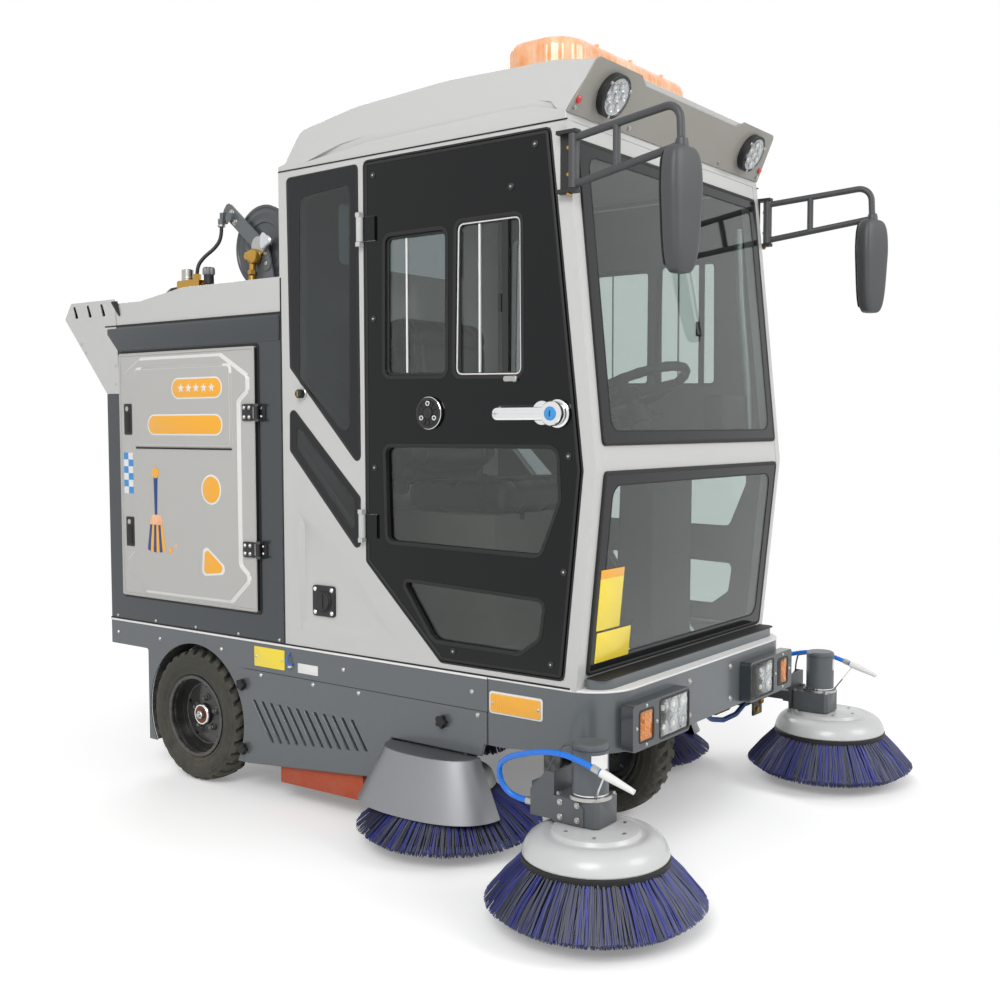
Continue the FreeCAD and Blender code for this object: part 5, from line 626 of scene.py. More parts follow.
CAB = painted("cab_light_grey", (190, 190, 188), 0.24, coat=0.5, drift=0.01, smear=0.04)
PAN = painted("door_pan_grey", (176, 175, 172), 0.26, coat=0.4, drift=0.012, smear=0.04)
# lighter copy of the pan's paint: painted highlight on the pressed chamfers
PAN_HIGHLIGHT = painted("door_pan_chamfer_highlight", (222, 221, 218), 0.22, coat=0.5, drift=0.01, smear=0.04)
VISOR = painted("visor_grey", (146, 143, 136), 0.4, coat=0.1, drift=0.012, smear=0.06)
SLATE = painted("slate_paint", (90, 95, 98), 0.3, coat=0.25, drift=0.012, smear=0.04, dust=0.03, reach=0.4)
DARK = painted("dark_slate_paint", (48, 54, 58), 0.24, coat=0.3, drift=0.015, smear=0.04)
SHELL = painted("underbody_black", (46, 48, 50), 0.55, drift=0.1, dust=0.45, reach=0.55, wear=0.2)
PANEL = painted("door_black_gloss", (14, 16, 18), 0.06, coat=0.0, drift=0.05, smear=0.04, ripple=0.01, shine=0.3)
SEAL = painted("seal_rubber", (22, 22, 23), 0.6, drift=0.15, cells=700.0)
MOULDED = painted("moulded_black", (34, 34, 35), 0.52, drift=0.12, cells=420.0)
DASH = painted("dash_grey", (116, 117, 117), 0.5, drift=0.03)
LINER = painted("floor_liner", (112, 112, 106), 0.7, drift=0.04, ripple=0.0)
MIRROR_GREY = painted("mirror_housing", (66, 67, 69), 0.46, drift=0.05)
ARM_GREY = painted("arm_grey", (80, 84, 87), 0.38, drift=0.03, dust=0.06, reach=0.5)
MOTOR = painted("motor_grey", (84, 89, 93), 0.36, drift=0.03, dust=0.05, reach=0.5)
DISC = painted("disc_plastic", (196, 197, 197), 0.3, drift=0.03, coat=0.2, dust=0.06, reach=0.4)
# tyre and rim edges lighter: wear and painted edge highlight
TYRE = painted("tyre_rubber", (52, 52, 46), 0.72, drift=0.12, dust=0.22, reach=0.6, wear=0.5, worn_lit_edge=(128, 126, 112))
RIM = painted("rim_black", (36, 37, 38), 0.28, drift=0.06, coat=0.3, wear=0.4, worn_lit_edge=(130, 128, 122), dust=0.1,
              reach=0.8)
FLAP = painted("flap_red_rubber", (172, 70, 38), 0.62, drift=0.22, cells=330.0, dust=0.3, reach=0.3)
GALVANISED = metal_of("galvanised_sheet", (142, 144, 147), 0.46, along=14.0, across=120.0, bands=6.0, drift=0.16,
                      dust=0.05)
STEEL = metal_of("zinc_steel", (178, 178, 174), 0.32, drift=0.25)
CHROME = metal_of("chrome", (226, 227, 228), 0.14, drift=0.05)
BRASS = metal_of("brass", (186, 146, 74), 0.3, drift=0.25)
WINDSHIELD = glass("windshield_glass", (188, 200, 196))
CLEAR = glass("clear_pane", (226, 232, 230))
GREY_GLASS = glass("grey_pane", (120, 128, 130))
LENS = glass("lamp_lens", (236, 238, 238), 0.03)
AMBER_LENS = glass("amber_lens", (255, 222, 140), 0.05, smear=0.08)
RED = painted("red_lens", (196, 34, 26), 0.2, coat=0.6)
AMBER = painted("amber_reflector", (240, 172, 44), 0.22, coat=0.6, drift=0.05)
BEACON = speckled("beacon_orange", (232, 142, 66), (246, 202, 168))
SILVER = painted("lamp_reflector", (206, 208, 210), 0.18, metal=0.9, drift=0.05)
LED = lit("led_chip", (246, 244, 226), 0.25)
AMBER_LED = lit("amber_led", (255, 188, 48), 0.2)
WHITE = painted("white_trim", (226, 226, 224), 0.4, drift=0.03)
YELLOW = painted("yellow_plate", (240, 214, 60), 0.35, coat=0.3, drift=0.04)
ORANGE = painted("orange_ink", (240, 168, 36), 0.34, coat=0.4, drift=0.03)
NAVY = painted("navy_ink", (30, 66, 120), 0.4, drift=0.05)
SKY = painted("blue_ink", (60, 140, 206), 0.4, drift=0.05)
VINYL = painted("seat_vinyl", (34, 35, 36), 0.42, drift=0.06, ripple=0.03)
BLUE_HOSE = painted("blue_hose", (10, 112, 214), 0.28, drift=0.06, coat=0.2)
BLACK_HOSE = painted("black_hose", (26, 26, 27), 0.45, drift=0.12, cells=800.0)
BRISTLE = tinted("bristles", (74, 77, 84), (50, 56, 152), 0.5, 0.2, 0.05)
GLASS_PRINT = painted("glass_print", (24, 27, 29), 0.1, coat=0.0, drift=0.03, smear=0.04, ripple=0.01, shine=0.35)
HUB_ORANGE = painted("hub_orange", (112, 56, 32), 0.4, metal=0.5, drift=0.2, dust=0.1)
REEL_GREY = painted("reel_grey", (70, 74, 77), 0.34, drift=0.04, coat=0.2)
KNOB_GREY = painted("knob_grey", (128, 129, 131), 0.4, drift=0.06)
SILVER_KNOB = painted("silver_knob", (208, 209, 214), 0.22, metal=0.8, drift=0.05)
MIRROR_FACE = painted("mirror_face", (214, 217, 219), 0.03, metal=1.0, drift=0.01, smear=0.02, ripple=0.0)
# near black for dark seams, and for painted shade in slots, under steps and under the roof's edge
SEAM_SHADOW = painted("seam_shadow", (16, 16, 17), 0.7)
LINING = painted("cab_lining", (94, 97, 95), 0.55, drift=0.03, ripple=0.0)
BOX_GREY = painted("seat_box_grey", (150, 151, 145), 0.5, drift=0.02, ripple=0.0)
# near black: the roller's core, and painted shade inside the round brushes' bristles
BRISTLE_CORE_AND_SHADE = painted("bristle_core_and_shade", (26, 26, 32), 0.8)


# CAD nodes that keep their shape
MOTOR_FOOT = (1554, -668, 0)                                  # below the right brush motor


def beyond_head(c, n):
    """True for the faces of the mirror's arm, and false for those of the plain head."""
    along = (c[:, 0] - MIRROR_PIVOT[0]) * math.cos(MIRROR_LEAN) + (np.abs(c[:, 1]) + MIRROR_PIVOT[1]) * math.sin(
        MIRROR_LEAN)
    return ~((np.abs(along - MIRROR_REACH) < 27) & (c[:, 2] > MIRROR_FOOT - 2)
             & (c[:, 2] < MIRROR_FOOT + MIRROR_TALL + 2))


def cab_regions(c, n):
    """Cab sides: quarter-window frames, the strip behind the door and its hinges keep the cab's colour; the
    inner faces are the liner's."""
    return np.where(np.abs(c[:, 1]) < 500, 1, 0)


def door_regions(c, n):
    """Cab door: black leaf, its hinges' knuckles in the cab's colour, and the lining inside."""
    knuckle = (c[:, 0] < 738.5) & (np.abs(c[:, 1]) > 520)
    return np.where(knuckle, 2, np.where(np.abs(c[:, 1]) < 500, 1, 0))


def arm_regions(c, n):
    """Front brush arm: grey bracket and beam, motor, steel foot ring and barb, white nozzle."""
    out = np.abs(c[:, 1])
    can = np.hypot(c[:, 0] - MOTOR_FOOT[0], out + MOTOR_FOOT[1])
    place = np.zeros(len(c), int)
    place[(can < 52) & (c[:, 2] > 278)] = 1
    place[(can < 53) & (can > 30) & (c[:, 2] > 278) & (c[:, 2] < 290)] = 2
    place[(c[:, 0] > 1600) & (c[:, 2] > 300) & (out > 712)] = 3
    place[(np.hypot(out - 689, c[:, 2] - 245) < 11) & (c[:, 0] < 1479)] = 2
    return place


def door_fitting_regions(c, n):
    """Door fittings: dark back plate, bright grip and lock, dark vent."""
    return np.where((c[:, 0] > 1100) & (np.abs(c[:, 1]) > 533), 1, 0)


def lamp_regions(c, n):
    """Lamp housings: charcoal, the headlamps' slate, the tail lamps' faces red."""
    return np.where((c[:, 0] < -400) & (n[:, 0] < -0.5), 1, np.where(c[:, 2] < 500, 2, 0))


def reel_stand_regions(c, n):
    """Reel stand: slate base, plate and arm, and its silver hub cap."""
    hub = (np.hypot(c[:, 0] - 75, c[:, 2] - 1682) < 34) & (np.abs(c[:, 1]) > 305)
    return np.where(hub, 1, 0)


def service_regions(c, n):
    """Service door: pan in front, black hinge knuckles, dark rim behind."""
    return np.where(c[:, 0] > 297.5, 1, 0)


# node, paints, bevel in millimetres and the function that gives each face its paint
KEPT = (("rear_axle", SHELL, 1.5, None), ("chassis_frame", SHELL, 1.5, None), ("brush_tunnel", SHELL, 0.8, None),
        ("brush_carriers", SHELL, 1.2, None), ("steering_fork", SHELL, 1.5, None), ("front_bumper", SLATE, 1.5, None),
        ("side_skirts", SLATE, 0.6, None), ("cab_side_frames", [CAB, LINING], 2.0, cab_regions),
        ("cab_front_frame", [CAB, MOULDED], 2.5, None), ("cab_rear_wall", CAB, 1.5, None),
        ("cab_floor", LINER, 1.5, None), ("battery_pack", BOX_GREY, 2.0, None), ("cab_roof", CAB, 2.0, None),
        ("roof_visor", VISOR, 0.8, None), ("lamp_housings", [MOULDED, RED, DARK], 2.0, lamp_regions),
        ("body_frame", DARK, 2.0, None), ("top_cover", CAB, 2.5, None), ("tail_hood", CAB, 1.0, None),
        ("waste_hopper", DARK, 2.0, None), ("steering_column", MOULDED, 1.5, None),
        ("steering_wheel", MOULDED, 0.0, None), ("rubber_flaps", FLAP, 0.8, None),
        ("mirror_clamps", MOULDED, 1.0, None), ("hose_reel_stand", [SLATE, STEEL], 1.0, reel_stand_regions))
KEPT_SIDES = (("cab_door_", [PANEL, LINING, CAB], 1.2, door_regions),
              ("service_door_", [PAN, MOULDED], 1.2, service_regions),
              ("front_brush_arm_", [ARM_GREY, MOTOR, STEEL, WHITE], 1.2, arm_regions),
              ("door_fittings_", [MOULDED, CHROME], 1.0, door_fitting_regions))
PANES = (("door_glass_right", CLEAR), ("door_glass_left", CLEAR), ("front_glass", WINDSHIELD),
         ("side_glass", GREY_GLASS))


def kept_nodes():
    """Finishes every CAD node that keeps its shape, and paints the panes."""
    for name, paints, bevel, regions in KEPT:
        finished(name, paints, bevel, regions)
    for _, word in SIDES:
        for name, paints, bevel, regions in KEPT_SIDES:
            finished(name + word, paints, bevel, regions)
        finished("mirror_" + word, MIRROR_GREY, 1.0, keep=beyond_head)
    for name, paint in PANES:
        nodes[name].data.materials.clear()
        nodes[name].data.materials.append(paint)


kept_nodes()


# Hoses
def hose(node, stops, width, paint):
    """Hose as one NURBS spline of order 3, with the CAD route's points as its control points."""
    curve = bpy.data.curves.new(node + "_finished", "CURVE")
    curve.dimensions = "3D"
    curve.bevel_depth = width * 0.0005
    curve.bevel_resolution = 4
    curve.resolution_u = 14
    curve.use_fill_caps = True
    spline = curve.splines.new("NURBS")
    spline.points.add(len(stops) - 1)
    places = np.array(stops) * 0.001 + (AXLE, 0, 0)
    spline.points.foreach_set("co", np.c_[places, np.ones(len(stops))].ravel())
    spline.order_u = 3
    spline.use_endpoint_u = True
    curve.materials.append(paint)
    thing = linked(node + "_finished", curve)
    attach(thing, nodes[node]["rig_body"])
    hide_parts(node)


def hoses():
    """Two water hoses to the front nozzles and the short hose from the reel's arm to its valves."""
    route = ((1394, 4, 245), (1354, 4, 245), (1325, 13, 274), (1325, 23, 316), (1354, 33, 345), (1420, 44, 369),
             (1490, 50, 386), (1560, 51, 383), (1626, 51, 361))
    for side, word in SIDES:
        hose("water_hose_" + word, [(x, side * (685 + out), z) for x, out, z in route], 14.0, BLUE_HOSE)
    hose("reel_hose", ((-93, -318, 1756), (-93, -318, 1722), (-106, -335, 1688), (-127, -364, 1658),
                       (-137, -384, 1626), (-137, -384, 1598)), 12.0, BLACK_HOSE)


hoses()


# Wheels and brushes
LUGS = 30
GROOVE_FLOOR = 192
BRISTLE_HEAD = 150                                            # height that the round brushes' filaments start from
BRISTLE_REACH = 251
ROWS = 6                                                      # of bundles round a brush, each bundle of 7 filaments
BUNDLE = 7
STATIONS = 3                                                  # rings of points along a filament
TAPER = 0.7


def tyre_surface(centre):
    """Solid tyre: a closed profile of (across, radius) turned about y. In each slanting lug groove the radius
    is clipped to the groove's floor, and the two halves' grooves stand half a pitch apart."""
    half = [(0, 206), (7, 206), (8, 206), (13, 205.6), (22, 205), (32, 204), (39, 202), (44, 198), (47.5, 192),
            (50, 185), (50.6, 182), (52.4, 180), (53.2, 172), (53.3, 164), (52.6, 158), (53.2, 156.5), (52.4, 155),
            (51, 148), (49.2, 145.5), (48.6, 141), (49.6, 139), (48.6, 136.5), (45, 131), (43, 129)]
    across = np.array([-a for a, r in half[::-1]] + [a for a, r in half[1:]])
    radius = np.array([r for a, r in half[::-1]] + [r for a, r in half[1:]])
    angle = np.linspace(0, 2 * math.pi, LUGS * 12, endpoint=False)
    phase = angle[None] * LUGS / (2 * math.pi) + (across[:, None] < 0) * 0.5 + np.abs(across[:, None]) * 0.011
    open_share = np.clip((0.2 - np.abs(phase % 1 - 0.5)) / 0.045, 0, 1)
    open_share = open_share * np.clip((np.abs(across[:, None]) - 7) / 4, 0, 1)
    full = np.broadcast_to(radius[:, None], phase.shape)
    size = full - open_share * np.maximum(full - GROOVE_FLOOR, 0)
    grid = np.stack([size * np.cos(angle), np.broadcast_to(across[:, None], phase.shape), size * np.sin(angle)], -1)
    return skin(grid + centre, along=True)


def wheels():
    """Treaded tyres in place of the plain ones, and the rims' finish."""
    for name, x, y, _ in WHEELS:
        shape = Form().add(tyre_surface(np.array((x, y, WHEEL_HEIGHT))))
        piece(name % "tyre" + "_treaded", shape, TYRE, name % "wheel", "tyre", replaces=[name % "tyre"])
    for name, _, _, _ in WHEELS:
        finished(name % "rim", RIM, 1.0)


def strands(base, tip, bow, width):
    """Filaments of three sides, each along base + (tip - base)t + bow*4t(1 - t), thinner towards the tip."""
    t = np.linspace(0, 1, STATIONS)[None, :, None]
    path = base[:, None] + (tip - base)[:, None] * t + bow[:, None] * 4 * t * (1 - t)
    ahead = unit(tip - base)
    across = unit(np.cross(ahead, np.array([0.31, 0.17, 0.93])))
    over = np.cross(ahead, across)
    angle = np.array([0, 2, 4]) * math.pi / 3
    ring = np.cos(angle)[None, :, None] * across[:, None] + np.sin(angle)[None, :, None] * over[:, None]
    points = path[:, :, None] + (width * (1 - (1 - TAPER) * t))[..., None] * ring[:, None]
    count = STATIONS * 3
    shift = (np.arange(len(base)) * count)[:, None, None]
    side = (quads(STATIONS, 3)[None] + shift).reshape(-1, 4)
    caps = np.array([[2, 1, 0], [count - 3, count - 2, count - 1]])
    return outwards(points.reshape(-1, 3), [side, (caps[None] + shift).reshape(-1, 3)])


def brush_shades(bundles, each):
    """Shade of each filament's points: charcoal or blue by a lean that its bundle shares, with a little spread."""
    lean = np.repeat(draws.uniform(0.1, 0.6, bundles), each)
    tone = np.where(draws.random(bundles * each) < lean, 0.82, 0.08)
    return np.repeat(np.clip(tone + draws.normal(0, 0.1, bundles * each), 0, 1), STATIONS * 3)


def brush_bristles(centre, disc_radius):
    """Bristles of a round brush: rows of bundles leave the disc's rim and flare to their reach at z 57, the
    inner ones to z 32. A cone inside them, painted near black as the shade among the bristles, closes the gaps."""
    shape = Form()
    bundles = int(disc_radius * 0.62)
    for row in range(ROWS):
        share = row / (ROWS - 1)
        bundle = np.repeat(np.arange(bundles), BUNDLE)
        angle = (bundle + row * 0.37) * 2 * math.pi / bundles + draws.normal(0, 0.011, bundles * BUNDLE)
        at_rim = disc_radius - 4 - 40 * share + draws.normal(0, 1.6, len(angle))
        at_tip = (249.5 - 54 * share + np.repeat(draws.normal(0, 0.7, bundles), BUNDLE)
                  + draws.normal(0, 1.1, len(angle)))
        drop = 57 - 25 * min(1.0, share * 1.6) + np.repeat(draws.normal(0, 0.8, bundles), BUNDLE)
        low = np.maximum(drop + draws.normal(0, 1.0, len(angle)), 32.5)
        tip_angle = angle + draws.normal(0, 0.018, len(angle))
        base = np.stack([at_rim * np.cos(angle), at_rim * np.sin(angle), np.full(len(angle), float(BRISTLE_HEAD))],
                        1)
        at_tip = np.minimum(at_tip, BRISTLE_REACH)
        tip = np.stack([at_tip * np.cos(tip_angle), at_tip * np.sin(tip_angle), low], 1)
        bow = np.stack([np.cos(angle) * 3, np.sin(angle) * 3, np.full(len(angle), 2.0)], 1)
        shape.add(strands(centre + base, centre + tip, bow, 1.3), 0, False, brush_shades(bundles, BUNDLE))
    # cone painted near black: painted shade among the bristles
    cone = [(disc_radius - 46, BRISTLE_HEAD), (disc_radius - 14, BRISTLE_HEAD), (225, 66), (206, 48),
            (disc_radius - 60, 60)]
    shape.add(turned(cone, centre, sides=48), 1)
    shape.add(turned([(disc_radius - 50, 140), (disc_radius - 2, 140), (disc_radius + 1, 145), (disc_radius + 1, 158),
                      (disc_radius - 3, 161), (disc_radius - 50, 161)], centre, sides=72), 2)
    return shape


def brush_plate(centre, disc_radius, top):
    """Plastic disc over the bristles: a plateau, a groove, then a rounded shoulder down to its edge at z 161."""
    scale = (top - 161) / 56
    profile = [(0, 56), (0.555, 56), (0.585, 54.5), (0.605, 50), (0.62, 46.5), (0.665, 45.5), (0.69, 47.5),
               (0.725, 49), (0.78, 47), (0.85, 42), (0.91, 34), (0.955, 23), (0.985, 11), (0.995, 3), (0.985, 0),
               (0.6, 0)]
    points = [(share * disc_radius, 161 + rise * scale) for share, rise in profile]
    shape = Form().add(turned(points, centre, sides=96))
    around = circle((0, 0), disc_radius * 0.45, 6)
    spots = np.c_[around, np.full(6, top)] + centre
    head = slab(circle((0, 0), 5, 6), [(0, -2), (0, 1.6), (0.7, 2.2)], TOP)
    shape.add(copies(head, spots), 1, False)
    return shape


def round_brushes():
    """The two front brushes and the two side brushes."""
    for kind, x, out, disc_radius, top in (("front_brush", 1580, 685, 167, 217), ("side_brush", 988, 478, 125, 213)):
        for side, word in SIDES:
            centre = np.array((x, side * out, 0.0))
            node = "%s_%s" % (kind, word)
            body = nodes[node]["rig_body"]
            piece("%s_bristles_%s" % (kind, word), brush_bristles(centre, disc_radius),
                  [BRISTLE, BRISTLE_CORE_AND_SHADE, SEAL], body, "bristles", replaces=[node])
            piece("%s_plate_%s" % (kind, word), brush_plate(centre, disc_radius, top), [DISC, STEEL], body,
                  "bristles")


def main_brush():
    """Roller brush: a dark core with filaments in twelve helical rows, and a flange at each end."""
    shape = Form()
    axis = np.array((556, 0, 164.0))
    plane = np.array([(0, 0, 1), (1, 0, 0), (0, 1, 0)], float)
    core = [(40, -340), (112, -340), (114, -336), (114, 336), (112, 340), (40, 340)]
    shape.add(turned(core, axis, plane, 40), 1)
    for end in (-1, 1):
        flange = [(20, end * 341), (118, end * 341), (118, end * 346), (60, end * 350), (24, end * 357.5)]
        shape.add(turned(flange, axis, plane, 40), 2)
    count = 2400
    row = np.arange(count) % 12
    across = draws.uniform(-336, 336, count)
    angle = row * math.pi / 6 + across / 340 * 0.9 + draws.normal(0, 0.035, count)
    radial = np.stack([np.sin(angle), np.zeros(count), np.cos(angle)], 1)
    level = np.c_[np.zeros(count), across, np.zeros(count)]
    base = axis + radial * 110 + level
    tip = axis + radial * draws.uniform(152, 157.3, count)[:, None] + level + np.c_[
        np.zeros(count), draws.normal(0, 2, count), np.zeros(count)]
    bow = np.cross(radial, (0, 1, 0)) * 3
    shape.add(strands(base, tip, bow, 2.2), 0, False, brush_shades(count // 4, 4))
    piece("main_brush_bristles", shape, [BRISTLE, BRISTLE_CORE_AND_SHADE, MOTOR], "main_brush", "bristles",
          replaces=["main_brush"])


def shroud_ring(middle, half, out, level):
    """Half of a superellipse that bulges from the skirt, as one ring of a shroud."""
    turn = np.linspace(0, math.pi, 64)
    across = np.cos(turn)
    return np.stack([middle + half * np.sign(across) * np.abs(across) ** 0.86,
                     -524.5 - out * np.sin(turn) ** 0.8, np.full(len(turn), level)], 1)


def brush_shrouds():
    """Flared sheet hoods over the side brushes: rings from the small flat lid at z 262 down to the wide low edge at
    z 112 with a rolled lip, then back up inside; and red rubber strips hung behind the skirts."""
    rings = [shroud_ring(975, 150, 84, 259), shroud_ring(967, 221, 134, 114), shroud_ring(967, 222, 136, 111.6),
             shroud_ring(967, 224.5, 138.6, 112.4), shroud_ring(967, 224, 138, 115), shroud_ring(975, 154, 88, 257),
             shroud_ring(975, 153, 87, 260.6), shroud_ring(975, 151, 84, 262), shroud_ring(975, 146, 79, 262)]
    shape = Form().add(skin(np.stack(rings)), 0)
    piece("brush_shroud_right", shape, [GALVANISED], "chassis", "galvanised", replaces=["brush_shrouds"])
    piece("brush_shroud_left", shape.mirrored(), [GALVANISED], "chassis", "galvanised")
    strip = rounded([(366, 57), (700, 62), (700, 140), (366, 140)], 3)
    pair("skirt_flap", Form().add(eased(strip, 505, 511, 0.8)), [FLAP], "chassis", "flap_rubber")


wheels()
round_brushes()
main_brush()
brush_shrouds()


# Front brush arms
@detail(pair, [STEEL, WHITE, CHROME], "brush_arm_%s", "motor_grey")
def arm_fittings(shape):
    """Bolts of the gearbox and bracket, the motor's blank plate, foot ring and the nozzle's collar."""
    corners = [(x, -y, 280.6) for x in (1489, 1589) for y in (625, 698)]
    shape.screws(TOP, 5.5, 6, corners, 0)
    shape.screws(SIDE, 5, 5, [(1500, -710.4, 266), (1546, -710.4, 266), (1500, -710.4, 232), (1546, -710.4, 232)], 0)
    turn = np.radians(np.linspace(-54, 6, 12))
    arc = np.stack([np.cos(turn), np.sin(turn)], 1)
    plate = np.concatenate([arc * 43.2, arc[::-1] * 42.1])
    shape.add(slab(plate, [(0, 349), (0, 382)], TOP, MOTOR_FOOT), 1)
    ring = [(38, 288), (42, 288), (43.6, 288.6), (43.6, 291.4), (42, 292), (38, 292)]
    shape.add(turned(ring, MOTOR_FOOT, sides=48), 2)
    collar = np.array([(1604, -736, 368.4), (1612, -736, 365.7), (1622, -736, 362.4)])
    shape.add(tube(collar, 9.2, 6, (0, 1, 0)), 0, False)


# Cab
HIGH = np.array([(0, 1, 0), (-0.1044, 0, 0.9945), (0.9945, 0, 0.1044)])      # the windshield's plane
LOW = np.array([(0, 1, 0), (0.1004, 0, 0.9949), (0.9949, 0, -0.1004)])       # the lower front window's
KNEE = np.array((1474.0, 0, 1008))
LAMP = np.array([(0, 1, 0), (0.4848, 0, 0.8746), (0.8746, 0, -0.4848)])      # the visor's, which leans forward
DOOR_EDGE = [(739, 1816, 10), (739, 745, 6), (999, 500, 10), (1379, 500, 10), (1432, 1006, 30), (1338, 1816, 10)]
DOOR_WINDOWS = [[(808, 1617, 22), (804, 1244, 22), (1021, 1239, 22), (1023, 1617, 22)],
                [(1053, 1629, 22), (1045, 1238, 22), (1262, 1234, 22), (1259, 1629, 22)],
                [(804, 1059, 22), (811, 801, 22), (1314, 794, 30), (1372, 932, 30), (1366, 1061, 30)],
                [(862, 701, 12), (973, 548, 40), (1253, 546, 30), (1314, 590, 30), (1328, 684, 20)]]
QUARTER_FRAMES = [[(436, 1812), (442, 1280), (712, 1002), (710, 1816)],
                  [(440, 1171), (438, 1043), (709, 763), (710, 916)]]
QUARTER_HOLES = [[(484, 1756), (475, 1242), (674, 1072), (683, 1771)],
                 [(460, 1125), (460, 1049), (690, 811), (690, 907)]]


def between(outer, inner, low, high, plane=SIDE, origin=ORIGIN):
    """Flat ring between two outlines of as many points."""
    layers = [on(plane, origin, outer, low), on(plane, origin, outer, high), on(plane, origin, inner, high),
              on(plane, origin, inner, low)]
    return skin(np.stack(layers), along=True)


def star(centre, radius):
    """Outline of a five-pointed star: tips at the radius and notches at 0.42 of it, in turn."""
    angle = np.arange(10) * math.pi / 5 + math.pi / 2
    reach = np.where(np.arange(10) % 2, radius * 0.42, radius)
    return np.stack([centre[0] + reach * np.cos(angle), centre[1] + reach * np.sin(angle)], 1)


def oblong(x0, z0, x1, z1, radius):
    """Rounded rectangle."""
    return rounded([(x0, z0), (x1, z0), (x1, z1), (x0, z1)], radius)


@detail(pair, [SEAL, MOULDED, STEEL], "cab_door_%s", "frame_black")
def door_trim(shape):
    """Cab door: rubber round its edge and windows, the sliding pane's rails and stiles, and panel fasteners."""
    shape.add(band(rounded(DOOR_EDGE), [(0.5, 520), (0.5, 526.2), (2, 527.2), (7, 527.2), (8.5, 525.8), (8.5, 520)]))
    for index, corners in enumerate(DOOR_WINDOWS):
        hole = rounded(corners, steps=7)
        shape.add(band(hole, [(-7, 524.6), (-6, 526.6), (-1, 527.2), (3.5, 525.6), (4.5, 513.2), (-0.5, 513.2),
                              (-0.5, 524.6)]))
        if index < 2:
            shape.add(band(inset(hole, 4.6), [(0, 513.3), (0, 519), (5.5, 519), (6.5, 517.8), (6.5, 513.3)]), 1)
    for x, z in ((770, 1780), (1300, 1788), (1228, 1696), (768, 1400), (768, 1000), (1398, 1040), (1040, 528),
                 (1348, 530), (1385, 760)):
        shape.add(turned([(9, 524.8), (9, 526.6), (7.6, 527.6), (4, 528)], (x, 0, z), SIDE, 20), 1)
        shape.add(turned([(3, 527.6), (3, 528.5), (2.2, 529)], (x, 0, z), SIDE, 6), 2)
    # the two sliding panes' stiles, the second of them pushed partly open
    for low, high in (((1012, -516.8, 1246), (1024, -513.2, 1610)), ((1050, -517.4, 1243), (1062, -513.3, 1622)),
                      ((1196, -519.6, 1240), (1214, -513.3, 1622)), ((1186, -521.6, 1395), (1194, -513.4, 1440))):
        shape.add(block(low, high), 1)


@detail(pair, [CHROME, SKY, SEAL, MOULDED, WHITE], "cab_door_%s", "handle_metal")
def door_details(shape):
    """Door handle's key disc and end collars, and the round vent's ring of slots."""
    lock = (1371.0, 0, 1142)
    bar = oblong(1194, 1126, 1364, 1158, 15.8)
    shape.add(slab(bar, [(2, 546), (0, 548), (0, 558), (1.2, 561), (4, 562.6)]), 0)
    shape.add(band(inset(bar, 7), [(-0.8, 561.6), (-0.8, 563.2), (0.8, 563.2), (0.8, 561.6)]), 0)
    shape.add(turned([(28, 540), (30, 543), (30, 561), (28, 563.4), (22, 564)], lock, SIDE, 40), 0)
    shape.add(turned([(17, 563), (17, 565.2), (14, 566.4), (8, 566.6)], lock, SIDE, 32), 1)
    shape.add(block((1369.6, -567.4, 1135), (1372.4, -566, 1149)), 2)
    shape.add(turned([(34, 528), (34, 534), (31, 536.5), (28, 537)], lock, SIDE, 40), 0)
    vent = np.array((967.0, 0, 1146))
    rings = [(41, 534), (41, 536), (39, 537.2), (34, 537.2), (32, 535)]
    shape.add(turned(rings + [(32, 534)], vent, SIDE, 48), 3)
    shape.add(turned([(14, 534), (14, 538), (11, 539.6), (4, 540)], vent, SIDE, 32), 3)
    bar = np.array([(17, -2.1), (31, -3.2), (31, 3.2), (17, 2.1)], float)
    for a in np.arange(12) * math.pi / 6:
        plane = np.array([(math.cos(a), 0, math.sin(a)), (-math.sin(a), 0, math.cos(a)), (0, -1, 0)])
        shape.add(slab(bar, [(0, 534), (0, 536.2), (0.6, 536.8)], plane, vent), 3, False)
    thirds = (math.pi / 2, -math.pi / 6, -5 * math.pi / 6)
    spots = [vent + (25 * math.cos(a), 0, 25 * math.sin(a)) for a in thirds]
    ring = [(6.4, 536), (6.4, 538.4), (5.4, 539), (4, 538.4), (4, 536)]
    shape.add(copies(turned(ring, ORIGIN, SIDE, 20, closed=True), spots), 4)
    shape.add(copies(turned([(3.6, 536), (3.6, 537.4)], ORIGIN, SIDE, 12), spots), 2)
    shape.add(turned([(42.4, 531), (42.4, 533.6), (41, 534.6), (40, 533)], vent, SIDE, 48), 0)
    shape.screws(SIDE, 3.6, 3, [(1197, -531.2, 1133), (1197, -531.2, 1155), (1381, -531.2, 1133),
                                (1381, -531.2, 1155)], 0, False)


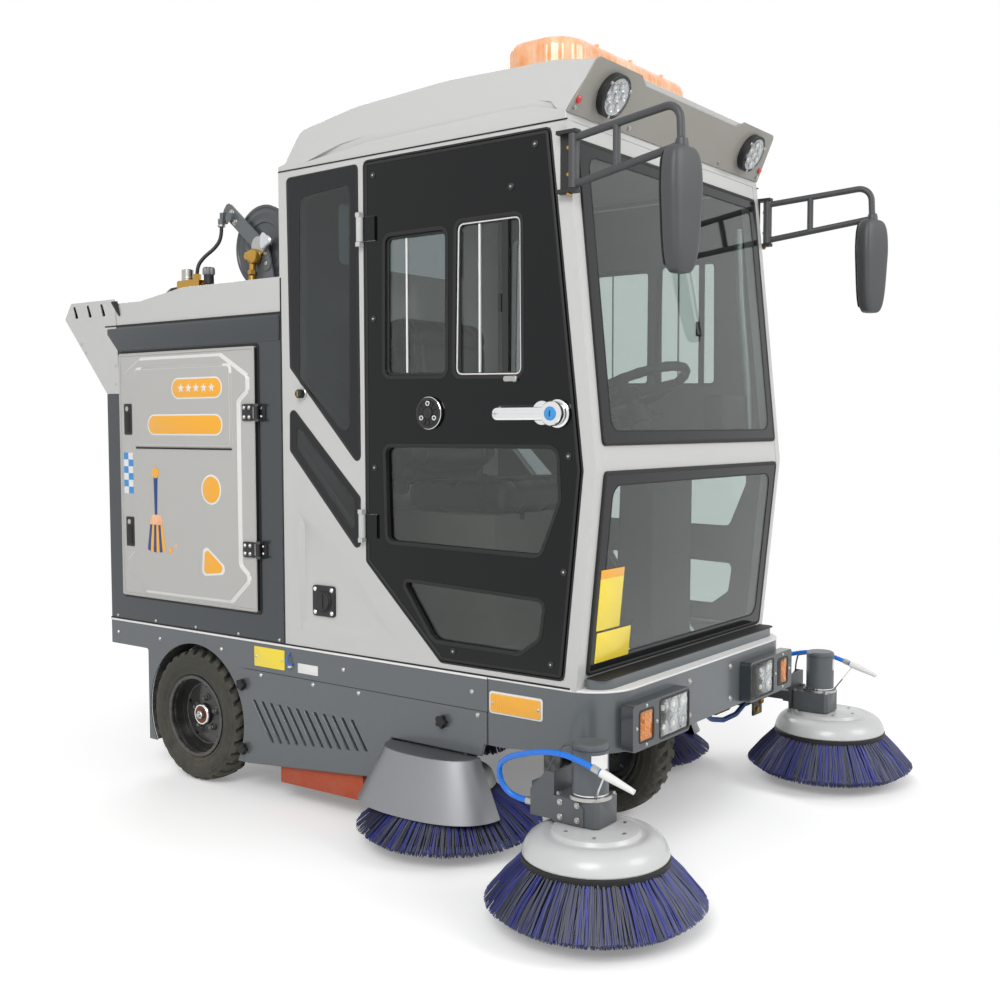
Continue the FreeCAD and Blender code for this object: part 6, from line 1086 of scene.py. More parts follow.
@detail(pair, [GLASS_PRINT, SEAL, BRASS, MOULDED, SEAM_SHADOW, STEEL], "chassis", "frame_black")
def cab_side_trim(shape):
    """Cab side: dark print and rubber of the quarter panes, the door frame's rubber, key knob, the gutter line's
    painted shadow under the roof and the seam behind the door."""
    for frame_corners, hole_corners, radius in zip(QUARTER_FRAMES, QUARTER_HOLES, (24, 12)):
        outer = rounded([corner + (12,) for corner in frame_corners], steps=6)
        clear = rounded([corner + (radius,) for corner in hole_corners], steps=6)
        shape.add(between(inset(outer, 1.2), clear, 523.05, 523.5), 0, False)
        shape.add(band(outer, [(-3, 522.6), (-2.4, 524.4), (2.2, 525.2), (4.6, 523.6), (4.6, 522.6)]), 1)
        shape.add(band(clear, [(-3, 523.2), (-2, 524.3), (1.5, 524.3), (2.4, 523.0), (-3, 522.9)]), 1)
    # rubber in the gap round the door's leaf, on the frame
    gap = inset(rounded(DOOR_EDGE), -5)
    shape.add(band(gap, [(-3, 521), (-3, 523.7), (2, 524.0), (3.4, 521)]), 1)
    # key knob of the slanted strip, in its brass collar
    knob = (490.0, 0, 1204)
    shape.add(turned([(17, 522.6), (17, 526), (14.5, 528), (12.5, 528)], knob, SIDE, 28), 5)
    shape.add(turned([(12.5, 527), (12.5, 541), (10.5, 543.5), (5, 544)], knob, SIDE, 28), 3)
    shape.add(block((487.5, -544.4, 1196), (492.5, -542, 1212)), 2)
    # gutter line under the roof as a painted shadow line, and the dark seam down the cab's rear edge
    shape.add(block((401, -524.6, 1833), (1392, -522.6, 1836.5)), 4)
    shape.add(block((401.5, -524.2, 478), (406, -521.5, 1537)), 4)


@detail(piece, [MOULDED, CHROME], "chassis", "black_plastic", 0.4)
def charging_port_right(shape):
    """Charging port: square flange, threaded collar, round cap with its grip bars, and four screws."""
    centre = np.array((558.0, 0, 616))
    plate = rounded([(-44, -44), (44, -44), (44, 44), (-44, 44)], 9)
    shape.add(eased(plate, 511.4, 517.5, 1.5, SIDE, centre), 0)
    shape.add(turned([(31, 517), (31, 520.5), (29.5, 522), (27.5, 522), (27.5, 524), (25.8, 525.6), (16, 526.4)],
                     centre, SIDE, 40), 0)
    for level in (518.4, 520):
        shape.add(turned([(30, level - 0.6), (31.8, level), (30, level + 0.6)], centre, SIDE, 40), 0)
    angle = np.arange(24) * math.pi / 12
    grip = slab(np.array([(-1.2, -1.4), (1.2, -1.4), (1.2, 1.4), (-1.2, 1.4)], float), [(0, 0), (0, 4.6)], SIDE)
    shape.add(copies(grip, [centre + (27.4 * math.cos(a), -520.8, 27.4 * math.sin(a)) for a in angle]), 0, False)
    shape.add(block((552, -528.2, 596), (564, -524, 636)), 0)
    shape.screws(SIDE, 4.6, 3.4, [centre + (33 * i, -517.4, 33 * j) for i in (-1, 1) for j in (-1, 1)], 1, False)


@detail(piece, [GLASS_PRINT, SEAL, YELLOW, ORANGE, STEEL], "chassis", "frame_black")
def cab_front_trim(shape):
    """Front windows: dark border, rubber bead and blank plates, and two bolts of the header."""
    for plane, low, high in ((HIGH, 1069, 1790), (LOW, 510, 1000)):
        v0, v1 = ((z - KNEE[2]) / plane[1][2] for z in (low, high))
        pane_edge = oblong(-483, v0, 483, v1, 9)
        clear = rounded([(-447, v0 + 30), (447, v0 + 30), (447, v1 - 30), (-447, v1 - 30)], 34)
        shape.add(between(inset(pane_edge, 1.5), clear, 5.6, 6.1, plane, KNEE), 0, False)
        shape.add(band(pane_edge, [(-4.5, 0.4), (-4, 5.8), (-1, 7.6), (3.5, 7.4), (6.5, 5.9), (6.5, 5.3), (0, 5.3),
                                   (0, 0.4)], plane, KNEE), 1)
        shape.add(band(clear, [(-1.6, 5.8), (-1.2, 6.9), (1.4, 6.9), (2.2, 5.3)], plane, KNEE), 1)
    for low_y, high_y, low_z, high_z, paint in ((-467, -360, 614, 742, 2), (-467, -360, 742, 764, 3),
                                                (-462, -303, 533, 608, 2)):
        v0, v1 = ((z - KNEE[2]) / LOW[1][2] for z in (low_z, high_z))
        shape.add(eased(oblong(low_y, v0, high_y, v1, 2), 6.2, 7.6, 0.3, LOW, KNEE), paint, False)
    shape.screws(HIGH, 5, 4, [KNEE + (-87, y, 812) for y in (-120, 90)], 4)


# Lamps, light bar and visor
def led_cups(plane, origin, spots, size):
    """Reflector cups, each a bright bowl with a chip on a square base."""
    bowl = turned([(size, 0), (size, 1.6), (size * 0.9, 1.8), (size * 0.45, -1.6), (size * 0.42, -1.8)], ORIGIN,
                  plane, 20)
    chip = slab(circle((0, 0), size * 0.36, 8), [(0, -1.8), (0, 0.2), (0.8, 1.0)], plane)
    where = [origin + u * plane[0] + v * plane[1] for u, v in spots]
    return copies(bowl, where), copies(chip, where)


@detail(pair, [MOULDED, SILVER, LED, LENS, STEEL], "chassis", "lamp_black")
def roof_lamp(shape):
    """Round work lamps of the visor: black rim, bright dish, seven LEDs in their cups and a clear front."""
    face = np.array((1439.9, -384.0, 1906.0))
    rim = [(53.4, -16), (53.6, -2), (53.4, 1.6), (51, 3.2), (46, 3.2), (44.5, 0.2), (30, 0.2), (30, -16)]
    shape.add(turned(rim, face, LAMP, 56), 0)
    shape.add(turned([(44.4, 0.1), (44.4, 0.7), (30, 1.0), (10, 1.0)], face, LAMP, 48), 1)
    ring = [(0, 0)] + [(27.5 * math.cos(a), 27.5 * math.sin(a)) for a in np.arange(6) * math.pi / 3 + 0.3]
    bowls, chips = led_cups(LAMP, face + 1.6 * LAMP[2], ring, 12.2)
    shape.add(bowls, 1).add(chips, 2)
    shape.add(turned([(46, 3.4), (46, 4.4), (36, 5.4), (12, 6.0)], face, LAMP, 48), 3)
    shape.screws(LAMP, 3.2, 3, [face + 49.6 * (math.cos(a) * LAMP[0] + math.sin(a) * LAMP[1]) + 2.6 * LAMP[2]
                                for a in np.arange(3) * 2.1 + 0.5], 4, False)


@detail(pair, [MOULDED, SILVER, LED, LENS, AMBER_LENS, AMBER, AMBER_LED, STEEL], "chassis", "lamp_black")
def headlamp(shape):
    """Headlamp: wide clear lens over six LEDs in two rows, an amber lens beside it over twelve, frames and screws."""
    frame_section = [(-4, 1544.6), (-3.4, 1546.4), (1.4, 1546.4), (2, 1544.6)]
    main = oblong(-334, 338, -186, 433, 6)
    shape.add(slab(main, [(0, 1538.6), (0, 1539.8)], FRONT), 1, False)
    spots = [(u, v) for v in (362, 409) for u in (-308, -260, -212)]
    bowls, chips = led_cups(FRONT, np.array((1540.6, 0, 0)), spots, 20)
    shape.add(bowls, 1).add(chips, 2)
    for u in (-284, -236):
        shape.add(block((1539.5, u - 1, 340), (1542.4, u + 1, 431)), 1)
    shape.add(block((1539.5, -332, 384.6), (1542.4, -188, 386.4)), 1)
    shape.add(eased(main, 1543.0, 1545.4, 0.9, FRONT), 3)
    shape.add(band(main, frame_section, FRONT), 0)
    small = oblong(-434, 348, -368, 423, 6)
    shape.add(slab(small, [(0, 1538.6), (0, 1539.8)], FRONT), 5, False)
    spots = [(u, v) for v in (360, 377, 394, 411) for u in (-421, -401, -381)]
    bowls, chips = led_cups(FRONT, np.array((1540.4, 0, 0)), spots, 6.6)
    shape.add(bowls, 5).add(chips, 6)
    shape.add(eased(small, 1542.8, 1545.6, 0.9, FRONT), 4)
    shape.add(band(small, frame_section, FRONT), 0)
    shape.screws(FRONT, 3.4, 3, [(1545, y, z) for y, z in ((-401, 338), (-401, 434), (-448, 385),
                                                           (-350, 385))], 7, False)


@detail(pair, [RED, SEAL], "chassis", "lamp_black")
def tail_lamp(shape):
    """Round tail lamps: red lens with rings, a reflector ring and a rubber seat."""
    face = np.array((-456.0, -440.0, 560.0))
    shape.add(turned([(45.4, -10), (46, 0), (43.5, 1.8), (41.5, 1.2)], face, BACK, 48), 1)
    rings = [(41.5, 0.6)] + [(41.5 - 4 * i, 1.4 + 0.5 * i + (i % 2) * 1.0) for i in range(1, 9)] + [(6, 6)]
    shape.add(turned(rings, face, BACK, 48), 0)


@detail(piece, [BEACON, MOULDED], "chassis", "amber_lens", replaces=["light_bar"])
def light_bar_lens(shape):
    """Warning light bar: lens of stadium plan whose wall carries fine upright ribs, a smooth rounded top with a
    parting line, black base and feet."""
    flat = rounded([(1031, -338), (1269, -338), (1269, 338), (1031, 338)], 92, 18)
    dense = np.concatenate([flat, flat[:1]])
    along = np.concatenate([[0], np.cumsum(np.linalg.norm(np.diff(dense, axis=0), axis=1))])
    stops = np.linspace(0, along[-1], 480, endpoint=False)
    outline = np.stack([np.interp(stops, along, dense[:, k]) for k in (0, 1)], 1)
    wave = 0.5 + 0.5 * np.cos(stops / along[-1] * 2 * math.pi * 96)
    rows = [(2.2, 2030, 0), (0.4, 2031, 0), (0, 2034, 1), (0, 2060, 1), (0, 2086, 1), (1.5, 2094, 0.6), (6, 2103, 0),
            (13, 2110, 0), (24, 2115, 0), (44, 2117.6, 0), (74, 2118.6, 0)]
    normal = inset(outline, 1) - outline
    shape.add(skin(np.stack([on(TOP, ORIGIN, outline + normal * (d + 1.3 * ribbed * wave)[:, None], z)
                             for d, z, ribbed in rows])), 0)
    base = outline[::4]
    shape.add(slab(base, [(10, 2008.2), (2, 2009), (0, 2012), (0, 2026), (2.5, 2029.5), (6, 2030.5)], TOP), 1)
    shape.add(band(base, [(-0.6, 2028.6), (-1.0, 2030), (-0.6, 2031.6), (2, 2031.6), (2, 2028.6)], TOP), 1)
    for y in (-172, 0, 172):
        shape.add(slab(oblong(1044, y - 3, 1256, y + 3, 3), [(0, 2100), (0, 2118.4), (1, 2119)], TOP), 0)
    for y in (-204, 204):
        shape.add(block((1100, y - 34, 1999), (1200, y + 34, 2009)), 1)


@detail(piece, [STEEL, RED], "chassis", "visor_paint")
def visor_details(shape):
    """Visor's bolts and its red side markers."""
    foot = np.array((1386.0, 0, 1853.5))
    bolts = [foot + y * LAMP[0] + 14 * LAMP[1] + 4.5 * LAMP[2] for y in (-500, -250, 0, 250, 500)]
    shape.screws(LAMP, 4.5, 3.5, bolts, 0)
    for y in (-497, 497):
        marker = foot + y * LAMP[0] + 34 * LAMP[1] + 4.4 * LAMP[2]
        shape.add(turned([(9, -1), (9, 2), (7, 4), (2, 4.6)], marker, LAMP, 24), 1)


# Service body
DOOR_FORM = [(-331, 1282, 10), (-240, 1331, 10), (154, 1331, 10), (277, 1263, 10), (277, 1215, 10), (236, 1185, 10),
             (236, 700, 10), (273, 672, 10), (273, 650, 10), (191, 579, 10), (-228, 577, 10), (-326, 642, 10),
             (-326, 680, 10), (-284, 712, 10), (-284, 1190, 10), (-331, 1222, 10)]


def pill(x0, z0, x1, z1):
    """Plate with half-round ends."""
    return rounded([(x0, z0), (x1, z0), (x1, z1), (x0, z1)], (z1 - z0) / 2 - 0.01, 10)


@detail(pair, [PAN, SEAM_SHADOW, PAN_HIGHLIGHT], "service_door_%s", "cab_paint")
def service_door_face(shape):
    """Pressed face of the service door: a rolled border, the raised form with wide chamfers in a lighter copy of the
    paint as a painted highlight, and the upper field that ends in a step with painted shade under it. Each is an
    outline carried inwards while it rises."""
    form = rounded([corner[:2] + (18,) for corner in DOOR_FORM], steps=6)
    # the chamfer takes the lighter copy of the paint, a painted highlight
    shape.add(slab(form, [(-1, 533.0), (0, 533.6), (10, 541.4), (10, 541.8)]), 2)
    shape.add(slab(inset(form, 9.4), [(0, 540), (0, 541.9)]), 0)
    field = rounded([(-262, 1046, 14), (208, 1046, 14), (208, 1300, 20), (-262, 1300, 20)])
    # the field's chamfer takes the same painted highlight
    shape.add(slab(field, [(-1, 541.0), (0, 541.7), (9, 545.8), (9, 546.0)]), 2)
    shape.add(slab(inset(field, 8.6), [(0, 544), (0, 546.15)]), 0)
    # painted shade under the upper field's step
    shape.add(block((-258, -543.6, 1041), (205, -541.8, 1046)), 1)
    border = rounded([(-353, 563, 5), (297, 563, 5), (297, 1345, 5), (-353, 1345, 5)])
    shape.add(band(border, [(0, 532), (0, 534.4), (1.6, 536.2), (6, 536.2), (8, 533.2), (8, 532)]), 0)


def badge(shape, x0, z0, x1, z1, low):
    """Pill badge: white outline, coloured field."""
    shape.add(eased(pill(x0, z0, x1, z1), low, low + 1.2, 0.4), 0)
    shape.add(eased(pill(x0 + 5, z0 + 5, x1 - 5, z1 - 5), low + 0.9, low + 1.9, 0.4), 1)


@detail(pair, [WHITE, ORANGE, NAVY, BEACON, SKY], "service_door_%s", "cab_paint")
def service_door_art(shape):
    """Plates and plain shapes of the door: a starred pill, a blank one, a broom, a disc, a rounded triangle and a
    checked strip, all blank of text."""
    badge(shape, -68, 1196, 170, 1262, 546.0)
    for x in (-21, 15, 51, 87, 123):
        shape.add(eased(star((x, 1229), 15), 547.4, 548.3, 0.2), 0, False)
    badge(shape, -190, 1084, 170, 1150, 546.0)
    # broom: stick, collar, fan of bristle blocks and three dust dots
    stick = rounded([(-168, 818), (-158, 818), (-152, 960), (-172, 960)], 4)
    shape.add(eased(stick, 541.8, 543.2, 0.4), 2)
    shape.add(eased(circle((-162, 965), 17, 28), 541.8, 543.4, 0.4), 1)
    collar = rounded([(-196, 800), (-128, 800), (-140, 832), (-184, 832)], 6)
    shape.add(eased(collar, 541.8, 543.6, 0.4), 3)
    for k in range(6):
        a = (k - 2.5) * 0.13
        foot = np.array((-162 + math.sin(a) * 118, 800 - math.cos(a) * 88))
        head = np.array((-162 + (k - 2.5) * 10.5, 800.0))
        across = np.array((math.cos(a), math.sin(a)))
        wedge = [head - across * 4.6, head + across * 4.6, foot + across * 8.4, foot - across * 8.4]
        shape.add(eased(rounded([tuple(p) for p in wedge[::-1]], 2.5), 541.8, 543.2, 0.4), 1 if k % 2 else 2)
    for spot, radius, steps, low, high, paint in (
            ((-92, 722), 9, 20, 541.8, 543.0, 1), ((-66, 738), 6, 16, 541.8, 543.0, 3),
            ((108, 920), 46, 40, 541.8, 542.8, 0), ((108, 920), 40, 40, 542.4, 543.6, 1)):
        shape.add(eased(circle(spot, radius, steps), low, high, 0.4), paint)
    outline = np.array([(66, 756), (198, 668), (58, 652)], float)
    inner = outline.mean(0) + (outline - outline.mean(0)) * 0.8
    for corners, radius, low, high, paint in ((outline, 18, 541.8, 542.8, 0), (inner, 14, 542.4, 543.6, 1)):
        shape.add(eased(rounded([tuple(p) + (radius,) for p in corners], steps=8), low, high, 0.4), paint)
    for i in range(6):
        for j in range(2):
            x, z = -336 + j * 24, 895 + i * 22
            tile = np.array([(x, z), (x + 24, z), (x + 24, z + 22), (x, z + 22)])
            shape.add(slab(tile, [(0, 533.1), (0, 534.0)]), 4 if (i + j) % 2 else 0, False)


@detail(pair, [MOULDED, SEAL, STEEL], "service_door_%s", "frame_black")
def service_door_locks(shape):
    """Flush paddle latches and the block hinges with their pins and screws."""
    for x0, x1, z0, z1 in ((-326, -291, 726, 816), (-326, -293, 1088, 1182)):
        shape.add(eased(oblong(x0 - 3, z0 - 3, x1 + 3, z1 + 3, 5), 533.1, 535.6, 1), 0)
        shape.add(eased(oblong(x0 + 4, z0 + 5, x1 - 5, z1 - 26, 4), 535.2, 537.6, 1.2), 1)
        shape.add(turned([(8, 535), (8, 538.4), (6.4, 539.4), (2, 539.6)], ((x0 + x1) / 2, 0, z1 - 13), SIDE, 24), 2)
    for x0, x1, z0, z1 in ((249, 297, 1128, 1178), (245, 297, 724, 770)):
        shape.add(eased(oblong(x0, z0, x1, z1, 5), 533.2, 540.5, 2), 0)
        spots = [(x, -540.4, z) for x in (x0 + 10, x0 + 32) for z in (z0 + 11, z1 - 11)]
        shape.screws(SIDE, 4.2, 3.2, spots, 2)


@detail(pair, [DARK, SEAL, MOULDED, STEEL], "chassis", "slate_paint")
def body_trim(shape):
    """Service body: glossy top rail with its slanted rear end, gasket under the cover, door's rubber, hinge leaves
    and screws."""
    rail = [(-424, 1432), (398, 1432), (398, 1360), (-372, 1360), (-424, 1412)]
    shape.add(slab(rounded([corner + (6,) for corner in rail]), [(0, 523), (0, 525.6), (4, 527.6), (6, 527.8)]), 0)
    shape.add(block((-434, -526.4, 1436), (402, -521, 1441)), 1)
    door_gap = rounded([(-355, 561, 4), (299, 561, 4), (299, 1347, 4), (-355, 1347, 4)])
    shape.add(band(door_gap, [(-9, 522.8), (-8, 525.4), (-3, 525.8), (-1, 524.6), (-1, 522.8)]), 1)
    # hinge leaves on the frame and their knuckles' caps
    for z0, z1 in ((1128, 1178), (724, 770)):
        shape.add(eased(oblong(303, z0, 334, z1, 4), 522.9, 527.2, 1.2), 2)
        shape.screws(SIDE, 4.2, 3.2, [(318, -527, z0 + 12), (318, -527, z1 - 12)], 3)
    shape.screws(SIDE, 3.4, 2.6, [(x, -523.1, 486) for x in (-400, -200, 0, 200, 380)], 3, False)


@detail(piece, [DARK, WHITE, MOULDED, STEEL], "chassis", "slate_paint")
def body_back_details(shape):
    """Back of the body: ribbed upper panel, hopper grip, number-plate holder left blank, and bolts."""
    x = 434.4
    shape.add(slab(oblong(-300, 700, 300, 1160, 18), [(-1, x - 0.9), (0, x - 0.4), (9, x + 5.6), (11, x + 5.8)],
                   BACK), 0)
    for z in (770, 840, 910, 980, 1050):
        shape.add(slab(oblong(-240, z, 240, z + 22, 10.9), [(-1, x + 5.2), (0, x + 5.5), (6, x + 9.5), (7, x + 9.6)],
                       BACK), 0)
    plate = oblong(-130, 534, 130, 590, 6)
    shape.add(eased(plate, x - 0.5, x + 2.2, 0.8, BACK), 1)
    shape.add(band(plate, [(-3, x - 0.5), (-3, x + 3.4), (3, x + 3.4), (3, x - 0.5)], BACK), 2)
    shape.screws(BACK, 4.6, 3.6, [(-x, y, z) for y in (-330, 330) for z in (690, 930, 1170)], 3)
    shape.screws(BACK, 3, 2.4, [(-x - 2, y, 562) for y in (-112, 112)], 3, False)
    grip = rounded([(-x, -90, 1110), (-x - 26, -90, 1110), (-x - 26, 90, 1110), (-x, 90, 1110)], 16, 6, loop=False)
    shape.add(tube(grip, 7, 14, (0, 0, 1)), 2)
    for y in (-90, 90):
        shape.add(turned([(14, x + 4), (14, x + 8), (11, x + 9.4)], (0, y, 1110), BACK, 24), 3)


@detail(pair, [SEAL, SEAM_SHADOW, STEEL], "chassis", "cab_paint")
def tail_details(shape):
    """Tail hood: folded dark corner, painted shade at the backs of the leaning slots, and rivets."""
    for foot in (-611, -535, -459):
        slot = [(foot, 1514, 4), (foot + 12, 1514, 4), (foot + 30, 1474, 4), (foot + 18, 1474, 4)]
        # dark sheet at the slot's back: painted shade inside the slot
        shape.add(slab(rounded(slot), [(0, 525.6), (0, 526.3)]), 1, False)
    fold = [(-400, 1519), (-364, 1519), (-349, 1462)]
    shape.add(eased(rounded([c + (3,) for c in fold]), 525.8, 528.2, 0.8), 0)
    shape.add(copies(turned([(5, 525.6), (5, 526.8), (3.4, 528), (1.4, 528.4)], ORIGIN, SIDE, 14),
                     [(x, 0, z) for x, z in ((-566, 1388), (-544, 1358), (-380, 1310), (-380, 1250))]), 2)


# Skirts and bumper
def knob(shape, x, z, low):
    """Five-lobed hand knob on a washer and stud."""
    lobes = lambda angle, height: 1 + 0.16 * np.cos(angle * 5) * (height > low + 4)
    shape.add(turned([(9, low - 1), (9, low + 4), (15, low + 5), (16, low + 8), (16, low + 15), (14, low + 18),
                      (6, low + 19)], (x, 0, z), SIDE, 60, lobes), 0)


@detail(pair, [SEAL, WHITE, SEAM_SHADOW, YELLOW, BLUE_HOSE, AMBER, CHROME, STEEL, SLATE], "chassis", "slate_paint")
def skirt_trim(shape):
    """Skirts: white line over a dark sill, seams, knobs, blank plates, tie, and the louvres' lips with painted shade
    behind their slots.
    """
    for low, high, paint in (((-437, -525.4, 468.5), (1150, -522.4, 474.5), 1),
                             ((-437, -524.6, 474.5), (1402, -521.5, 479), 2),
                             ((228, -523.9, 381.6), (1150, -522.4, 384.0), 2),
                             ((1150.4, -523.6, 300), (1152.8, -521, 473), 2)):
        shape.add(block(low, high), paint)
    for x, z in ((221, 335), (224, 139), (1007, 340)):
        knob(shape, x, z, 525 if x > 230 else 524)
    shape.screws(SIDE, 4.4, 3.4, [(x, -525.1, 372) for x in (300, 520, 700, 1120)], 7)
    shape.screws(SIDE, 4.4, 3.4, [(x, -523.1, 430) for x in (-400, -180, 120, 640, 1100)], 7)
    shape.add(eased(oblong(271, 398, 401, 457, 3), 523, 524.4, 0.4), 3)
    shape.screws(SIDE, 2.8, 2.2, [(279, -524.3, 427), (393, -524.3, 427)], 7, False)
    shape.add(eased(oblong(457, 399, 539, 427, 2), 523, 524.0, 0.3), 1)
    for index in range(12):
        low = 174 + 3.45 * index
        x = 263 + 36.7 * index
        foot = x + (293 - low) * 0.69
        slot = [(x + 1, 292, 3), (x + 10, 292, 3), (foot + 10, low + 1, 3), (foot + 1, low + 1, 3)]
        # dark sheet at the slot's back: painted shade inside the louvre
        shape.add(slab(rounded(slot), [(0, 519.5), (0, 520.4)]), 2, False)
        lip = [(x - 3.2, 292, 1), (x - 0.4, 293, 1), (foot - 0.4, low, 1), (foot - 3.2, low + 1, 1)]
        shape.add(slab(rounded(lip), [(0, 524.6), (0, 526.4), (0.6, 527)]), 8)
    # tie of a breather hose: loop, bead and tail
    loop = [(424, -524, 452), (420, -531, 440), (423, -533, 424), (430, -530, 416), (436, -525, 422)]
    shape.add(tube(rounded(loop, 5, 4, loop=False), 2.6, 8, (1, 0, 0.2)), 4)
    shape.add(turned([(5, -3), (8, 0), (5, 3)], (431, -530, 414), TOP, 20), 1)


@detail(pair, [AMBER, WHITE, STEEL], "chassis", "amber_lens")
def bumper_reflector(shape):
    """Bumper's amber reflector in its bright frame."""
    shape.add(eased(oblong(1158, 384, 1323, 441, 8), 522.9, 526.0, 1.2), 1)
    shape.add(eased(oblong(1163, 389, 1318, 436, 5), 525.6, 528.6, 1.4), 0)
    for k in range(24):
        shape.add(block((1166 + 6.1 * k, -529.3, 392), (1168.4 + 6.1 * k, -528.2, 433)), 0, False)
    shape.screws(SIDE, 3, 2.4, [(1170, -528.4, 412), (1311, -528.4, 412)], 2, False)


@detail(piece, [WHITE, SEAL], "chassis", "slate_paint")
def bumper_sill(shape):
    """Sill's light lip and the dark joint round the front."""
    plan = rounded([(1152, -523, 0.01), (1512, -523, 120), (1512, 523, 120), (1152, 523, 0.01)], steps=14)
    rows = [(2, 469), (-0.6, 469.6), (-1.4, 472), (-0.6, 474.4), (2, 474.6)]
    lip = np.stack([on(TOP, ORIGIN, inset(plan, d), z) for d, z in rows])
    shape.add(skin(lip), 0)
    step = rounded([(1429, -491, 0.01), (1480, -491, 46), (1480, 491, 46), (1429, 491, 0.01)], steps=10)
    shape.add(skin(np.stack([on(TOP, ORIGIN, inset(step, d), z) for d, z in (
        (1, 498.6), (-0.4, 499.2), (-0.8, 500.4), (0.6, 501.6), (3, 501.8))])), 1)


@detail(piece, STEEL, "chassis", "slate_paint")
def bumper_bolts(shape):
    """Four bolts of the bumper's plate."""
    spots = [(1512.2, y, z) for y in (-120, 120) for z in (350, 440)]
    shape.screws(FRONT, 5.6, 4.4, spots, 0)


# Wheel hubs, arches and underbody
def hub_fittings():
    """Hub cap with its bright ring and bolt, nuts on their studs, and the rim's two rolled ridges."""
    for name, x, y, side in WHEELS:
        shape = Form()
        plane = np.array([(1, 0, 0), (0, 0, 1), (0, side, 0)], float)
        centre = np.array((x, y, float(WHEEL_HEIGHT)))
        shape.add(turned([(33, 17), (33, 21), (31, 23.5), (27.5, 23.5), (26.5, 21)], centre, plane, 40), 0)
        shape.add(turned([(26.4, 19), (26.4, 21.6), (20, 22.2), (15, 22.2)], centre, plane, 40), 1)
        shape.add(slab(circle((0, 0), 14, 6), [(0, 21), (0, 30.5), (1.6, 32)], plane, centre), 2, False)
        shape.add(turned([(6, 31), (6, 38), (5, 39)], centre, plane, 16), 2)
        stud = turned([(6.5, 0), (6.5, 13), (5.5, 14)], ORIGIN, plane, 10)
        spots = [centre + u * plane[0] + v * plane[1] + 0.4 * plane[2] for u, v in circle((0, 0), 49, 5, 0.3)]
        shape.screws(plane, 9.5, 9, spots, 3).add(copies(stud, spots), 3, False)
        for low, high in ((46.6, 38), (33, 24)):
            ridge = [(119.6, low), (117.4, low - 0.8), (116.6, (low + high) / 2), (117.4, high + 0.8), (119.6, high)]
            shape.add(turned(ridge, centre, plane, 96, closed=True), 3)
        ring = [(98, -2.6), (98, -0.4), (96, 0.4), (94, -0.4), (94, -2.6)]
        shape.add(turned(ring, centre, plane, 96, closed=True), 3)
        piece(name % "hub", shape, [CHROME, HUB_ORANGE, STEEL, RIM], name % "wheel", "rim_steel")


hub_fittings()


@detail(pair, [SHELL], "chassis", "frame_black")
def arch_liner(shape):
    """Dark liner inside each rear wheel arch: an arc of sheet round the wheel and its inner wall."""
    angle = np.linspace(-0.42, math.pi + 0.5, 44)
    arc, inner = (np.stack([-8 + radius * np.cos(angle), WHEEL_HEIGHT + radius * np.sin(angle)], 1)
                  for radius in (229, 227))
    shape.add(slab(np.concatenate([arc, inner[::-1]]), [(0, 428), (0, 516)]))
    shape.add(slab(np.concatenate([arc, [(-215, 97)], [(200, 97)]]), [(0, 421), (0, 424)]), 0, False)


@detail(piece, [NAVY, BRASS, SHELL], "chassis", "brass")
def under_hoses(shape):
    """Oil hose that hangs in an arc under the bumper, with its brass tee, elbows and clamp plate."""
    low = [(1430, 120, 300), (1430, 170, 268), (1430, 245, 251), (1430, 330, 252), (1430, 398, 276), (1430, 430, 300)]
    shape.add(tube(rounded(low, 60, 8, loop=False), 7.5, 14, (1, 0, 0)), 0)
    for y in (206, 238, 270):
        shape.add(turned([(9, -13), (9, 13)], (1428, y, 283), ACROSS, 6), 1, False)
    shape.add(tube([(1428, 190, 283), (1428, 290, 283)], 5.5, 12, (1, 0, 0)), 1)
    shape.add(tube([(1428, 238, 283), (1428, 238, 312)], 6.5, 12, (1, 0, 0)), 1)
    shape.add(block((1424, 452, 222), (1430, 512, 330)), 2, False)
    for y, z in ((470, 240), (496, 262), (470, 284)):
        shape.add(turned([(9, 0), (9, 9), (7, 11)], (1430, y, z), FRONT, 6), 1, False)


# Seat
FRAMES = 18
CHANNEL_WIDTH = 7.0
CHANNEL_DEPTH = 6.0


def pillow(outline, half):
    """Cushion: its side outline carried across, drawn in at both ends by a superellipse of power 5."""
    middle = outline.mean(0)
    share = np.sin(np.linspace(-math.pi / 2, math.pi / 2, 15))
    layers = []
    for t in share:
        size = (1 - abs(t) ** 5) ** 0.2 if abs(t) < 1 else 0.0
        shrink = 0.86 + 0.14 * size
        flat = middle + (outline - middle) * shrink
        layers.append(np.stack([flat[:, 0], np.full(len(flat), t * half), flat[:, 1]], 1))
    return skin(np.stack(layers))


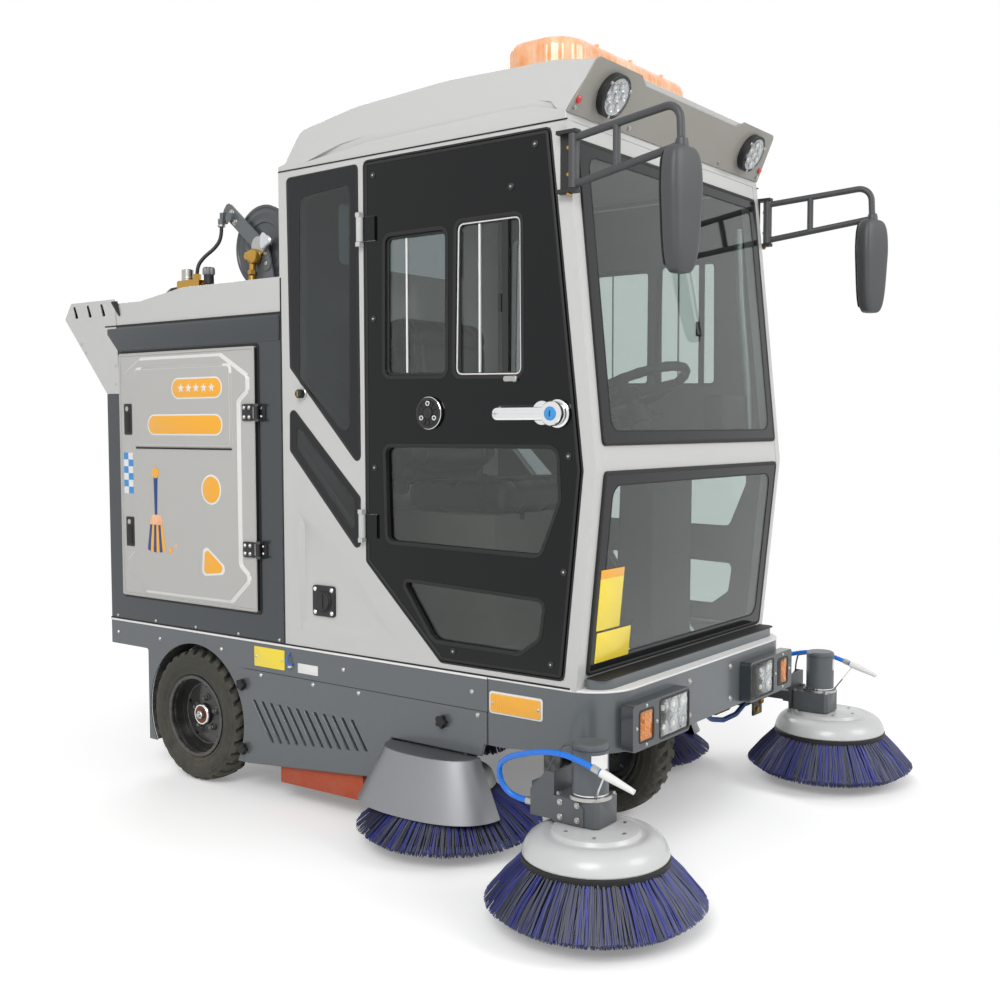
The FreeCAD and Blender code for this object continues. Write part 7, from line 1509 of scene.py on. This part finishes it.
def stuffed(name, surface, cap):
    """Mesh of a cushion blown up by Blender's cloth: remeshed, inflated for 18 frames, and no point moved further
    than the cap, in millimetres."""
    shape = Form().add(surface)
    points = np.concatenate(shape.points) * 0.001 + (AXLE, 0, 0)
    mesh = bpy.data.meshes.new(name + "_start")
    mesh.from_pydata(points.tolist(), [], [face.tolist() for group, _, _ in shape.faces for face in group])
    thing = linked(name + "_start", mesh)
    scene = bpy.context.scene
    remesh = thing.modifiers.new("voxels", "REMESH")
    remesh.mode = "VOXEL"
    remesh.voxel_size = 0.0065
    even = bpy.data.meshes.new_from_object(thing.evaluated_get(bpy.context.evaluated_depsgraph_get()))
    bpy.data.objects.remove(thing)
    start = values_of(even.vertices, "co")
    soft = linked(name + "_cloth", even)
    cloth = soft.modifiers.new("cloth", "CLOTH")
    for key, value in (("quality", 5), ("mass", 0.3), ("tension_stiffness", 15), ("compression_stiffness", 15),
                       ("bending_stiffness", 0.5), ("use_pressure", True), ("uniform_pressure_force", 4.0)):
        setattr(cloth.settings, key, value)
    cloth.settings.effector_weights.gravity = 0
    cloth.collision_settings.use_collision = False
    cloth.collision_settings.use_self_collision = False
    cloth.point_cache.frame_start = 1
    cloth.point_cache.frame_end = FRAMES
    for frame_number in range(1, FRAMES + 1):
        scene.frame_set(frame_number)
    blown = bpy.data.meshes.new_from_object(soft.evaluated_get(bpy.context.evaluated_depsgraph_get()))
    move = values_of(blown.vertices, "co") - start
    size = np.linalg.norm(move, axis=1, keepdims=True)
    move *= np.minimum(1, cap * 0.001 / np.maximum(size, 1e-9))
    blown.vertices.foreach_set("co", (start + move).ravel())
    blown.update()
    bpy.data.objects.remove(soft)
    scene.frame_set(1)
    return blown


def channels(mesh, lines):
    """Sewn channels pressed into a cushion: each point goes against its normal by the depth * exp(-(d/width)^2),
    where d is its distance to the nearest of the planes in lines, each a normal, an offset and the side it is
    pressed from."""
    points = (values_of(mesh.vertices, "co") - (AXLE, 0, 0)) * 1000
    normals = values_of(mesh.vertices, "normal")
    press = np.zeros(len(points))
    for normal, offset, faces_up in lines:
        near = np.exp(-((points @ np.asarray(normal, float) - offset) / CHANNEL_WIDTH) ** 2)
        facing = np.clip(normals @ np.asarray(faces_up, float) * 2.2 - 0.4, 0, 1)
        press = np.maximum(press, near * facing)
    points -= normals * (press * CHANNEL_DEPTH)[:, None]
    mesh.vertices.foreach_set("co", (points * 0.001 + (AXLE, 0, 0)).ravel())
    mesh.update()


def cushion(name, outline, half, cap, lines):
    """One stuffed seat piece: simulated, channelled and subdivided once."""
    slim = outline.mean(0) + (outline - outline.mean(0)) * 0.93
    mesh = stuffed(name, pillow(slim, half - cap * 0.8), cap)
    channels(mesh, lines)
    mesh.name = name
    mesh.materials.clear()
    mesh.materials.append(VINYL)
    mesh.polygons.foreach_set("use_smooth", np.ones(len(mesh.polygons), bool))
    thing = linked(name, mesh)
    smooth = thing.modifiers.new("smooth", "SUBSURF")
    smooth.levels = smooth.render_levels = 1
    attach(thing, "chassis")
    return thing


def seat():
    """Driver's seat: cushion and backrest with sewn channels, piping round the cushion, runners and hinge discs."""
    base = rounded([(580, 864, 20), (1006, 868, 30), (1006, 958, 35), (580, 940, 20)])
    back = rounded([(519, 906, 16), (576, 906, 12), (584, 964, 20), (636, 992, 30), (586, 1476, 35), (499, 1476, 35)])
    across = [((0, 1, 0), y, (0, 0, 1)) for y in (-150, 150)]
    rows = [((1, 0, 0), x, (0, 0, 1)) for x in (690, 780, 870)]
    bottom = cushion("seat_cushion", base, 228, 12, across + rows)
    lean = unit((-0.1, 0, 1))
    across = [((0, 1, 0), y, (1, 0, 0.1)) for y in (-140, 140)]
    rows = [(lean, z, (1, 0, 0.1)) for z in (1080, 1190, 1300, 1395)]
    cushion("seat_backrest", back, 218, 12, across + rows)
    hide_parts("seat_pads")
    trim = Form()
    piping = rounded([(592, -196, 946), (994, -196, 960), (994, 196, 960), (592, 196, 946)], 40, 8, loop=False)
    trim.add(tube(piping, 3.2, 8), 0)
    trim.add(block((560, -120, 842), (960, -96, 862)), 1)
    trim.add(block((560, 96, 842), (960, 120, 862)), 1)
    for side in (-1, 1):
        trim.add(turned([(26, -4), (26, 4), (22, 7), (6, 8)], (578, side * 200, 930.0),
                        SIDE * (1, 1, -side) if side > 0 else SIDE, 28), 1)
    piece("seat_trim", trim, [SEAL, MOULDED], "chassis", "seat_vinyl")


seat()


# Driver's controls
LEAN = math.radians(25)
WHEEL = np.array([(0, 1, 0), (-math.cos(LEAN), 0, -math.sin(LEAN)), (-math.sin(LEAN), 0, math.cos(LEAN))])
HUB = np.array((1238.0, 0, 1199))


@detail(piece, [MOULDED], "steering_wheel", slot_of["steering_wheel"])
def steering_wheel_grip(shape):
    """Steering wheel: hub cap, rim with finger grips and three spokes."""
    shape.add(turned([(42, -6), (44, 2), (43, 8), (38, 12), (20, 14.5), (6, 15)], HUB, WHEEL, 40), 0)
    angle = np.linspace(0, 2 * math.pi, 96, endpoint=False)
    ring = HUB + 178 * (np.cos(angle)[:, None] * WHEEL[0] + np.sin(angle)[:, None] * WHEEL[1])
    shape.add(tube(ring, 13.4 + 0.9 * np.cos(angle * 24), 14, WHEEL[2], loop=True), 0)
    for a in (math.radians(turn) for turn in (60, 180, 300)):
        direction = math.sin(a) * WHEEL[0] - math.cos(a) * WHEEL[1]
        shape.add(tube([HUB + 26 * direction + 2 * WHEEL[2], HUB + 100 * direction - 3 * WHEEL[2],
                        HUB + 176 * direction], [19, 15, 12], 12, WHEEL[2]), 0)


@detail(piece, [MOULDED, SEAL, DASH, STEEL, LINING, RED], "chassis", "black_plastic")
def driver_controls(shape):
    """Stalks and boot of the column, dash shelf with heater box and grab rail, instrument panel, and pedals."""
    foot = HUB - 70 * WHEEL[2]
    for side in (-1, 1):
        stalk = [foot, foot + side * 60 * WHEEL[0] + 4 * WHEEL[2], foot + side * 150 * WHEEL[0] + 12 * WHEEL[2]]
        shape.add(tube(stalk, [7, 6, 8.5], 10, WHEEL[2]), 0)
    shape.add(turned([(44, -24), (48, 0), (44, 24)], foot, WHEEL, 32), 0)
    # boot round the column's foot, in folds
    folds = []
    for k in range(9):
        folds += [(58 - 2.6 * k, -246 + 15 * k), (50 - 2.6 * k, -238.5 + 15 * k)]
    shape.add(turned(folds, HUB, WHEEL, 36), 1)
    # shelf under the windshield, its bolts, heater box and grab rail
    shape.add(slab(oblong(1326, -440, 1436, 440, 10), [(0, 1034), (0, 1082), (5, 1088)], TOP), 2)
    shape.add(copies(turned([(7, 0), (7, 2.4), (4, 3.4)], ORIGIN, TOP, 14),
                     [(1352, y, 1087.6) for y in (-380, -60, 120, 200, 380)]), 1)
    shape.add(slab(oblong(1344, 250, 1418, 404, 12), [(0, 1086), (0, 1196), (4, 1201)], TOP), 0)
    for k in range(7):
        shape.add(block((1341.5, 268, 1104 + 12 * k), (1344.5, 386, 1109 + 12 * k)), 1, False)
    rail = [(1408, 436, 1086), (1400, 436, 1240), (1376, 436, 1500), (1366, 436, 1700)]
    shape.add(tube(rail, 12, 16, (1, 0, 0)), 3)
    # instrument panel on the console, with round dials, keys and switches
    shape.add(slab(oblong(1280, -92, 1384, 92, 12), [(0, 999), (0, 1020), (6, 1028)], TOP), 0)
    shape.add(copies(turned([(17, 0), (17, 3), (14, 4), (13, 1.6)], ORIGIN, TOP, 24),
                     [(1352, y, 1027.4) for y in (-56, -12)]), 1)
    shape.add(copies(block((-7, -11, 0), (7, 11, 6)), [(x, y, 1027) for x in (1312, 1352) for y in (30, 62)]), 4)
    shape.add(copies(turned([(9, 0), (9, 6), (7, 8)], ORIGIN, TOP, 16), [(1312, y, 1027) for y in (-70, -40, -10)]), 5)
    # pedals
    tilt = np.array([(0, 1, 0), (math.sin(0.6), 0, math.cos(0.6)), (-math.cos(0.6), 0, math.sin(0.6))])
    for y in (-186, 176):
        centre = np.array((1330.0, y, 552))
        shape.add(eased(oblong(-34, -58, 34, 58, 8), 0, 7, 2, tilt, centre), 1)
        for v in range(-42, 43, 14):
            shape.add(eased(oblong(-27, v - 2, 27, v + 2, 1.9), 6.6, 8.6, 0.6, tilt, centre), 1, False)
        shape.add(tube([(1336, y, 545), (1372, y, 500), (1376, y, 487)], 8, 10, (0, 1, 0)), 3)


# Mirrors
def mirror_head(toe):
    """Mirror head turned out by toe: cross-sections with a domed front and a flat back, full at the top and drawn in
    towards the foot, both ends rounded by a superellipse; it carries its glass on the back and a socket on top."""
    centre = np.array((MIRROR_PIVOT[0] + MIRROR_REACH * math.cos(MIRROR_LEAN),
                       MIRROR_PIVOT[1] - MIRROR_REACH * math.sin(MIRROR_LEAN), 0))
    ahead = np.array((math.cos(toe), -math.sin(toe), 0))
    across = np.array((math.sin(toe), math.cos(toe), 0))
    plane = np.array([across, (0, 0, 1), -ahead])
    t = (1 - np.cos(np.linspace(0, math.pi, 34))) / 2
    end = (1 - np.abs(2 * t - 1) ** 4.2) ** 0.27
    half = (42 + 13 * np.clip(t * 1.5, 0, 1)) * (0.2 + 0.8 * end)
    front = (22 + 5 * np.clip(t * 1.6, 0, 1)) * (0.1 + 0.9 * end)
    angle = np.linspace(0, 2 * math.pi, 44, endpoint=False)
    bow = np.cos(angle)
    side = np.sin(angle)
    out = np.where(bow > 0, np.abs(bow) ** 0.55, -np.abs(bow) ** 0.3)
    wide = np.sign(side) * np.abs(side) ** 0.45
    depth = np.where(bow > 0, front[:, None], (14 + 6 * end)[:, None])
    grid = (centre + (out * depth)[..., None] * ahead + (wide * half[:, None])[..., None] * across
            + (MIRROR_FOOT + MIRROR_TALL * t)[:, None, None] * np.array((0, 0, 1)))
    shape = Form().add(skin(grid), 0)
    levels = np.linspace(1462, 1698, 12)
    share = np.interp(levels, MIRROR_FOOT + MIRROR_TALL * t, half) - 7
    outline = np.concatenate([np.stack([share, levels], 1), np.stack([-share[::-1], levels[::-1]], 1)])
    outline = rounded([tuple(p) + (6,) for p in outline], steps=3)
    shape.add(slab(outline, [(0, 17), (0, 20.4), (1.2, 21.2)], plane, centre), 1)
    shape.add(band(outline, [(-4, 18), (-3.4, 22), (1.2, 22.4), (2, 21), (2, 18)], plane, centre), 2)
    shape.add(turned([(16, 1704), (14.5, 1722), (12.5, 1730), (9.4, 1732)], centre, TOP, 24), 0)
    return shape


def mirror_heads():
    """The two heads, the left one turned more towards the right side, and the bolts of the clamps."""
    paints = [MIRROR_GREY, MIRROR_FACE, SEAL]
    piece("mirror_head_right", mirror_head(MIRROR_LEAN), paints, "mirror_right", "black_plastic")
    piece("mirror_head_left", mirror_head(math.radians(-16)).mirrored(), paints, "mirror_left", "black_plastic")
    bolts = Form()
    for z in (1655, 1700, 1762, 1800):
        bolts.add(turned([(5, -7), (5, 0), (4, 1)], (1406.0, -542, z), SIDE, 6), 0, False)
    pair("mirror_bolts", bolts, [BRASS], "chassis", "brass")


mirror_heads()


# Hose reel and water valves
REEL = np.array((75.0, -215.0, 1682.0))


@detail(piece, [REEL_GREY, BLACK_HOSE], "reel_drum", slot_of["reel_drum"], replaces=["reel_drum"])
def reel_flanges(shape):
    """Hose reel: two flanges with stepped rings, and the wound hose in eleven coils."""
    for sign in (-1, 1):
        rings = [(12.6, 70), (132, 70), (132, 74), (130, 75), (124, 74.8), (121, 72.6), (113, 72.6), (110, 74.6),
                 (103, 74.8), (99, 72.6), (86, 72.6), (83, 74.4), (78, 74.6), (75, 71.8), (52, 71.6), (46, 74),
                 (30, 75), (12.6, 75)]
        shape.add(turned([(r, h * sign) for r, h in rings], REEL, SIDE, 84, closed=True), 0)
    coil = np.linspace(math.pi, 0, 6)
    section = [(12.6, -69.6)]
    for k in range(11):
        middle = -63 + 12.6 * k
        section += [(105.6 + 6.2 * math.sin(a), middle + 6.2 * math.cos(a)) for a in coil]
    section.append((12.6, 69.6))
    shape.add(turned(section, REEL, SIDE, 72, closed=True), 1)


@detail(piece, [BRASS, SILVER_KNOB, STEEL, SLATE], "chassis", "brass")
def reel_fittings(shape):
    """Brass swivel, tee and feed pipe below the hub, silver lock knob, bolts of the arm and base, guide clip."""
    swivel = (64.0, -304.0, 1648.0)
    shape.add(turned([(16, 0), (22, 4), (25, 11), (25, 22), (21, 29), (12, 32)], swivel, SIDE, 28), 0)
    shape.add(slab(circle((-26, 4), 15, 6), [(0, 6), (0, 24), (2, 26)], SIDE, swivel), 0, False)
    shape.add(tube([(58, -320, 1634), (56, -321, 1604), (55, -321, 1596)], [11, 9, 9], 14, (0, 1, 0)), 0)
    for low, high, radius in ((1592, 1606, 14), (1568, 1590, 11), (1546, 1566, 12.5)):
        shape.add(turned([(radius - 1.2, low), (radius, low + 1.4), (radius, high - 1.4), (radius - 1.2, high)],
                         (55.0, -321, 0), TOP, 6 if radius > 12 else 20), 0, False)
    # lock knob with its three blunt lobes
    lobes = lambda angle, height: 1 + 0.2 * np.cos(angle * 3) * (height > 12)
    shape.add(turned([(12, 0), (12, 12), (22, 13), (24, 16), (24, 24), (20, 28), (6, 29)],
                     (122.0, -304, 1692), SIDE, 48, lobes), 1)
    for x, z in ((-58, 1800), (-84, 1778), (-44, 1770)):
        shape.screws(SIDE, 8, 6, [(x, -304.2, z)], 2)
    shape.screws(SIDE, 7, 5, [(98, -304.2, 1660), (104, -304.2, 1626)], 2)
    shape.screws(TOP, 6, 5, [(x, y, 1546) for x in (0, 150) for y in (-305, -140)], 2)
    shape.add(turned([(12.4, 1758), (12.4, 1763), (11.2, 1764)], (-93.0, -318, 0), TOP, 20), 2)
    # elbow plate with its own bolts behind the swivel
    plate = rounded([(84, 1650, 16), (128, 1650, 20), (124, 1602, 20), (84, 1602, 12)])
    shape.add(eased(plate, 304, 307.5, 1), 3)


def valve_fittings():
    """Valve cluster: hex unions and plugs on the brass block, black pipes to the rear and the can's crimped band."""
    shape = Form()
    for x, y, low, high in ((-137, -384, 1580, 1592), (-112, -404, 1580, 1598)):
        shape.add(turned([(13, low), (13, high)], (x, y, 0.0), TOP, 6), 0, False)
    for x, high in ((-85, 12), (-76, 7)):
        shape.add(turned([(11, 0), (11, high)], (x, -395, 1565.0), FRONT, 6), 0, False)
    shape.add(turned([(11.5, 0), (11.5, 14)], (-209.0, -395, 1560), FRONT, 6), 0, False)
    pipe = [(-206, -395, 1560), (-250, -395, 1558), (-296, -380, 1548), (-310, -350, 1528), (-310, -340, 1516)]
    shape.add(tube(rounded(pipe, 24, 6, loop=False), 8, 14), 1)
    shape.add(turned([(19.4, 1588), (19.9, 1590), (19.4, 1592)], (-171.0, -395, 0), TOP, 32), 2)
    shape.add(turned([(15, 1616.6), (15, 1619), (12, 1621)], (-171.0, -395, 0), TOP, 28), 2)
    lobes = lambda angle, height: 1 + 0.1 * np.cos(angle * 8) * (height > 1590)
    shape.add(turned([(9, 1578), (9, 1592), (17, 1594), (18, 1597), (18, 1612), (15, 1617), (5, 1618)],
                     (-66.0, -395, 0), TOP, 64, lobes), 3)
    piece("valve_fittings", shape, [BRASS, BLACK_HOSE, STEEL, KNOB_GREY], "chassis", "brass")
    finished("water_valves", [BRASS, STEEL, MOULDED], 0.8, valve_regions)


def valve_regions(c, n):
    """Water valves: steel can, grey knob and black pipe, and the rest brass."""
    can = (np.hypot(c[:, 0] + 171, c[:, 1] + 395) < 20) & (c[:, 2] > 1581.5)
    return np.where(can, 1, np.where(c[:, 0] > -84, 2, 0))


valve_fittings()


# Sliding window
@detail(pair, [WHITE, STEEL], "cab_door_%s", "frame_black")
def window_seals(shape):
    """Sliding window's light seals, its stiles and its catch."""
    hole = inset(rounded(DOOR_WINDOWS[1], steps=7), 5.2)
    shape.add(band(hole, [(0, 519.2), (0, 521.2), (3.4, 521.2), (3.4, 519.2)]), 0)
    shape.add(block((876, -516.2, 1250), (881, -513.4, 1610)), 0)
    shape.add(block((1121, -518.2, 1244), (1126, -513.4, 1622)), 0)
    shape.add(eased(oblong(1206, 1222, 1250, 1236, 6), 524.4, 530, 1.5), 1)
    shape.add(turned([(8, 524), (8, 533), (6, 535)], (1242.0, 0, 1228), SIDE, 20), 1)


# Stage, light and camera
WORLD_LEVEL = 0.5
FLOOR_GLOW = 0.22
LAMPS = (("lamp_right", (2.6, -5.2, 4.6), 3.4, 230.0), ("lamp_front", (6.2, 1.2, 4.2), 3.4, 150.0),
         ("lamp_back", (-5.0, 3.0, 4.6), 3.2, 130.0))


def seen_rays(tree):
    """1 for rays that come from the camera, off a gloss or through glass."""
    rays = node(tree, "LightPath").outputs
    return math_of(tree, "ADD", math_of(tree, "ADD", rays["Is Camera Ray"], rays["Is Glossy Ray"]),
                   rays["Is Transmission Ray"], clamp=True)


def floor_and_world():
    """Pale floor with the object's shadow, which fades into a white world."""
    mesh = bpy.data.meshes.new("floor")
    mesh.from_pydata([(-40, -40, 0), (40, -40, 0), (40, 40, 0), (-40, 40, 0)], [], [(0, 1, 2, 3)])
    floor = linked("floor", mesh)
    pale, tree, shader = blank("floor_pale")
    mesh.materials.append(pale)
    far = node(tree, "VectorMath", {0: own_place(tree)}, operation="LENGTH").outputs["Value"]
    seen = seen_rays(tree)
    shine = node(tree, "Emission", {"Color": (1, 1, 1, 1), "Strength": 1.0}).outputs[0]
    fade = math_of(tree, "MULTIPLY", ranged(tree, far, 1.7, 4.2), seen)
    fill(tree, shader, {"Base Color": (0.94, 0.94, 0.94, 1), "Roughness": 0.9, "Specular IOR Level": 0.1,
                        "Emission Color": (1, 1, 1, 1),
                        "Emission Strength": math_of(tree, "MULTIPLY", seen, FLOOR_GLOW)})
    blend = node(tree, "MixShader", {0: fade, 1: shader.outputs[0], 2: shine}).outputs[0]
    fill(tree, tree.nodes["Material Output"], {0: blend})
    world = bpy.data.worlds.new("studio")
    bpy.context.scene.world = world
    world.use_nodes = True
    tree = world.node_tree
    level = math_of(tree, "MULTIPLY_ADD", seen_rays(tree), 1.0 - WORLD_LEVEL, WORLD_LEVEL)
    fill(tree, tree.nodes["Background"], {"Color": (1, 1, 1, 1), "Strength": level})


def lamps_and_camera():
    """One large lamp over each front corner and one behind, and the photo's camera."""
    scene = bpy.context.scene
    scene.view_settings.view_transform = "Standard"
    for name, spot, size, power in LAMPS:
        lamp = bpy.data.lights.new(name, "AREA")
        lamp.shape = "DISK"
        lamp.size = size
        lamp.energy = power
        thing = linked(name, lamp)
        thing.location = spot
        thing.rotation_mode = "QUATERNION"
        thing.rotation_quaternion = (Vector((0, 0, 0.8)) - Vector(spot)).to_track_quat("-Z", "Y")
    camera = linked("camera", bpy.data.cameras.new("camera"))
    scene.camera = camera
    camera.data.lens = 42.87
    camera.data.sensor_width = 36
    camera.location = (2.3951, -2.8978, 1.1147)
    camera.rotation_mode = "XYZ"
    camera.rotation_euler = (math.radians(90 - 3.6), 0.0014, math.radians(37.0))


floor_and_world()
lamps_and_camera()
